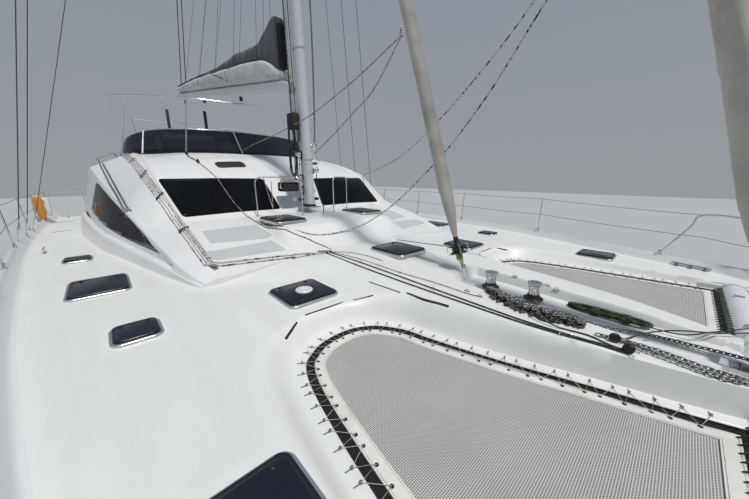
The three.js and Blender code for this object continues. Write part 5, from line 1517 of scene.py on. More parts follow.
def make_mast_fittings():
    """Winches, clutches, halyards led down the mast and the black bags on its side."""
    hard = Build()
    for side, z, back in MAST_WINCHES:
        x = mast_x(z) + back
        hard.box((x - 0.06, side * 0.09 - 0.02, z - 0.07), (x + 0.06, side * 0.09 + 0.03, z + 0.07), 0.01, 1)
        winch(hard, (x, side * 0.118, z), (0, side, 0.12))
    for i, (y, z) in enumerate(MAST_CLUTCHES):
        x = mast_x(z) - 0.05 + 0.02 * (i % 2)
        hard.slab((x, y, z), 0.028, 0.016, -0.09, 0.09, 0.008, 1)
        hard.tube(
            [(x + 0.02, y, z + 0.05), (x + 0.06, y * 1.25, z + 0.0), (x + 0.05, y * 1.3, z - 0.07)], 0.007, 6
        )
    z = 2.98
    x = mast_x(z)
    hard.tube([(x, -0.1, z), (x - 0.02, -0.3, z + 0.01), (x - 0.03, -0.56, z + 0.01)], 0.011, 8)
    hard.tube([(x - 0.03, -0.56, z + 0.01), (x - 0.1, -0.55, z - 0.14), (x - 0.12, -0.4, z - 0.2)], 0.008, 8)
    hoop = [(x + 0.02 + 0.2 * math.cos(t), 0.19 * math.sin(t), 3.28) for t in np.linspace(-1.9, 1.9, 24)]
    hard.tube(hoop, 0.009, 8)
    sheave = [(0, -0.014), (0.03, -0.014), (0.032, 0), (0.03, 0.014), (0, 0.014)]
    for px, py, pz in (
        (mast_x(3.3) + 0.03, 0.15, 3.3), (mast_x(2.7) - 0.02, -0.14, 2.6), (mast_x(2.7), 0.15, 2.6)
    ):
        for out in (0, math.copysign(0.05, py)):
            hard.lathe((px, py + out, pz), AHEAD, sheave, 16, 1)
    hard.piece("mast_winches", "steel black", slot="stainless")
    bag = Build()
    for lo, hi in (((-0.24, -0.235, 0), (0.02, -0.1, 0.3)), ((-0.3, -0.5, -1.17), (-0.02, -0.16, -0.99))):
        corner = Vector((mast_x(4.2), 0, 3.93))
        bag.box(corner + Vector(lo), corner + Vector(hi), 0.035, steps=4)
    bag.piece("mast_line_bags", "rubber", slot="sail_cover")
    lines = Build()
    spread = [
        (-0.15, -0.08), (-0.15, -0.115), (-0.13, -0.155), (-0.165, -0.145), (-0.19, -0.15), (-0.19, -0.05),
        (-0.1, 0.118), (-0.04, 0.125)
    ]
    for i, (dx, y) in enumerate(spread):
        top = 11.5 + 1.4 * (i % 3)
        low = 2.62 if i % 2 else 3.1
        pts = [
            (mast_x(z) + dx * (1 + 0.04 * math.sin(z * 1.7 + i)), y * (1 + 0.06 * math.sin(z * 1.1 + i)), z)
            for z in np.linspace(low, top, 22)
        ]
        lines.tube(pts, 0.0065, 6, i % 4)
    lines.piece("mast_halyards", "dark_rope thin_rope dark_rope rope", slot="dark_rope", sharp=None)


def twisted_line(name, points, mat, turns, twist=0.012):
    """Two strands wound round one another along a line."""
    pts, frames = frames_along(spline(points, turns * 6))
    build = Build()
    for phase in (0, math.pi):
        line = []
        for i, (p, (u, v)) in enumerate(zip(pts, frames)):
            turn = phase + 2 * math.pi * turns * i / len(pts)
            line.append(p + u * twist * math.cos(turn) + v * twist * math.sin(turn))
        build.tube(line, 0.006, 6)
    build.piece(name, mat, slot="dark_rope", sharp=None)


def swing(p):
    """The point turned with the boom, which rests a little to starboard."""
    x, y, z = p
    c, s = math.cos(BOOM_SWING), math.sin(BOOM_SWING)
    return (BOOM_PIVOT + (x - BOOM_PIVOT) * c - y * s, (x - BOOM_PIVOT) * s + y * c, z)


def on_boom(back, side, up):
    """Point at a distance back along the boom, to one side of it and above it."""
    return swing((BOOM_PIVOT - back, side, GOOSENECK_Z + back * BOOM_RISE + up))


def boom_ring(back, half, low, high):
    """Rounded section across the boom."""
    outline = [
        (-half * 0.7, low), (half * 0.7, low), (half, low + 0.06), (half, high - 0.04), (half * 0.6, high),
        (-half * 0.6, high), (-half, high - 0.04), (-half, low + 0.06)
    ]
    return [on_boom(back, y, h) for y, h in filleted(outline, 0.05, 3, closed=True)]


def cloth_rings(rows, count, ripple, folds):
    """Sections eased along the boom, with wrinkles pressed into them."""
    eased_rows = spline([(back, half * 10, low * 10, high * 10) for back, half, low, high in rows], count)
    rings = []
    for back, half, low, high in eased_rows:
        ring = np.array(boom_ring(back, half / 10, low / 10, high / 10))
        away = ring - ring.mean(axis=0)
        j = np.arange(len(ring))
        push = ripple * (
            np.sin(folds * back + j * 0.35) * 0.6 + np.sin(folds * 2.3 * back - j * 0.9 + 1.7) * 0.4
        )
        size = np.linalg.norm(away, axis=1) + 1e-9
        rings.append(ring + away / size[:, None] * (push - ripple)[:, None])
    return rings


def soft_cover(name, rows, count, ripple, folds, mat="bag_dark", slot="sail_cover", stands_for=()):
    """Padded piece that rides the boom."""
    build = Build()
    build.loft(cloth_rings(rows, count, ripple, folds))
    obj = build.piece(name, mat, "boom", slot=slot, sharp=None, stands_for=stands_for)


# Distance back along the boom, half width, and heights of the foot and top over it
BAG_ROWS = [
    (0.3, 0.15, 0.172, 0.33), (0.9, 0.21, 0.167, 0.56), (2.6, 0.23, 0.163, 0.52), (4.6, 0.2, 0.157, 0.43),
    (6.08, 0.15, 0.152, 0.3)
]
STACK_ROWS = [
    (0.3, 0.05, 0.332, 1.2), (0.36, 0.11, 0.36, 1.28), (0.46, 0.13, 0.4, 1.26), (0.7, 0.15, 0.5, 1.08),
    (1.02, 0.17, 0.553, 0.89), (1.4, 0.17, 0.553, 0.84), (2.0, 0.16, 0.54, 0.81), (2.6, 0.13, 0.523, 0.72),
    (3.58, 0.09, 0.483, 0.6)
]
FLAP_ROWS = [(3.4, 0.1, 0.47, 0.62), (4.4, 0.13, 0.42, 0.53), (5.3, 0.12, 0.35, 0.45), (6.1, 0.1, 0.28, 0.37)]
SPAR_ROWS = (
    (0.09, 0.07, -0.055, 0.13), (0.3, 0.12, -0.07, 0.17), (3.0, 0.115, -0.07, 0.16),
    (6.24, 0.11, -0.07, 0.15), (6.27, 0.1, -0.06, 0.14)
)


def make_boom():
    spar = Build()
    spar.loft([boom_ring(*row) for row in SPAR_ROWS])
    spar.upright((BOOM_PIVOT, 0, GOOSENECK_Z - 0.06), disc(0.055, 0.09), 20, 1)
    spar.box(
        (BOOM_PIVOT - 0.14, -0.034, GOOSENECK_Z - 0.05), (BOOM_PIVOT, 0.034, GOOSENECK_Z + 0.03), 0.008, 1
    )
    for back in (2.2, 4.4, 5.9):
        x, y, z = on_boom(back, 0, -0.08)
        spar.slab((x, y, z), 0.04, 0.03, -0.02, 0.03, 0.01, 2)
        spar.lathe((x, y - 0.03, z - 0.055), PORT, disc(0.034, 0.06), 18, 2)
    spar.piece("boom_spar", "spar steel black", "boom", slot="spar_paint", stands_for=["boom"])
    soft_cover("boom_bag", BAG_ROWS, 110, 0.006, 7.0, "bag", "bag_cloth", ["sail_bag"])
    backs, halves, _, tops = zip(*BAG_ROWS)
    seams = Build()
    for back in (0.62, 2.35, 4.1, 5.4):
        half, high = np.interp(back, backs, halves), np.interp(back, backs, tops)
        for k in (-1, 1):
            seams.tube([swing((BOOM_PIVOT - back - 0.05 * t, k * (half + 0.001),
                               GOOSENECK_Z + back * BOOM_RISE + 0.21 + (high - 0.27) * t))
                        for t in np.linspace(0, 1, 6)], 0.006, 6)
    seams.piece("boom_bag_straps", "bag_dark", "boom", slot="sail_cover", sharp=None)
    soft_cover("sail_stack_cover", STACK_ROWS, 80, 0.008, 9.0, stands_for=["mainsail_stack"])
    soft_cover("bag_top_cover", FLAP_ROWS, 50, 0.006, 9.0)
    # Near-black plug in the stack cover's open front: painted shade for the cover's inside
    mouth = Build()
    mouth.loft([boom_ring(back, 0.095, 0.37, high) for back, high in ((0.31, 1.16), (0.285, 1.15))])
    mouth.piece("cover_mouth_shade", "slot", "boom", slot="sail_cover")


def stay_line(line):
    """Foot and head of a headsail's stay, and its direction."""
    foot, top = Vector(line[0]), line[1]
    head = Vector((mast_x(top) + 0.17 + 0.06, 0, top - 0.041))
    return foot, head, (head - foot).normalized()


def make_rolled_sail(name, line, wrap):
    """Rolled headsail: a tapering roll with the wrap's edge winding up it."""
    r_low, r_high = line[2:]
    foot, head, way = stay_line(line)
    length = (head - foot).length
    profile = [
        (0.4203, 0.03), (0.46, 0.034), (0.54, 0.046), (0.75, 0.07), (1.02, r_low),
        (length * 0.3, r_low * 0.97), (length * 0.6, r_low * 0.9), (length - 1.2, r_high),
        (length - 0.9, r_high * 0.7), (length - 0.7, 0.018), (length, 0.016)
    ]
    u = PORT
    v = way.cross(u).normalized()
    rings = []
    for h in [*np.linspace(0.4203, 4.5, 120), *np.linspace(4.6, length, 110)]:
        r = float(np.interp(h, *zip(*profile)))
        ring = []
        for i in range(28):
            turn = 2 * math.pi * i / 28
            around = (turn / (2 * math.pi) - h * wrap) % 1.0
            swell = 0.075 * around + 0.02 * math.sin(h * 9 + 5 * turn) * math.sin(h * 2.1)
            size = r * (0.92 + swell) if r > 0.02 else r
            ring.append(foot + way * h + u * size * math.cos(turn) + v * size * math.sin(turn))
        rings.append(ring)
    build = Build()
    build.loft(rings)
    obj = build.piece(f"{name}_roll", "roll", slot="sailcloth", sharp=50, stands_for=[f"{name}_furled"])


def wound(foot, way, start, rise, count, per_turn, radius, stretch=1.0):
    """Turns of line round a stay."""
    u, v = PORT, way.cross(PORT)
    turns = [i * 2 * math.pi / per_turn for i in range(count)]
    return [foot + way * (start + rise * i / count) + (u * math.cos(t) * stretch + v * math.sin(t)) * radius
            for i, t in enumerate(turns)]


def make_furler(name, line):
    """Fork, drum with its line and four guard bars."""
    foot, _, way = stay_line(line)
    u, v = PORT, way.cross(PORT)
    build = Build()
    build.slab(foot, 0.044, 0.013, -0.18, 0.078, 0.004)
    for k in (-1, 1):
        legs = [foot + Vector((0, k * 0.028, 0.02)), foot + way * 0.12 + Vector((0, k * 0.034, 0)),
                foot + way * 0.24 + Vector((0, k * 0.03, 0))]
        strap = [Vector((a * 0.014, b * 0.004, 0)) for a, b in ((-1, -1), (1, -1), (1, 1), (-1, 1))]
        build.loft([[p + corner for corner in strap] for p in legs])
    build.lathe(
        foot, way, [(0, 0.05), (0.02, 0.05), (0.02, 0.13), (0.012, 0.14), (0.012, 0.2), (0.03, 0.21)], 16
    )
    drum = [
        (0.03, 0.215), (0.098, 0.215), (0.104, 0.222), (0.098, 0.232), (0.062, 0.238), (0.06, 0.29),
        (0.098, 0.296), (0.104, 0.303), (0.098, 0.312), (0.05, 0.318), (0.034, 0.34), (0.03, 0.42)
    ]
    build.lathe(foot, way, drum, 28, 1)
    build.tube(wound(foot, way, 0.245, 0.04, 90, 15, 0.068), 0.006, 6, 2)
    guard = ((0.2, 0.03), (0.21, 0.12), (0.26, 0.128), (0.31, 0.12), (0.33, 0.035))
    for turn in (0.7, 2.3, 3.9, 5.5):
        out = u * math.cos(turn) + v * math.sin(turn)
        build.tube([foot + way * up + out * r for up, r in guard], 0.0045, 6)
    build.piece(f"{name}_drum", "steel black dark_rope", slot="black_fitting",
                stands_for=[f"{name}_furler"])
    if name == "staysail":
        lashing = Build()
        coil = wound(foot, way, 0.13, 0.075, 70, 12, 0.034, 1.2)
        lashing.tube(coil, 0.006, 6)
        tail = spline([coil[-1], foot + Vector((0.03, -0.05, 0.12)), foot + Vector((0.03, -0.06, 0.03))], 12)
        lashing.tube(tail, 0.005, 6)
        lashing.piece("staysail_lashing", "green", slot="green_cord", sharp=None)


def stay_wires(side, k):
    """Wires with their turnbuckles and chainplates."""
    for name, lines in (("shrouds", (CAP_SHROUD, SECOND_SHROUD)), ("runner", (RUNNER,))):
        build = Build()
        for x, y, z, top in lines:
            foot = Vector((x, k * y, z))
            head = Vector((mast_x(top) - 0.05, k * 0.14, top - 0.038))
            way = (head - foot).normalized()
            build.tube([foot, head], 0.0075 if name == "shrouds" else 0.006, 8)
            build.tube(
                [
                    foot + way * 0.03, foot + way * 0.12, foot + way * 0.13, foot + way * 0.3,
                    foot + way * 0.31, foot + way * 0.42
                ],
                [0.013, 0.013, 0.019, 0.019, 0.012, 0.009], 10, 1
            )
            build.slab(foot, 0.03, 0.009, -0.13, 0.05, 0.005, 1)
            build.slab(foot, 0.06, 0.02, -0.03, -0.012, 0.004, 1)
        build.piece(f"{name}_wire_{side}", "wire steel", slot="wire", stands_for=[f"{name}_{side}"])


def make_rig():
    make_mast()
    make_mast_fittings()
    make_boom()
    for name, line, wrap in (("genoa", GENOA, 1.1), ("staysail", STAYSAIL, 1.35)):
        make_furler(name, line)
        make_rolled_sail(name, line, wrap)
    for side, k in SIDES:
        stay_wires(side, k)


# Rails
STANCHION_X = (4.6, 2.6, 0.95, -0.7, -2.9, -4.7)
STANCHION_H = 0.68
RAIL_BOW_X, RAIL_STERN_X = 6.93, -6.5
PULPIT_LEG = 0.38


def rail_foot(x, k):
    return Vector((x, k * (edge_y(x) + 0.078), deck_z(x) + 0.125))


def rail_top(x, k, share=1.0):
    return rail_foot(x, k) + Vector((0, k * 0.045 * share, STANCHION_H * share))


def socket(build, at, mat=0):
    build.box(at - Vector((0.045, 0.028, 0.02)), at + Vector((0.045, 0.028, 0.006)), 0.006, mat)
    build.upright(at, [(0, 0), (0.024, 0), (0.02, 0.05), (0.016, 0.07), (0, 0.07)], 16, mat)


def lifeline(build, points, radius):
    """Wire sagging a little between its posts."""
    line = []
    for a, b in zip(points[:-1], points[1:]):
        for t in np.linspace(0, 1, 9)[:-1]:
            p = a.lerp(b, t)
            line.append((p.x, p.y, p.z - 0.012 * 4 * t * (1 - t)))
    line.append(tuple(points[-1]))
    build.tube(line, radius, 6, 1)


def make_guard_rail(side, k):
    build = Build()
    for x in STANCHION_X:
        socket(build, rail_foot(x, k))
        foot, top = rail_foot(x, k), rail_top(x, k)
        build.tube([foot, foot.lerp(top, 0.6), top], [0.0125, 0.0125, 0.011], 12)
        for share in (1.0, 0.52):
            p = rail_top(x, k, share)
            build.lathe(p, AHEAD, [(0, -0.012), (0.014, -0.012), (0.014, 0.012), (0, 0.012)], 12)
        build.upright(top, [(0.011, 0), (0.014, 0.004), (0.012, 0.014), (0, 0.018)], 12)
    run = [RAIL_BOW_X, *STANCHION_X, RAIL_STERN_X]
    for share in (1.0, 0.52):
        lifeline(build, [rail_top(x, k, share) for x in run], 0.004)
    pulpit(build, k)
    pushpit(build, k)
    build.piece(f"guard_rail_{side}_tubes", "steel wire", slot="stainless", stands_for=[f"guard_rail_{side}"])


def pulpit(build, k):
    tip = 8.25
    tip_foot = Vector((tip, k * (inner_y(tip) + 0.075), deck_z(tip) - 0.01))
    tip_top = Vector((tip + 0.12, k * (inner_y(tip) + 0.06), deck_z(tip) + STANCHION_H + 0.06))
    bow_top = rail_top(RAIL_BOW_X, k)
    mid = Vector((7.5, k * (edge_y(7.5) + 0.09), deck_z(7.5) + 0.13 + STANCHION_H - 0.01))
    leg = rail_foot(RAIL_BOW_X - PULPIT_LEG, k)
    build.tube(spline([leg, leg.lerp(bow_top, 0.7), bow_top, mid, tip_top], 40), 0.0145, 10)
    build.tube([tip_foot, tip_top], 0.0145, 10)
    build.tube([rail_foot(7.5, k), mid], 0.0145, 10)
    low = [rail_top(RAIL_BOW_X, k, 0.52), Vector((7.5, k * (edge_y(7.5) + 0.088), deck_z(7.5) + 0.42)),
           tip_foot.lerp(tip_top, 0.5)]
    build.tube(spline(low, 20), 0.011, 8)
    socket(build, leg)
    socket(build, rail_foot(7.5, k))
    socket(build, tip_foot)


def pushpit(build, k):
    x = -6.9
    aft_top = rail_top(RAIL_STERN_X, k)
    corner = Vector((x, k * (edge_y(x) + 0.08), deck_z(x) + 0.13 + STANCHION_H))
    inboard = Vector((x, k * 3.5, corner.z))
    bend = [corner + Vector(shift) for shift in ((0.12, 0, 0), (0.03, -k * 0.03, 0), (0, -k * 0.12, 0))]
    build.tube(spline([aft_top, *bend, inboard], 24), 0.0145, 10)
    build.tube([rail_foot(RAIL_STERN_X, k), aft_top], 0.0145, 10)
    build.tube([(x, k * 3.5, deck_z(x) - 0.01), inboard], 0.0145, 10)
    socket(build, rail_foot(RAIL_STERN_X, k))


BUOY_X = -5.2


def make_life_buoy():
    """Soft orange case with pale ends beside a white box, tied to the starboard rail."""
    x, y = BUOY_X, -(edge_y(BUOY_X) + 0.1)
    z = deck_z(x) + 0.42
    case = Build()
    side = [
        (0, 0), (0.05, 0.004), (0.085, 0.03), (0.1, 0.1), (0.108, 0.36), (0.1, 0.6), (0.085, 0.67),
        (0.05, 0.71), (0, 0.715)
    ]
    case.upright((x, y, z - 0.36), side, 28)
    case.upright(
        (x, y, z + 0.3), [(0, 0.06), (0.06, 0.055), (0.065, 0.02), (0.09, 0.0), (0.05, -0.01)], 24, 1
    )
    bag = case.piece("life_buoy_case", "orange white_plastic", slot="orange_cover", sharp=60)
    box = Build()
    box.box((x - 0.33, y - 0.02, z - 0.18), (x - 0.14, y + 0.2, z + 0.28), 0.03)
    for dz in (-0.1, 0.2):
        box.tube(
            [(x - 0.1, y + 0.08, z + dz), (x - 0.1, y + 0.1, z + dz + 0.01), (x - 0.36, y + 0.1, z + dz)],
            0.01, 8, 1
        )
    box.piece("life_ring_box", "white_plastic bag_dark", slot="gelcoat")


# Inner foot, outer foot, height of the foot and of the top
MAST_RAIL = ((1.75, 0.36), (1.31, 1.04), 2.335, 3.035)


def make_mast_rail(side, k):
    """Hoop beside the mast; drawn over the frame's own line."""
    inner, outer, low, top = MAST_RAIL

    def at(share, z):
        x, y = (a + (b - a) * share for a, b in zip(inner, outer))
        return (x, k * y, z)

    line = [
        at(0, low - 0.04), at(0, top - 0.4), at(0, top - 0.1), at(0.04, top - 0.03), at(0.13, top),
        at(0.5, top), at(0.87, top), at(0.96, top - 0.03), at(1, top - 0.1), at(1, top - 0.4),
        at(1, low - 0.04)
    ]
    build = Build()
    build.tube(spline(line, 70), 0.0115, 12)
    for share in (0, 1):
        x, y, z = at(share, low)
        build.upright((x, y, z), [(0, 0), (0.034, 0), (0.034, 0.006), (0.016, 0.012), (0.0115, 0.02)], 18)
    build.piece(f"mast_rail_{side}_tube", "steel", slot="stainless", stands_for=[f"mast_rail_{side}"])


# Helm
SCREEN_FOOT = [(-2.7, 2.6), (-2.25, 2.48), (-1.72, 2.05), (-1.48, 1.3), (-1.35, 0.4)]
SCREEN_TOP = [
    (-2.98, 2.52, 3.76), (-2.64, 2.37, 3.99), (-2.28, 1.93, 4.13), (-2.05, 1.2, 4.19), (-1.94, 0.4, 4.21)
]
# Places of the screen's pale dividers and of the lacing on its top: share of the way round
SCREEN_BARS = (0.13, 0.535, 0.87)
RIM_LACING = (0.44, 0.6)
RIM_LACING_TURNS = 17


def both_halves(rows):
    """The port rows from aft forward, then their mirror images back."""
    return rows + [(r[0], -r[1], *r[2:]) for r in reversed(rows)]


def make_windscreen(tree):
    foot = spline([(x, y, 0) for x, y in both_halves(SCREEN_FOOT)], 90)
    top = spline(both_halves(SCREEN_TOP), 90)
    low = []
    for p in foot:
        hit = tree.ray_cast(Vector((p[0], p[1], 6)), -UP)[0]
        low.append((p[0], p[1], (hit.z if hit else 3.6) + 0.012))
    glass, trim = Build(), Build()
    rings = []
    for a, b in zip(low, top):
        a, b = np.array(a), np.array(b)
        inward = np.array([-0.012, -0.012 * np.sign(a[1]) * min(abs(a[1]), 1), 0])
        cols = [a + (b - a) * t for t in np.linspace(0, 1, 6)]
        rings.append(cols + [p + inward for p in reversed(cols)])
    glass.loft(rings)
    glass.piece(
        "helm_windscreen_panel", "screen", slot="tinted_glass", sharp=40, stands_for=["helm_windscreen"]
    )
    trim.tube(top, 0.013, 10)
    trim.tube([(p[0] + 0.01, p[1], p[2] - 0.004) for p in low], 0.01, 8, 1)
    for i in (0, -1):
        trim.tube([low[i], top[i]], 0.011, 8)
    out = Vector((0.012, 0, 0.004))
    for share in SCREEN_BARS:
        i = round(share * (len(low) - 1))
        trim.tube([Vector(low[i]) + out, Vector(top[i]) + out], 0.017, 8, 2)
    first, last = (round(share * (len(top) - 1)) for share in RIM_LACING)
    r = 0.021
    turns = [math.pi * i / 6 for i in range(12 * RIM_LACING_TURNS)]
    laced = zip(spline(top[first:last], len(turns)), turns)
    trim.tube([(x + r * math.cos(t), y, z + r * math.sin(t)) for (x, y, z), t in laced], 0.0055, 6, 2)
    trim.piece("helm_windscreen_rim", "steel rubber white_plastic", slot="stainless", sharp=45)


HELM_TOP = 4.75


def make_helm_frame():
    top = HELM_TOP
    build = Build()
    hoop = [
        (-5.2, -2.0, top), (-4.3, -2.62, top), (-2.3, -2.67, top), (-1.75, -2.15, top),
        (-1.35, -1.2, top + 0.015), (-1.15, 0, top + 0.025), (-1.35, 1.2, top + 0.015), (-1.75, 2.15, top),
        (-2.3, 2.67, top), (-4.3, 2.62, top), (-5.2, 2.0, top)
    ]
    build.tube(filleted(hoop, 0.18, 7), 0.0155, 12)
    for k in (-1, 1):
        build.tube([(-2.3, k * 2.59, 3.5), (-1.935, k * 2.4, top)], 0.0135, 10)
        build.tube([(-1.45, k * 1.48, 3.62), (-1.405, k * 1.34, top + 0.01)], 0.0135, 10)
        build.tube([(-5.15, k * 1.9, 3.7), (-5.15, k * 2.035, top)], 0.0135, 10)
        for x, y, z in ((-2.26, 2.57, 3.54), (-1.45, 1.48, 3.62), (-5.15, 1.9, 3.7)):
            build.upright(
                (x, k * y, z), [(0, 0), (0.036, 0), (0.036, 0.006), (0.02, 0.012), (0.0135, 0.06)], 16
            )
    build.tube([(-5.19, -2.0, top), (-5.19, 2.0, top)], 0.0135, 10)
    build.piece("helm_frame_tubes", "steel", slot="stainless", stands_for=["helm_frame"])
    posts = Build()
    for y0, y1, z1 in ((-1.4, -1.33, 4.86), (-0.46, -0.38, 4.94)):
        posts.box((-3.63, y0, 4.13), (-3.57, y1, z1), 0.02)
    posts.piece("helm_seat_posts", "seat", slot="seat_vinyl")
    lens = Build()
    lens.upright((-2.52, -0.02, 4.12), [(0, 0), (0.05, 0), (0.055, 0.08), (0.035, 0.13), (0, 0.14)], 18)
    lens.box((-2.6, -0.07, 3.99), (-2.44, 0.03, 4.125), 0.01, 1)
    lens.piece("helm_red_lamp", "red white_plastic", slot="gelcoat")


# Middle of the wheel and the radius of its rim
WHEEL = (-2.76, -1.15, 4.01, 0.28)


def make_wheel():
    x, y, z, r = WHEEL
    build = Build()
    turns = np.linspace(0, 2 * math.pi, 61)[:-1]
    rim = [Vector((x - 0.06, y + r * math.cos(t), z + r * math.sin(t))) for t in turns]
    build.loft(tube_ring(rim, 0.0148, AHEAD, 12), caps=False)
    for i in range(5):
        t = i / 5 * 2 * math.pi
        tip = (x - 0.06, y + (r - 0.01) * math.cos(t), z + (r - 0.01) * math.sin(t))
        build.tube([(x - 0.05, y, z), tip], [0.011, 0.007], 10, 1)
    build.lathe(
        (x + 0.059, y, z), (-1, 0, 0),
        [(0, 0), (0.034, 0), (0.034, 0.08), (0.04, 0.1), (0.036, 0.13), (0, 0.135)], 24, 1
    )
    build.piece(
        "helm_wheel", "seat steel", "steering_wheel", slot="black_fitting", stands_for=["steering_wheel"]
    )


# Hulls: x, keel z, half breadth at the waterline, y of the middle
HULL_MID = 3.3
HULL = [
    (8.62, 0.15, 0.03, 3.05), (8.3, -0.33, 0.09, 3.06), (7.5, -0.5, 0.25, 3.08), (6.4, -0.61, 0.42, 3.14),
    (4.6, -0.68, 0.56, 3.26), (2.0, -0.72, 0.65, HULL_MID), (-1.5, -0.72, 0.68, HULL_MID),
    (-4.5, -0.64, 0.68, HULL_MID), (-6.6, -0.43, 0.66, HULL_MID), (-8.0, -0.17, 0.62, HULL_MID),
    (-8.65, -0.04, 0.58, HULL_MID)
]
STERN_STEPS = ((-7.08, 1.15), (-7.42, 0.88), (-7.76, 0.61))
STRAKE = (-6.2, 7.9, 1.415)
# Small windows in the topsides: their middles, length, height and height above the water
PORT_X = (3.4, 1.0, -1.6, -3.4)
PORT_LONG, PORT_HIGH, PORT_Z = 0.62, 0.23, 1.065


def hull_ring(row, k):
    x, keel, half, mid = row
    level = max(0, keel + 0.2)
    outer, inner = edge_y(x) + 0.095, inner_y(x)
    points = [
        (inner, JOINT_Z), (inner, 0.8), (mid - half - 0.02, level + 0.26), (mid - half, level),
        (mid - 0.86 * half, keel * 0.55 + level * 0.45), (mid - 0.48 * half, keel * 0.88 + level * 0.12),
        (mid, keel), (mid + 0.48 * half, keel * 0.88 + level * 0.12),
        (mid + 0.86 * half, keel * 0.55 + level * 0.45), (mid + half, level),
        (mid + half + (outer - mid - half) * 0.62, 0.76), (outer, JOINT_Z)
    ]
    ring = filleted(points, (0, 0.12, 0.1, 0.12, 0.12, 0.12, 0.1, 0.12, 0.12, 0.2, 0.3, 0), 4)
    return [(x, k * y, z) for y, z in ring]


def make_hull(side, k):
    rows = spline([(x, keel * 3, half * 3, mid * 3) for x, keel, half, mid in HULL], 110)
    rings = [hull_ring((x, a / 3, b / 3, c / 3), k) for x, a, b, c in rows]
    tools = []
    for x, z in STERN_STEPS:
        y0, y1 = 2.25, edge_y(x) + 0.095 - 0.11
        lo, hi = sorted((k * y0, k * y1))
        tools.append(box_parts((-8.8, lo, z), (x, hi, JOINT_Z + 0.05), 0))
    data = carved(loft_parts(rings), tools)
    finish_object(f"hull_{side}_shell", data, "hull", sharp=32, slot="gelcoat", stands_for=[f"hull_{side}"])
    pads = Build()
    for x, z in STERN_STEPS:
        y0, y1 = 2.42, edge_y(x) - 0.06
        lo, hi = sorted((k * y0, k * y1))
        pads.box((x - 0.31, lo, z - 0.002), (x - 0.04, hi, z + 0.006), 0.003)
    pads.piece(f"stern_treads_{side}", "step", slot="nonskid_grey")
    strake = Build()
    x0, x1, z = STRAKE
    strake.tube([(x, k * (edge_y(x) + 0.094), z) for x in np.linspace(x0, x1, 60)], 0.013, 8)
    for x in PORT_X:
        y = edge_y(x) + 0.095
        waist = HULL_MID + 0.66
        inner = waist + (y - waist) * 0.62
        rings = []
        for grow, out in ((0.0, -0.02), (0.0, 0.006), (-0.012, 0.009)):
            ring = []
            for px, pz in rounded_box(PORT_LONG + 2 * grow, PORT_HIGH + 2 * grow, 0.07):
                z = PORT_Z + pz
                side_y = inner + (y - inner) * (z - 0.76) / (JOINT_Z - 0.76)
                ring.append((x + px, k * (side_y + out), z))
            rings.append(ring)
        strake.loft(rings, 1)
    strake.piece(f"hull_ports_{side}", "gelcoat acrylic", slot="tinted_glass")


# Solids kept from the frame: finish, and width of their rounded edges
KEPT = {
    "bridge_deck": ("gelcoat", 0.03), "helm_deck": ("gelcoat", 0.018), "saloon_door": ("glass", 0.004),
    "saloon_seat": ("cushion", 0.03), "saloon_table": ("sole", 0.012), "galley_unit": ("liner", 0.012),
    "anchor": ("dull", 0.005),
}
KEPT_PAIRS = {
    "keel": ("antifoul", 0.02), "rudder": ("antifoul", 0.008), "saildrive": ("dull", 0.008),
    "propeller": ("bronze", 0.003)
}


def soften(name, mat, width):
    """Rounds the edges of a solid kept from the frame and sets its finish."""
    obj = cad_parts[name]
    obj.data.materials.clear()
    obj.data.materials.append(M[mat])
    edge = obj.modifiers.new("edge", "BEVEL")
    edge.width, edge.segments = width, 2
    edge.limit_method, edge.angle_limit = "ANGLE", math.radians(32)
    edge.harden_normals = False


def make_kept_nodes():
    for name, (mat, width) in KEPT.items():
        soften(name, mat, width)
    for side, _ in SIDES:
        for name, (mat, width) in KEPT_PAIRS.items():
            soften(f"{name}_{side}", mat, width)


def make_crossbeam():
    x, z, r = 7.32, 1.6, 0.12
    build = Build()
    build.lathe((x, -2.6, z), PORT, [(r, 0), (r, 5.2)], 40)
    cap = [(r * 0.9, 0), (r + 0.009, 0), (r + 0.009, 0.06), (r * 0.9, 0.06)]
    for k in (-1, 1):
        build.lathe((x, k * 2.52, z), (0, k, 0), cap, 40)
    build.box((x - 0.03, -0.012, z), (x + 0.05, 0.012, z + 0.19), 0.004, 1)
    y = -0.15
    for offset in (-0.072, 0.072):
        side = [
            (-0.26, 1.745), (-0.105, 1.745), (-0.06, 1.65), (0.06, 1.65), (0.52, 1.69), (0.5, 1.79),
            (-0.26, 1.8)
        ]
        rings = [[(x + a, y + offset + d, b) for a, b in side] for d in (-0.006, 0.006)]
        build.loft(rings, 1)
    build.box((x - 0.2, y - 0.076, 1.745), (x + 0.33, y + 0.076, 1.757), 0.003, 1)
    roller = [
        (0, 0), (0.036, 0), (0.036, 0.03), (0.02, 0.06), (0.02, 0.096), (0.036, 0.126), (0.036, 0.156),
        (0, 0.156)
    ]
    build.lathe((x + 0.43, y - 0.078, 1.735), PORT, roller, 24, 2)
    for pad in (-2.0, -1.0, 1.0, 2.0):
        build.box((x - 0.05, pad - 0.03, z + 0.11), (x + 0.03, pad + 0.03, z + 0.128), 0.004, 1)
    build.piece("crossbeam_tube", "spar steel rubber", slot="alloy", stands_for=["forward_crossbeam"])


CAPSTAN_Z = 1.812


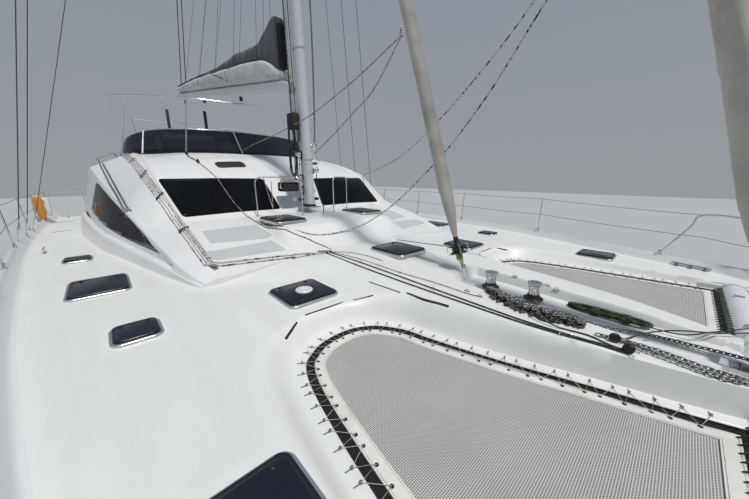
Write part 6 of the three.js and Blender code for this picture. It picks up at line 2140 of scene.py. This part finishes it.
def make_capstan(name, x):
    """Vertical drum with a ribbed waist and a flared crown."""
    z = CAPSTAN_Z
    build = Build()
    foot = [
        (0, 0.001), (0.094, 0.001), (0.095, 0.008), (0.088, 0.015), (0.066, 0.022), (0.06, 0.034),
        (0.058, 0.056)
    ]
    build.upright((x, 0, z), foot, 36, 1)
    drum = [
        (0.044, 0.054), (0.052, 0.056), (0.048, 0.078), (0.046, 0.1), (0.05, 0.13), (0.06, 0.153),
        (0.072, 0.165), (0.074, 0.172), (0.07, 0.18), (0.04, 0.184), (0, 0.185)
    ]
    build.upright((x, 0, z), drum, 40)
    for i in range(10):
        t = 2 * math.pi * i / 10
        c, s = math.cos(t), math.sin(t)
        rib = [(0.053, 0.06), (0.049, 0.092), (0.054, 0.134), (0.067, 0.161)]
        build.tube([(x + r * c, r * s, z + h) for r, h in rib], [0.004, 0.005, 0.005, 0.003], 6)
    for i in range(6):
        t = 2 * math.pi * i / 6
        build.upright((x + 0.03 * math.cos(t), 0.03 * math.sin(t), z + 0.182), disc(0.006, 0.0045), 8, 1)
    return build.piece(name + "_drum", "steel black", name, slot="stainless", stands_for=[name])


# Ropes and ground tackle
def laid(points, lift):
    """Plan points laid on the deck."""
    return [(x, y, ground(x, y) + lift) for x, y in points]


def rope(name, points, mat, radius):
    build = Build()
    build.tube(spline(points, int(min(max(run_length(points) / 0.04, 20), 150))), radius, 8)
    build.piece(name, mat, slot="white_rope", sharp=None)


# Headsail sheets, from the clews to the roof, the mast and the apron
STAYSAIL_CLEW = (3.97, -0.118, 4.716)
GENOA_CLEW = (6.24, -0.02, 5.42)
STAYSAIL_SHEETS = {
    "starboard": [
        STAYSAIL_CLEW, (3.014, -0.15, 4.383), (1.966, -0.185, 4.106), (1.194, -0.211, 3.979),
        (0.335, -0.24, 3.873), (-0.6, -0.27, 3.775), (-1.3, -0.29, 3.67)
    ],
    "port": [
        STAYSAIL_CLEW, (3.415, -0.063, 4.241), (2.905, -0.012, 4.025), (2.306, 0.047, 3.784),
        (1.51, 0.125, 3.5)
    ]
}
GENOA_SHEETS = {
    "port": [
        GENOA_CLEW, (5.305, 0.366, 4.755), (4.91, 0.528, 4.487), (4.342, 0.763, 4.175), (3.747, 1.008, 3.895),
        (2.512, 1.518, 3.439), (0.691, 2.269, 3.135), (0.2, 2.46, 3.11), (-0.4, 2.7, 3.09)
    ],
    "starboard": [
        GENOA_CLEW, (5.548, 0.008, 4.543), (5.311, 0.017, 4.21), (5.04, 0.028, 3.847), (4.569, 0.046, 3.34),
        (3.882, 0.074, 2.776), (3.364, 0.094, 2.45), (2.86, 0.1, 2.2), (2.79, -0.43, 2.135),
        (2.74, -0.75, 2.16), (2.6, -0.97, 2.235), (2.3, -1.14, 2.295), (1.65, -1.2, 2.3)
    ]
}


def make_sheets():
    for side, line in STAYSAIL_SHEETS.items():
        rope(f"staysail_sheet_{side}", line, "thin_rope", 0.0075)
    for side, line in GENOA_SHEETS.items():
        rope(f"genoa_sheet_{side}", line, "rope", 0.0085)
    knot = Build()
    for clew in (STAYSAIL_CLEW, GENOA_CLEW):
        coil = [
            (clew[0] + 0.02 * math.cos(t), clew[1] + 0.02 * math.sin(t), clew[2] - 0.02 + 0.008 * t)
            for t in np.linspace(0, 12, 40)
        ]
        knot.tube(coil, 0.009, 8)
    knot.piece("clew_knots", "rope", slot="white_rope", sharp=None)


# Lines led over the starboard wing to the helm: the outer and the inner one
WING_LINE_OUT = [
    (-2.28, -2.595, 3.535), (-1.137, -2.563, 3.328), (0.075, -2.533, 3.03), (0.774, -2.446, 2.69),
    (1.249, -2.385, 2.44), (1.806, -2.372, 2.285), (2.376, -2.358, 2.14), (2.811, -2.335, 1.995)
]
WING_LINE_IN = [(-2.28, -2.5, 3.56), (-0.846, -2.483, 3.335), (0.293, -2.44, 3.04), (0.829, -2.344, 2.71),
                (1.123, -2.27, 2.47), (1.788, -2.262, 2.3), (2.309, -2.25, 2.155), (2.735, -2.235, 2.04)]
CROSS_BACK = [(2.735, -2.235), (2.85, -1.85), (2.97, -1.42), (3.1, -1.05), (3.2, -0.8)]
CROSS_FRONT = [(2.83, -2.335), (2.93, -1.9), (3.07, -1.42), (3.19, -1.05), (3.25, -0.87)]
WING_CLIPS = (0.225, 0.45, 0.596, 0.81)
WING_LANES = 4


def between_lines(a, b, share, count):
    return spline(a, count) * (1 - share) + spline(b, count) * share


def above_roof(tree, x, y, z, lift):
    """The point itself, or one just over the roof where the roof is higher."""
    return Vector((x, y, max(z, on_roof(tree, x, y).z + lift)))


# Line from the windscreen's foot over the starboard front window to the apron
ROOF_LINE = [
    (-0.9, -1.6), (-0.55, -1.62), (-0.176, -1.56), (0.361, -1.46), (0.646, -1.42), (0.957, -1.34),
    (1.188, -1.24), (1.62, -1.22), (1.886, -1.215), (2.32, -1.19), (2.62, -1.08), (2.83, -0.85), (3.12, -0.68)
]
ROOF_LINE_END = 3.08
ROOF_CLUTCH = (-0.2, -1.56)
# The two light lines down the starboard front window: their tops, and the foot that they share
WINDOW_LINE_TOPS = ((0.588, -0.581), (0.665, -0.45))
WINDOW_LINE_FOOT = (1.12, -0.665)


def make_roof_line(tree):
    build = Build()
    line = spline(ROOF_LINE, 120)
    build.tube(
        [on_roof(tree, x, y, 0.012) if x < ROOF_LINE_END else (x, y, ground(x, y) + 0.012) for x, y in line],
        0.0065, 8
    )
    for top in WINDOW_LINE_TOPS:
        run = spline([top, WINDOW_LINE_FOOT], 20)
        build.tube([on_roof(tree, x, y, 0.014) for x, y in run], 0.008, 8)
    build.piece("roof_line", "thin_rope", slot="white_rope", sharp=None)
    hard = Build()
    for (x, y), half in ((ROOF_CLUTCH, 0.07), ((-0.86, -1.6), 0.04)):
        spot = on_roof(tree, x, y)
        slope = Matrix.Rotation(math.radians(14), 3, "Y")
        hard.box(spot - Vector((half, 0.022, 0.004)), spot + Vector((half, 0.022, 0.035)), 0.006, 0, slope)
        hard.box(
            spot + Vector((0.0, -0.012, 0.03)), spot + Vector((half * 0.9, 0.012, 0.06)), 0.006, 0, slope
        )
    hard.tube([on_roof(tree, x, y, 0.016) for x, y in line[2:18]], 0.009, 8)
    hard.piece("roof_clutches", "black", slot="black_fitting")


def make_wing_lines(tree):
    """Four flecked lines on the roof, their clips, and the run across the apron."""
    build = Build()
    for i in range(WING_LANES):
        share = i / (WING_LANES - 1)
        line = between_lines(WING_LINE_OUT, WING_LINE_IN, share, 90)
        build.tube([above_roof(tree, x, y, z + 0.01, 0.009) for x, y, z in line], 0.0075, 8, i % 2)
        pair = 0.1 * (i % 2) + 0.75 * (i // 2)
        cross = between_lines(CROSS_FRONT, CROSS_BACK, pair, 44)
        heights = [max(on_roof(tree, x, y).z if x < 3.1 else 0, ground(x, y)) + 0.014 for x, y in cross]
        build.tube([(x, y, z) for (x, y), z in zip(cross, heights)], 0.0072, 8, i % 2)
    build.piece("wing_lines", "rope lacing", slot="white_rope", sharp=None)
    clips = Build()
    outer, inner = spline(WING_LINE_OUT, 90), spline(WING_LINE_IN, 90)
    for share in WING_CLIPS:
        i = int(share * 89)
        a, b = above_roof(tree, *outer[i], 0.0), above_roof(tree, *inner[i], 0.0)
        over = (b - a).normalized() * 0.02
        arch = [
            a - over - Vector((0, 0, 0.01)), a - over + Vector((0, 0, 0.022)),
            a.lerp(b, 0.5) + Vector((0, 0, 0.03)), b + over + Vector((0, 0, 0.022)),
            b + over - Vector((0, 0, 0.01))
        ]
        clips.loft([[(x - 0.03, y, z), (x + 0.03, y, z), (x + 0.03, y, z + 0.006), (x - 0.03, y, z + 0.006)]
                    for x, y, z in spline(arch, 16)])
    clips.piece("wing_line_clips", "black", slot="black_fitting")


def make_front_cap():
    build = Build()
    build.lathe(
        (3.085, -2.25, 1.86), (0.98, -0.1, 0.15),
        [(0, 0), (0.032, 0), (0.03, 0.006), (0.02, 0.009), (0, 0.009)], 24
    )
    build.piece("roof_front_cap", "dull", slot="stainless")


SHEAVES = 4


def organiser(name, at, along):
    """Row of small sheaves between two plates."""
    build = Build()
    way = Vector((along[0], along[1], 0)).normalized()
    turn = Matrix.Rotation(math.atan2(way.y, way.x), 3, "Z")
    at = Vector(at)
    half = 0.026 * SHEAVES
    for up, thick in ((0.0, 0.006), (0.026, 0.005)):
        build.box(at + Vector((-half, -0.032, up)), at + Vector((half, 0.032, up + thick)), 0.0025, 0, turn)
    for i in range(SHEAVES):
        spot = at + way * (0.052 * (i - (SHEAVES - 1) / 2)) + Vector((0, 0, 0.006))
        build.upright(spot, [(0, 0), (0.022, 0), (0.015, 0.005), (0.014, 0.01), (0.015, 0.015), (0.022, 0.02),
                                      (0, 0.02)], 20, 1)
        build.upright(spot + Vector((0, 0, 0.025)), [(0, 0), (0.006, 0), (0.005, 0.004), (0, 0.005)], 10, 2)
    build.piece(name, "alloy black steel", slot="alloy")


# Furling lines led aft along the walkway's starboard side: a close dark pair and a light one
FURLING_LINES = (
    [
        (3.24, -0.8), (3.9, -0.762), (4.565, -0.728), (5.022, -0.714), (5.414, -0.708), (5.721, -0.7),
        (5.951, -0.688), (6.271, -0.648), (6.45, -0.61), (6.6, -0.58)
    ],
    [
        (3.24, -0.86), (3.9, -0.853), (4.648, -0.82), (5.078, -0.79), (5.447, -0.764), (5.884, -0.73),
        (6.2, -0.682), (6.42, -0.635), (6.6, -0.6)
    ],
    [
        (3.22, -0.77), (3.8, -0.68), (4.484, -0.635), (4.854, -0.58), (5.115, -0.56), (5.363, -0.555),
        (5.455, -0.53)
    ]
)
LOCKER_LINE = [(3.22, -0.79), (3.47, -0.6), (3.75, -0.52), (4.05, -0.5)]
DRUM_LINE = [(4.86, 0.07, 2.18), (4.5, 0.22, 2.12), (4.1, 0.37, 2.06), (3.75, 0.45, 2.02), (3.4, 0.5, 1.99)]
LINE_LEADS = ((3.9, -0.762), (3.9, -0.853), (5.022, -0.714), (5.078, -0.79), (6.271, -0.648), (6.2, -0.682),
              (4.484, -0.635))


def make_walkway_lines():
    build = Build()
    for i, line in enumerate(FURLING_LINES):
        build.tube(spline(laid(line, 0.009), 90), 0.0068 if i < 2 else 0.0045, 8, 1 if i < 2 else 0)
    build.tube(spline(laid(LOCKER_LINE, 0.009), 24), 0.0045, 8)
    build.tube(spline(DRUM_LINE, 40), 0.0055, 8, 1)
    build.piece("furling_lines", "thin_rope dark_rope", slot="dark_rope", sharp=None)
    leads = Build()
    for x, y in LINE_LEADS:
        z = ground(x, y)
        leads.slab((x, y, z), 0.02, 0.014, -0.002, 0.005, 0.003, 0)
        eye = [
            (x, y + 0.013 * math.cos(t), z + 0.011 + 0.012 * math.sin(t))
            for t in np.linspace(-0.9, math.pi + 0.9, 18)
        ]
        leads.tube(eye, 0.0035, 8)
    leads.piece("line_leads", "steel", slot="stainless")


def line_block(build, at, way):
    """Turning block: two cheeks, a sheave and a shackle; way is where its eye points."""
    size = 0.035
    at, way = Vector(at), Vector(way).normalized()
    across = UP.cross(way).normalized()
    for k in (-1, 1):
        build.lathe(
            at + across * k * 0.011 - across * 0.003, across,
            [(0, 0), (size * 0.8, 0), (size, 0.002), (size, 0.005), (size * 0.7, 0.007), (0, 0.007)], 22, 0
        )
    build.lathe(
        at - across * 0.007, across,
        [(0, 0), (size * 0.82, 0), (size * 0.66, 0.007), (size * 0.82, 0.014), (0, 0.014)], 20, 1
    )
    eye = [
        at + way * (size + 0.012 + 0.014 * math.cos(t)) + across * 0.012 * math.sin(t)
        for t in np.linspace(0, 6.28, 20)
    ]
    build.tube(eye, 0.0035, 8, 2)


# Slack line lying on the walkway, humped where it crosses itself
TANGLE = [
    (5.42, -0.33), (5.55, -0.42), (5.68, -0.47), (5.8, -0.45), (5.92, -0.5), (6.03, -0.57), (6.12, -0.53),
    (6.1, -0.45), (6.0, -0.43), (5.92, -0.47), (5.95, -0.56), (6.08, -0.61), (6.22, -0.58), (6.36, -0.55),
    (6.5, -0.58), (6.6, -0.57)
]
SLACK_D = 0.012
# Middle of the green hank, half length of its straight runs, its thickness and its turns
HANK = (6.37, 0.195, 1.757)
HANK_RUN = 0.25
HANK_D = 0.014
HANK_TURNS = 3


def neighbours(values, reach=4):
    """The values around each place in a list."""
    return [values[max(0, i - reach):i + reach + 1] for i in range(len(values))]


def make_slack_line():
    line = spline(TANGLE, 150)
    step = float(np.linalg.norm(line[1] - line[0]))
    heights = []
    for i, (x, y) in enumerate(line):
        gap = [float(np.linalg.norm(line[j] - line[i])) for j in range(max(0, i - int(0.1 / step)))]
        over = 2.1 * SLACK_D if gap and min(gap) < 0.045 else 0.0
        heights.append(ground(x, y) + 0.55 * SLACK_D + over)
    humps = [max(near) for near in neighbours(heights)]
    smooth = [sum(near) / len(near) for near in neighbours(humps)]
    path = [(float(x), float(y), float(z)) for (x, y), z in zip(line, smooth)]
    build = Build()
    build.tube(path, SLACK_D / 2, 8)
    obj = build.piece("slack_line", "dark_rope", slot="dark_rope", sharp=None)


def make_hank():
    """The green rope: an oval coil of two layers, out along the bottom and back on top, tied twice."""
    x0, y0, floor = HANK
    path = []
    count = 2 * HANK_TURNS * 26
    for i in range(count + 1):
        turns = i / 26
        lane = turns if turns < HANK_TURNS else 2 * HANK_TURNS - turns
        layer = min(max((turns - HANK_TURNS + 0.5), 0), 1)
        a = 2 * math.pi * turns
        half = (2.3 + 1.12 * lane) * HANK_D
        x = x0 + HANK_RUN * math.erf(1.5 * math.cos(a)) + half * math.cos(a)
        y = y0 + half * math.sin(a)
        lift = 1.1 * HANK_D * (0.5 - 0.5 * math.cos(math.pi * layer))
        path.append((x, y, floor + 1.6 * HANK_D + lift))
    build = Build()
    build.tube(path, HANK_D / 2, 8)
    obj = build.piece("green_hank", "dark_green", slot="green_cord", sharp=None)
    ties = Build()
    for along in (-0.11, 0.12):
        wrap = []
        for t in np.linspace(0, 10 * math.pi, 130):
            wrap.append(
                (
                    x0 + along + 0.011 * t / (2 * math.pi), y0 + 0.088 * math.cos(t),
                    floor + 0.0305 + 0.0235 * math.sin(t)
                )
            )
        ties.tube(wrap, 0.0045, 6)
    tie = ties.piece("green_hank_ties", "dark_green", slot="green_cord", sharp=None)


# Rope coils hung on the mast: place from its axis and height, drop, turns
MAST_COILS = (("mast_coil_low", (-0.2, -0.17, 3.62), 0.5, 8), ("mast_coil_high", (-0.13, -0.2, 4.0), 0.36, 6))
COIL_D = 0.012


def make_mast_coils():
    """Long loops side by side, each a little longer than the last."""
    for name, (dx, dy, top), drop, turns in MAST_COILS:
        x0 = mast_x(top) + dx
        path = []
        out = -turns / 2 * 1.2 * COIL_D
        along = -turns / 2 * 0.9 * COIL_D
        crest = Vector((x0 + along * 0.73 + out * 0.68, dy + along * 0.68 - out * 0.73, top))
        cleat = Vector((mast_x(top) - 0.075, -0.09, top - 0.01))
        path.extend(tuple(cleat.lerp(crest, share)) for share in (0.0, 0.35, 0.7))
        count = turns * 24
        for i in range(count + 1):
            a = 2 * math.pi * i / 24
            lane = i / 24
            half = drop / 2 * (1 + 0.03 * lane)
            wide = 0.055 + 0.004 * math.sin(3 * lane)
            out = (lane - turns / 2) * 1.2 * COIL_D
            along = (lane - turns / 2) * 0.9 * COIL_D - wide * math.sin(a)
            drop_by = half - wide * math.cos(a) - (half - wide) * math.erf(1.8 * math.cos(a)) / math.erf(1.8)
            path.append((x0 + along * 0.73 + out * 0.68, dy + along * 0.68 - out * 0.73, top - drop_by))
        build = Build()
        build.tube(path, COIL_D / 2, 8)
        obj = build.piece(name, "dark_rope", slot="dark_rope", sharp=None)


# Turning blocks at the front of the walkway, and small eyes on the deck
BLOCKS = ((6.51, -0.5, (1, 0.3, 0)), (6.6, -0.59, (1, -0.2, 0)))
DECK_EYES = ((5.45, -0.52), (5.457, 0.33), (5.909, 0.31), (5.808, 0.33), (5.298, -0.5))


def make_blocks():
    blocks = Build()
    for x, y, way in BLOCKS:
        line_block(blocks, (x, y, ground(x, y) + 0.037), way)
    blocks.piece("walkway_blocks", "black dull steel", slot="black_fitting")
    eyes = Build()
    for x, y in DECK_EYES:
        z = ground(x, y)
        eyes.slab((x, y, z), 0.032, 0.014, -0.003, 0.004, 0.002)
        hoop = [
            (x + 0.02 * math.cos(t), y, z + 0.004 + 0.018 * math.sin(t)) for t in np.linspace(0, math.pi, 14)
        ]
        eyes.tube(hoop, 0.0035, 8)
    eyes.piece("deck_eyes", "steel", slot="stainless")


CHAIN_PITCH = 0.042
CHAIN_WIRE = 0.0055


def chain(build, points, mat=0):
    """Links set on edge and flat by turns along a line."""
    fine = spline(points, 400)
    run = np.concatenate([[0], np.cumsum(np.linalg.norm(np.diff(fine, axis=0), axis=1))])
    count = int(run[-1] / (CHAIN_PITCH * 0.72))
    turns = np.linspace(0, 2 * math.pi, 15)[:-1]
    for i in range(count):
        at = (i + 0.5) * run[-1] / count
        p, q = (Vector([float(np.interp(a, run, fine[:, k])) for k in range(3)]) for a in (at, at + 0.01))
        way = (q - p).normalized()
        side = way.cross(UP).normalized()
        tilt = 0.35 + (math.pi / 2 if i % 2 else 0) + rng.uniform(-0.15, 0.15)
        u = side * math.cos(tilt) + way.cross(side) * math.sin(tilt)
        link = [
            p + way * (CHAIN_PITCH * 0.5 * math.cos(t)) + u * (CHAIN_PITCH * 0.33 * math.sin(t))
            for t in turns
        ]
        build.loft(tube_ring(link, CHAIN_WIRE, way.cross(u)), mat, caps=False)


# Anchor chain heaped by the capstans and laid along the trough, and the second one beside it
CHAINS = (
    [
        (5.42, -0.15, 1.815), (5.5, -0.22, 1.81), (5.58, -0.13, 1.81), (5.63, -0.23, 1.81),
        (5.7, -0.13, 1.835), (5.66, -0.2, 1.845), (5.78, -0.2, 1.81), (5.9, -0.14, 1.795), (6.1, -0.09, 1.79),
        (6.36, -0.13, 1.785), (6.68, 0.0, 1.775), (6.96, 0.06, 1.77), (7.19, 0.03, 1.79), (7.4, 0.0, 1.79)
    ],
    [
        (6.5, -0.43, 1.865), (6.66, -0.48, 1.86), (6.86, -0.48, 1.845), (7.04, -0.46, 1.82),
        (7.2, -0.38, 1.79), (7.42, -0.3, 1.72)
    ],
    [
        (6.4, -0.5, 1.865), (6.6, -0.45, 1.862), (6.78, -0.42, 1.85), (6.98, -0.41, 1.83), (7.16, -0.34, 1.8),
        (7.36, -0.26, 1.74)
    ]
)
# Heap of chain on the walkway's starboard side: the line down its middle and how far it strays
HEAP_LINE = [(5.45, -0.33), (5.62, -0.42), (5.85, -0.48), (6.05, -0.47), (6.3, -0.44)]
HEAP_REACH = (0.05, 0.11, 0.1, 0.09, 0.05)
HEAP_LAYERS = 3


def heap_line(layer):
    """Zigzag across the heap; each layer lies on the one below."""
    spread = spline([(*p, r) for p, r in zip(HEAP_LINE, HEAP_REACH)], 46)
    out = []
    for i, (x, y, reach) in enumerate(spread):
        shrink = 1 - 0.28 * layer
        side = (1 if i % 2 else -1) * reach * shrink * rng.uniform(0.5, 1.0)
        at = (x + rng.uniform(-0.02, 0.02), y + side)
        out.append((*at, ground(*at) + 0.012 + 0.02 * layer + rng.uniform(0, 0.006)))
    return out


def make_chains():
    build = Build()
    for line in CHAINS:
        chain(build, line)
    for layer in range(HEAP_LAYERS):
        chain(build, heap_line(layer), 1 if layer < 2 else 0)
    build.piece("anchor_chains", "dull old_chain", slot="galvanised", sharp=None)
    lines = Build()
    anchor_lines = (
        [(6.63, 0.19, 1.77), (6.86, 0.19, 1.78), (7.03, 0.3, 1.83), (7.26, 0.62, 1.84), (7.34, 0.8, 1.845)],
        [
            (6.55, -0.44, 1.86), (6.7, -0.12, 1.86), (6.86, 0.1, 1.85), (7.03, 0.26, 1.84), (7.26, 0.5, 1.84),
            (7.34, 0.62, 1.845)
        ]
    )
    for line in anchor_lines:
        lines.tube(spline(line, 40), 0.0055, 6)
    lines.piece("bridle_lines", "dark_rope", slot="dark_rope", sharp=None)


# Anti-slip strips round the starboard and port wells: ends in plan, mirrored
GRIP_STRIPS = [
    ((4.605, 2.194), (4.488, 2.021)), ((4.436, 1.909), (4.45, 1.475)), ((4.483, 1.368), (4.59, 1.18)),
    ((4.36, 1.03), (4.8, 0.985)), ((4.86, 0.95), (5.32, 0.87))
]
SIDE_SLOTS = [((-3.17, 4.06), (-3.42, 3.77)), ((-5.17, 4.26), (-5.64, 3.79))]
STRIP_WIDE = 0.014
SLOT_WIDE = 0.024


def deck_strip(build, a, b, wide, lift):
    """Thin flat strip lying on the deck between two plan points."""
    a, b = np.array(a), np.array(b)
    way = (b - a) / np.linalg.norm(b - a)
    side = np.array([-way[1], way[0]]) * wide / 2
    count = max(3, int(np.linalg.norm(b - a) / 0.04))
    rings = []
    for t in np.linspace(0, 1, count):
        p = a + (b - a) * t
        left, right = p + side, p - side
        zl, zr = (ground(*q) + lift for q in (left, right))
        rings.append([(*left, zl), (*right, zr), (*right, zr - 0.006), (*left, zl - 0.006)])
    build.loft(rings)


def make_deck_strips():
    build = Build()
    for a, b in GRIP_STRIPS:
        deck_strip(build, a, b, STRIP_WIDE, 0.0025)
    for a, b in SIDE_SLOTS:
        deck_strip(build, a, b, SLOT_WIDE, 0.004)
    build.mirrored()
    build.piece("deck_strips", "strip", slot="black_fitting", sharp=40)


# Lazy jacks: distance back along the boom, side and height over it; their height on the mast
LAZY_JACKS = [(0.5, -0.1, 1.1), (1.0, -0.17, 0.6), (2.0, -0.2, 0.55), (3.0, -0.2, 0.5), (4.0, -0.19, 0.46),
              (5.2, -0.16, 0.35), (1.4, 0.2, 0.55), (2.6, 0.2, 0.5), (4.0, 0.19, 0.46), (5.2, 0.16, 0.35)]
JACK_TOP = 12.0
# Heights on the mast passed along with the lines, the end above their tops; the lines are baked in place and
# do not turn with the boom
JACK_BEND = (9.6, 15.0)
TOPPING_BEND = (10.8, 31.7)
# Topping lifts: feet as distance back along the boom and side; height of the crane, its reach aft
TOPPING_FEET = ((5.84, -0.1), (5.45, -0.1))
TOPPING_TOP = 23.69
TOPPING_AFT = 0.45


def boom_lines(name, pairs, count, radius, mat, bend):
    """Taut lines from the boom to the mast, baked in place."""
    build = Build()
    for low, high in pairs:
        build.tube([Vector(low).lerp(Vector(high), t) for t in np.linspace(0, 1, count)], radius, 6)
    start, end = ((BOOM_PIVOT, 0, z) for z in bend)
    build.piece(name, mat, ("boom", "root", start, end), slot="dark_rope", sharp=None)


def make_lazy_jacks():
    pairs = [
        (on_boom(back, y, up), (mast_x(JACK_TOP) - 0.22, y * 0.6, JACK_TOP)) for back, y, up in LAZY_JACKS
    ]
    boom_lines("lazy_jacks", pairs, 34, 0.0035, "dark_rope", JACK_BEND)
    ties = Build()
    back, side, low, high = 3.3, -0.242, 0.2, 0.48
    ties.tube(
        [
            swing(
                (BOOM_PIVOT - back + 0.75 * t, side, GOOSENECK_Z + back * BOOM_RISE + high - (high - low) * t)
            )
            for t in np.linspace(0, 1, 14)
        ],
        0.012, 6
    )
    ties.piece("bag_straps", "bag_dark", "boom", slot="sail_cover", sharp=None)


def make_topping_lifts():
    x = mast_x(TOPPING_TOP)
    pairs = [(on_boom(back, y, 0), (x - TOPPING_AFT, 0.2 * y, TOPPING_TOP)) for back, y in TOPPING_FEET]
    boom_lines("topping_lifts", pairs, 40, 0.011, "rubber", TOPPING_BEND)
    crane = Build()
    crane.box((x - TOPPING_AFT - 0.04, -0.03, TOPPING_TOP), (x - 0.07, 0.03, TOPPING_TOP + 0.045), 0.006)
    crane.piece("masthead_crane", "alloy", slot="alloy")


def make_mast_lines():
    twisted = [(mast_x(9.0) + 0.14, 0.2, 9.0), (mast_x(6) + 0.17, 0.2, 6.0), (mast_x(4.2) + 0.13, 0.17, 4.2),
               (mast_x(3.7) + 0.12, 0.14, 3.7)]
    twisted_line("twisted_halyard", twisted, "dark_rope", 34)
    build = Build()
    tail = [
        (mast_x(3.1) + 0.1, 0.15, 3.1), (mast_x(2.8) + 0.16, 0.12, 2.8), (1.78, 0.08, 2.5), (1.84, 0.05, 2.36)
    ]
    build.tube(spline(tail, 24), 0.009, 8)
    build.piece("mast_tail", "dark_rope", slot="dark_rope", sharp=None)


# Posts of the chocks on each bow's outer deck edge
CHOCK_X = (6.78, 6.93, 7.08)


def make_bow_chocks():
    build = Build()
    for x in CHOCK_X:
        y = edge_y(x) + 0.02
        z = ground(x, y)
        build.box((x - 0.012, y - 0.05, z - 0.01), (x + 0.012, y + 0.03, z + 0.06), 0.004)
    ends = [(x, edge_y(x), ground(x, edge_y(x))) for x in (6.72, 7.14)]
    for out, up in ((-0.025, 0.052), (0.02, 0.052), (-0.002, 0.025)):
        build.tube([(x, y + 0.02 + out, z + up) for x, y, z in ends], 0.009, 8)
    build.mirrored()
    build.piece("bow_chocks", "dull", slot="stainless")


FLOOR_HALF = 60


def make_floor():
    build = Build()
    build.add(
        [(a * FLOOR_HALF, b * FLOOR_HALF, 0) for a, b in ((-1, -1), (1, -1), (1, 1), (-1, 1))], [(0, 1, 2, 3)]
    )
    build.piece("floor", "floor", body=None, sharp=None)


make_camera()
make_slack_line()
make_hank()
make_mast_coils()
make_light()
make_floor()
make_deck()
roof_tree = make_roof()
make_roof_details(roof_tree)
make_hatches()
make_cleats()
make_nets()
make_rig()
for side, k in SIDES:
    make_guard_rail(side, k)
    make_mast_rail(side, k)
    make_hull(side, k)
make_life_buoy()
make_windscreen(roof_tree)
make_helm_frame()
make_wheel()
make_crossbeam()
make_capstan("capstan_aft", 5.32)
make_capstan("capstan_fore", 5.78)
make_kept_nodes()
make_sheets()
make_roof_line(roof_tree)
make_wing_lines(roof_tree)
make_front_cap()
organiser("organiser_outer", (2.85, -2.27, 1.975), (1.0, 0.35))
organiser("organiser_inner", (3.2, -0.85, ground(3.2, -0.85)), (0.6, 0.8))
make_walkway_lines()
make_blocks()
make_chains()
make_deck_strips()
make_lazy_jacks()
make_mast_lines()
make_topping_lifts()
make_bow_chocks()
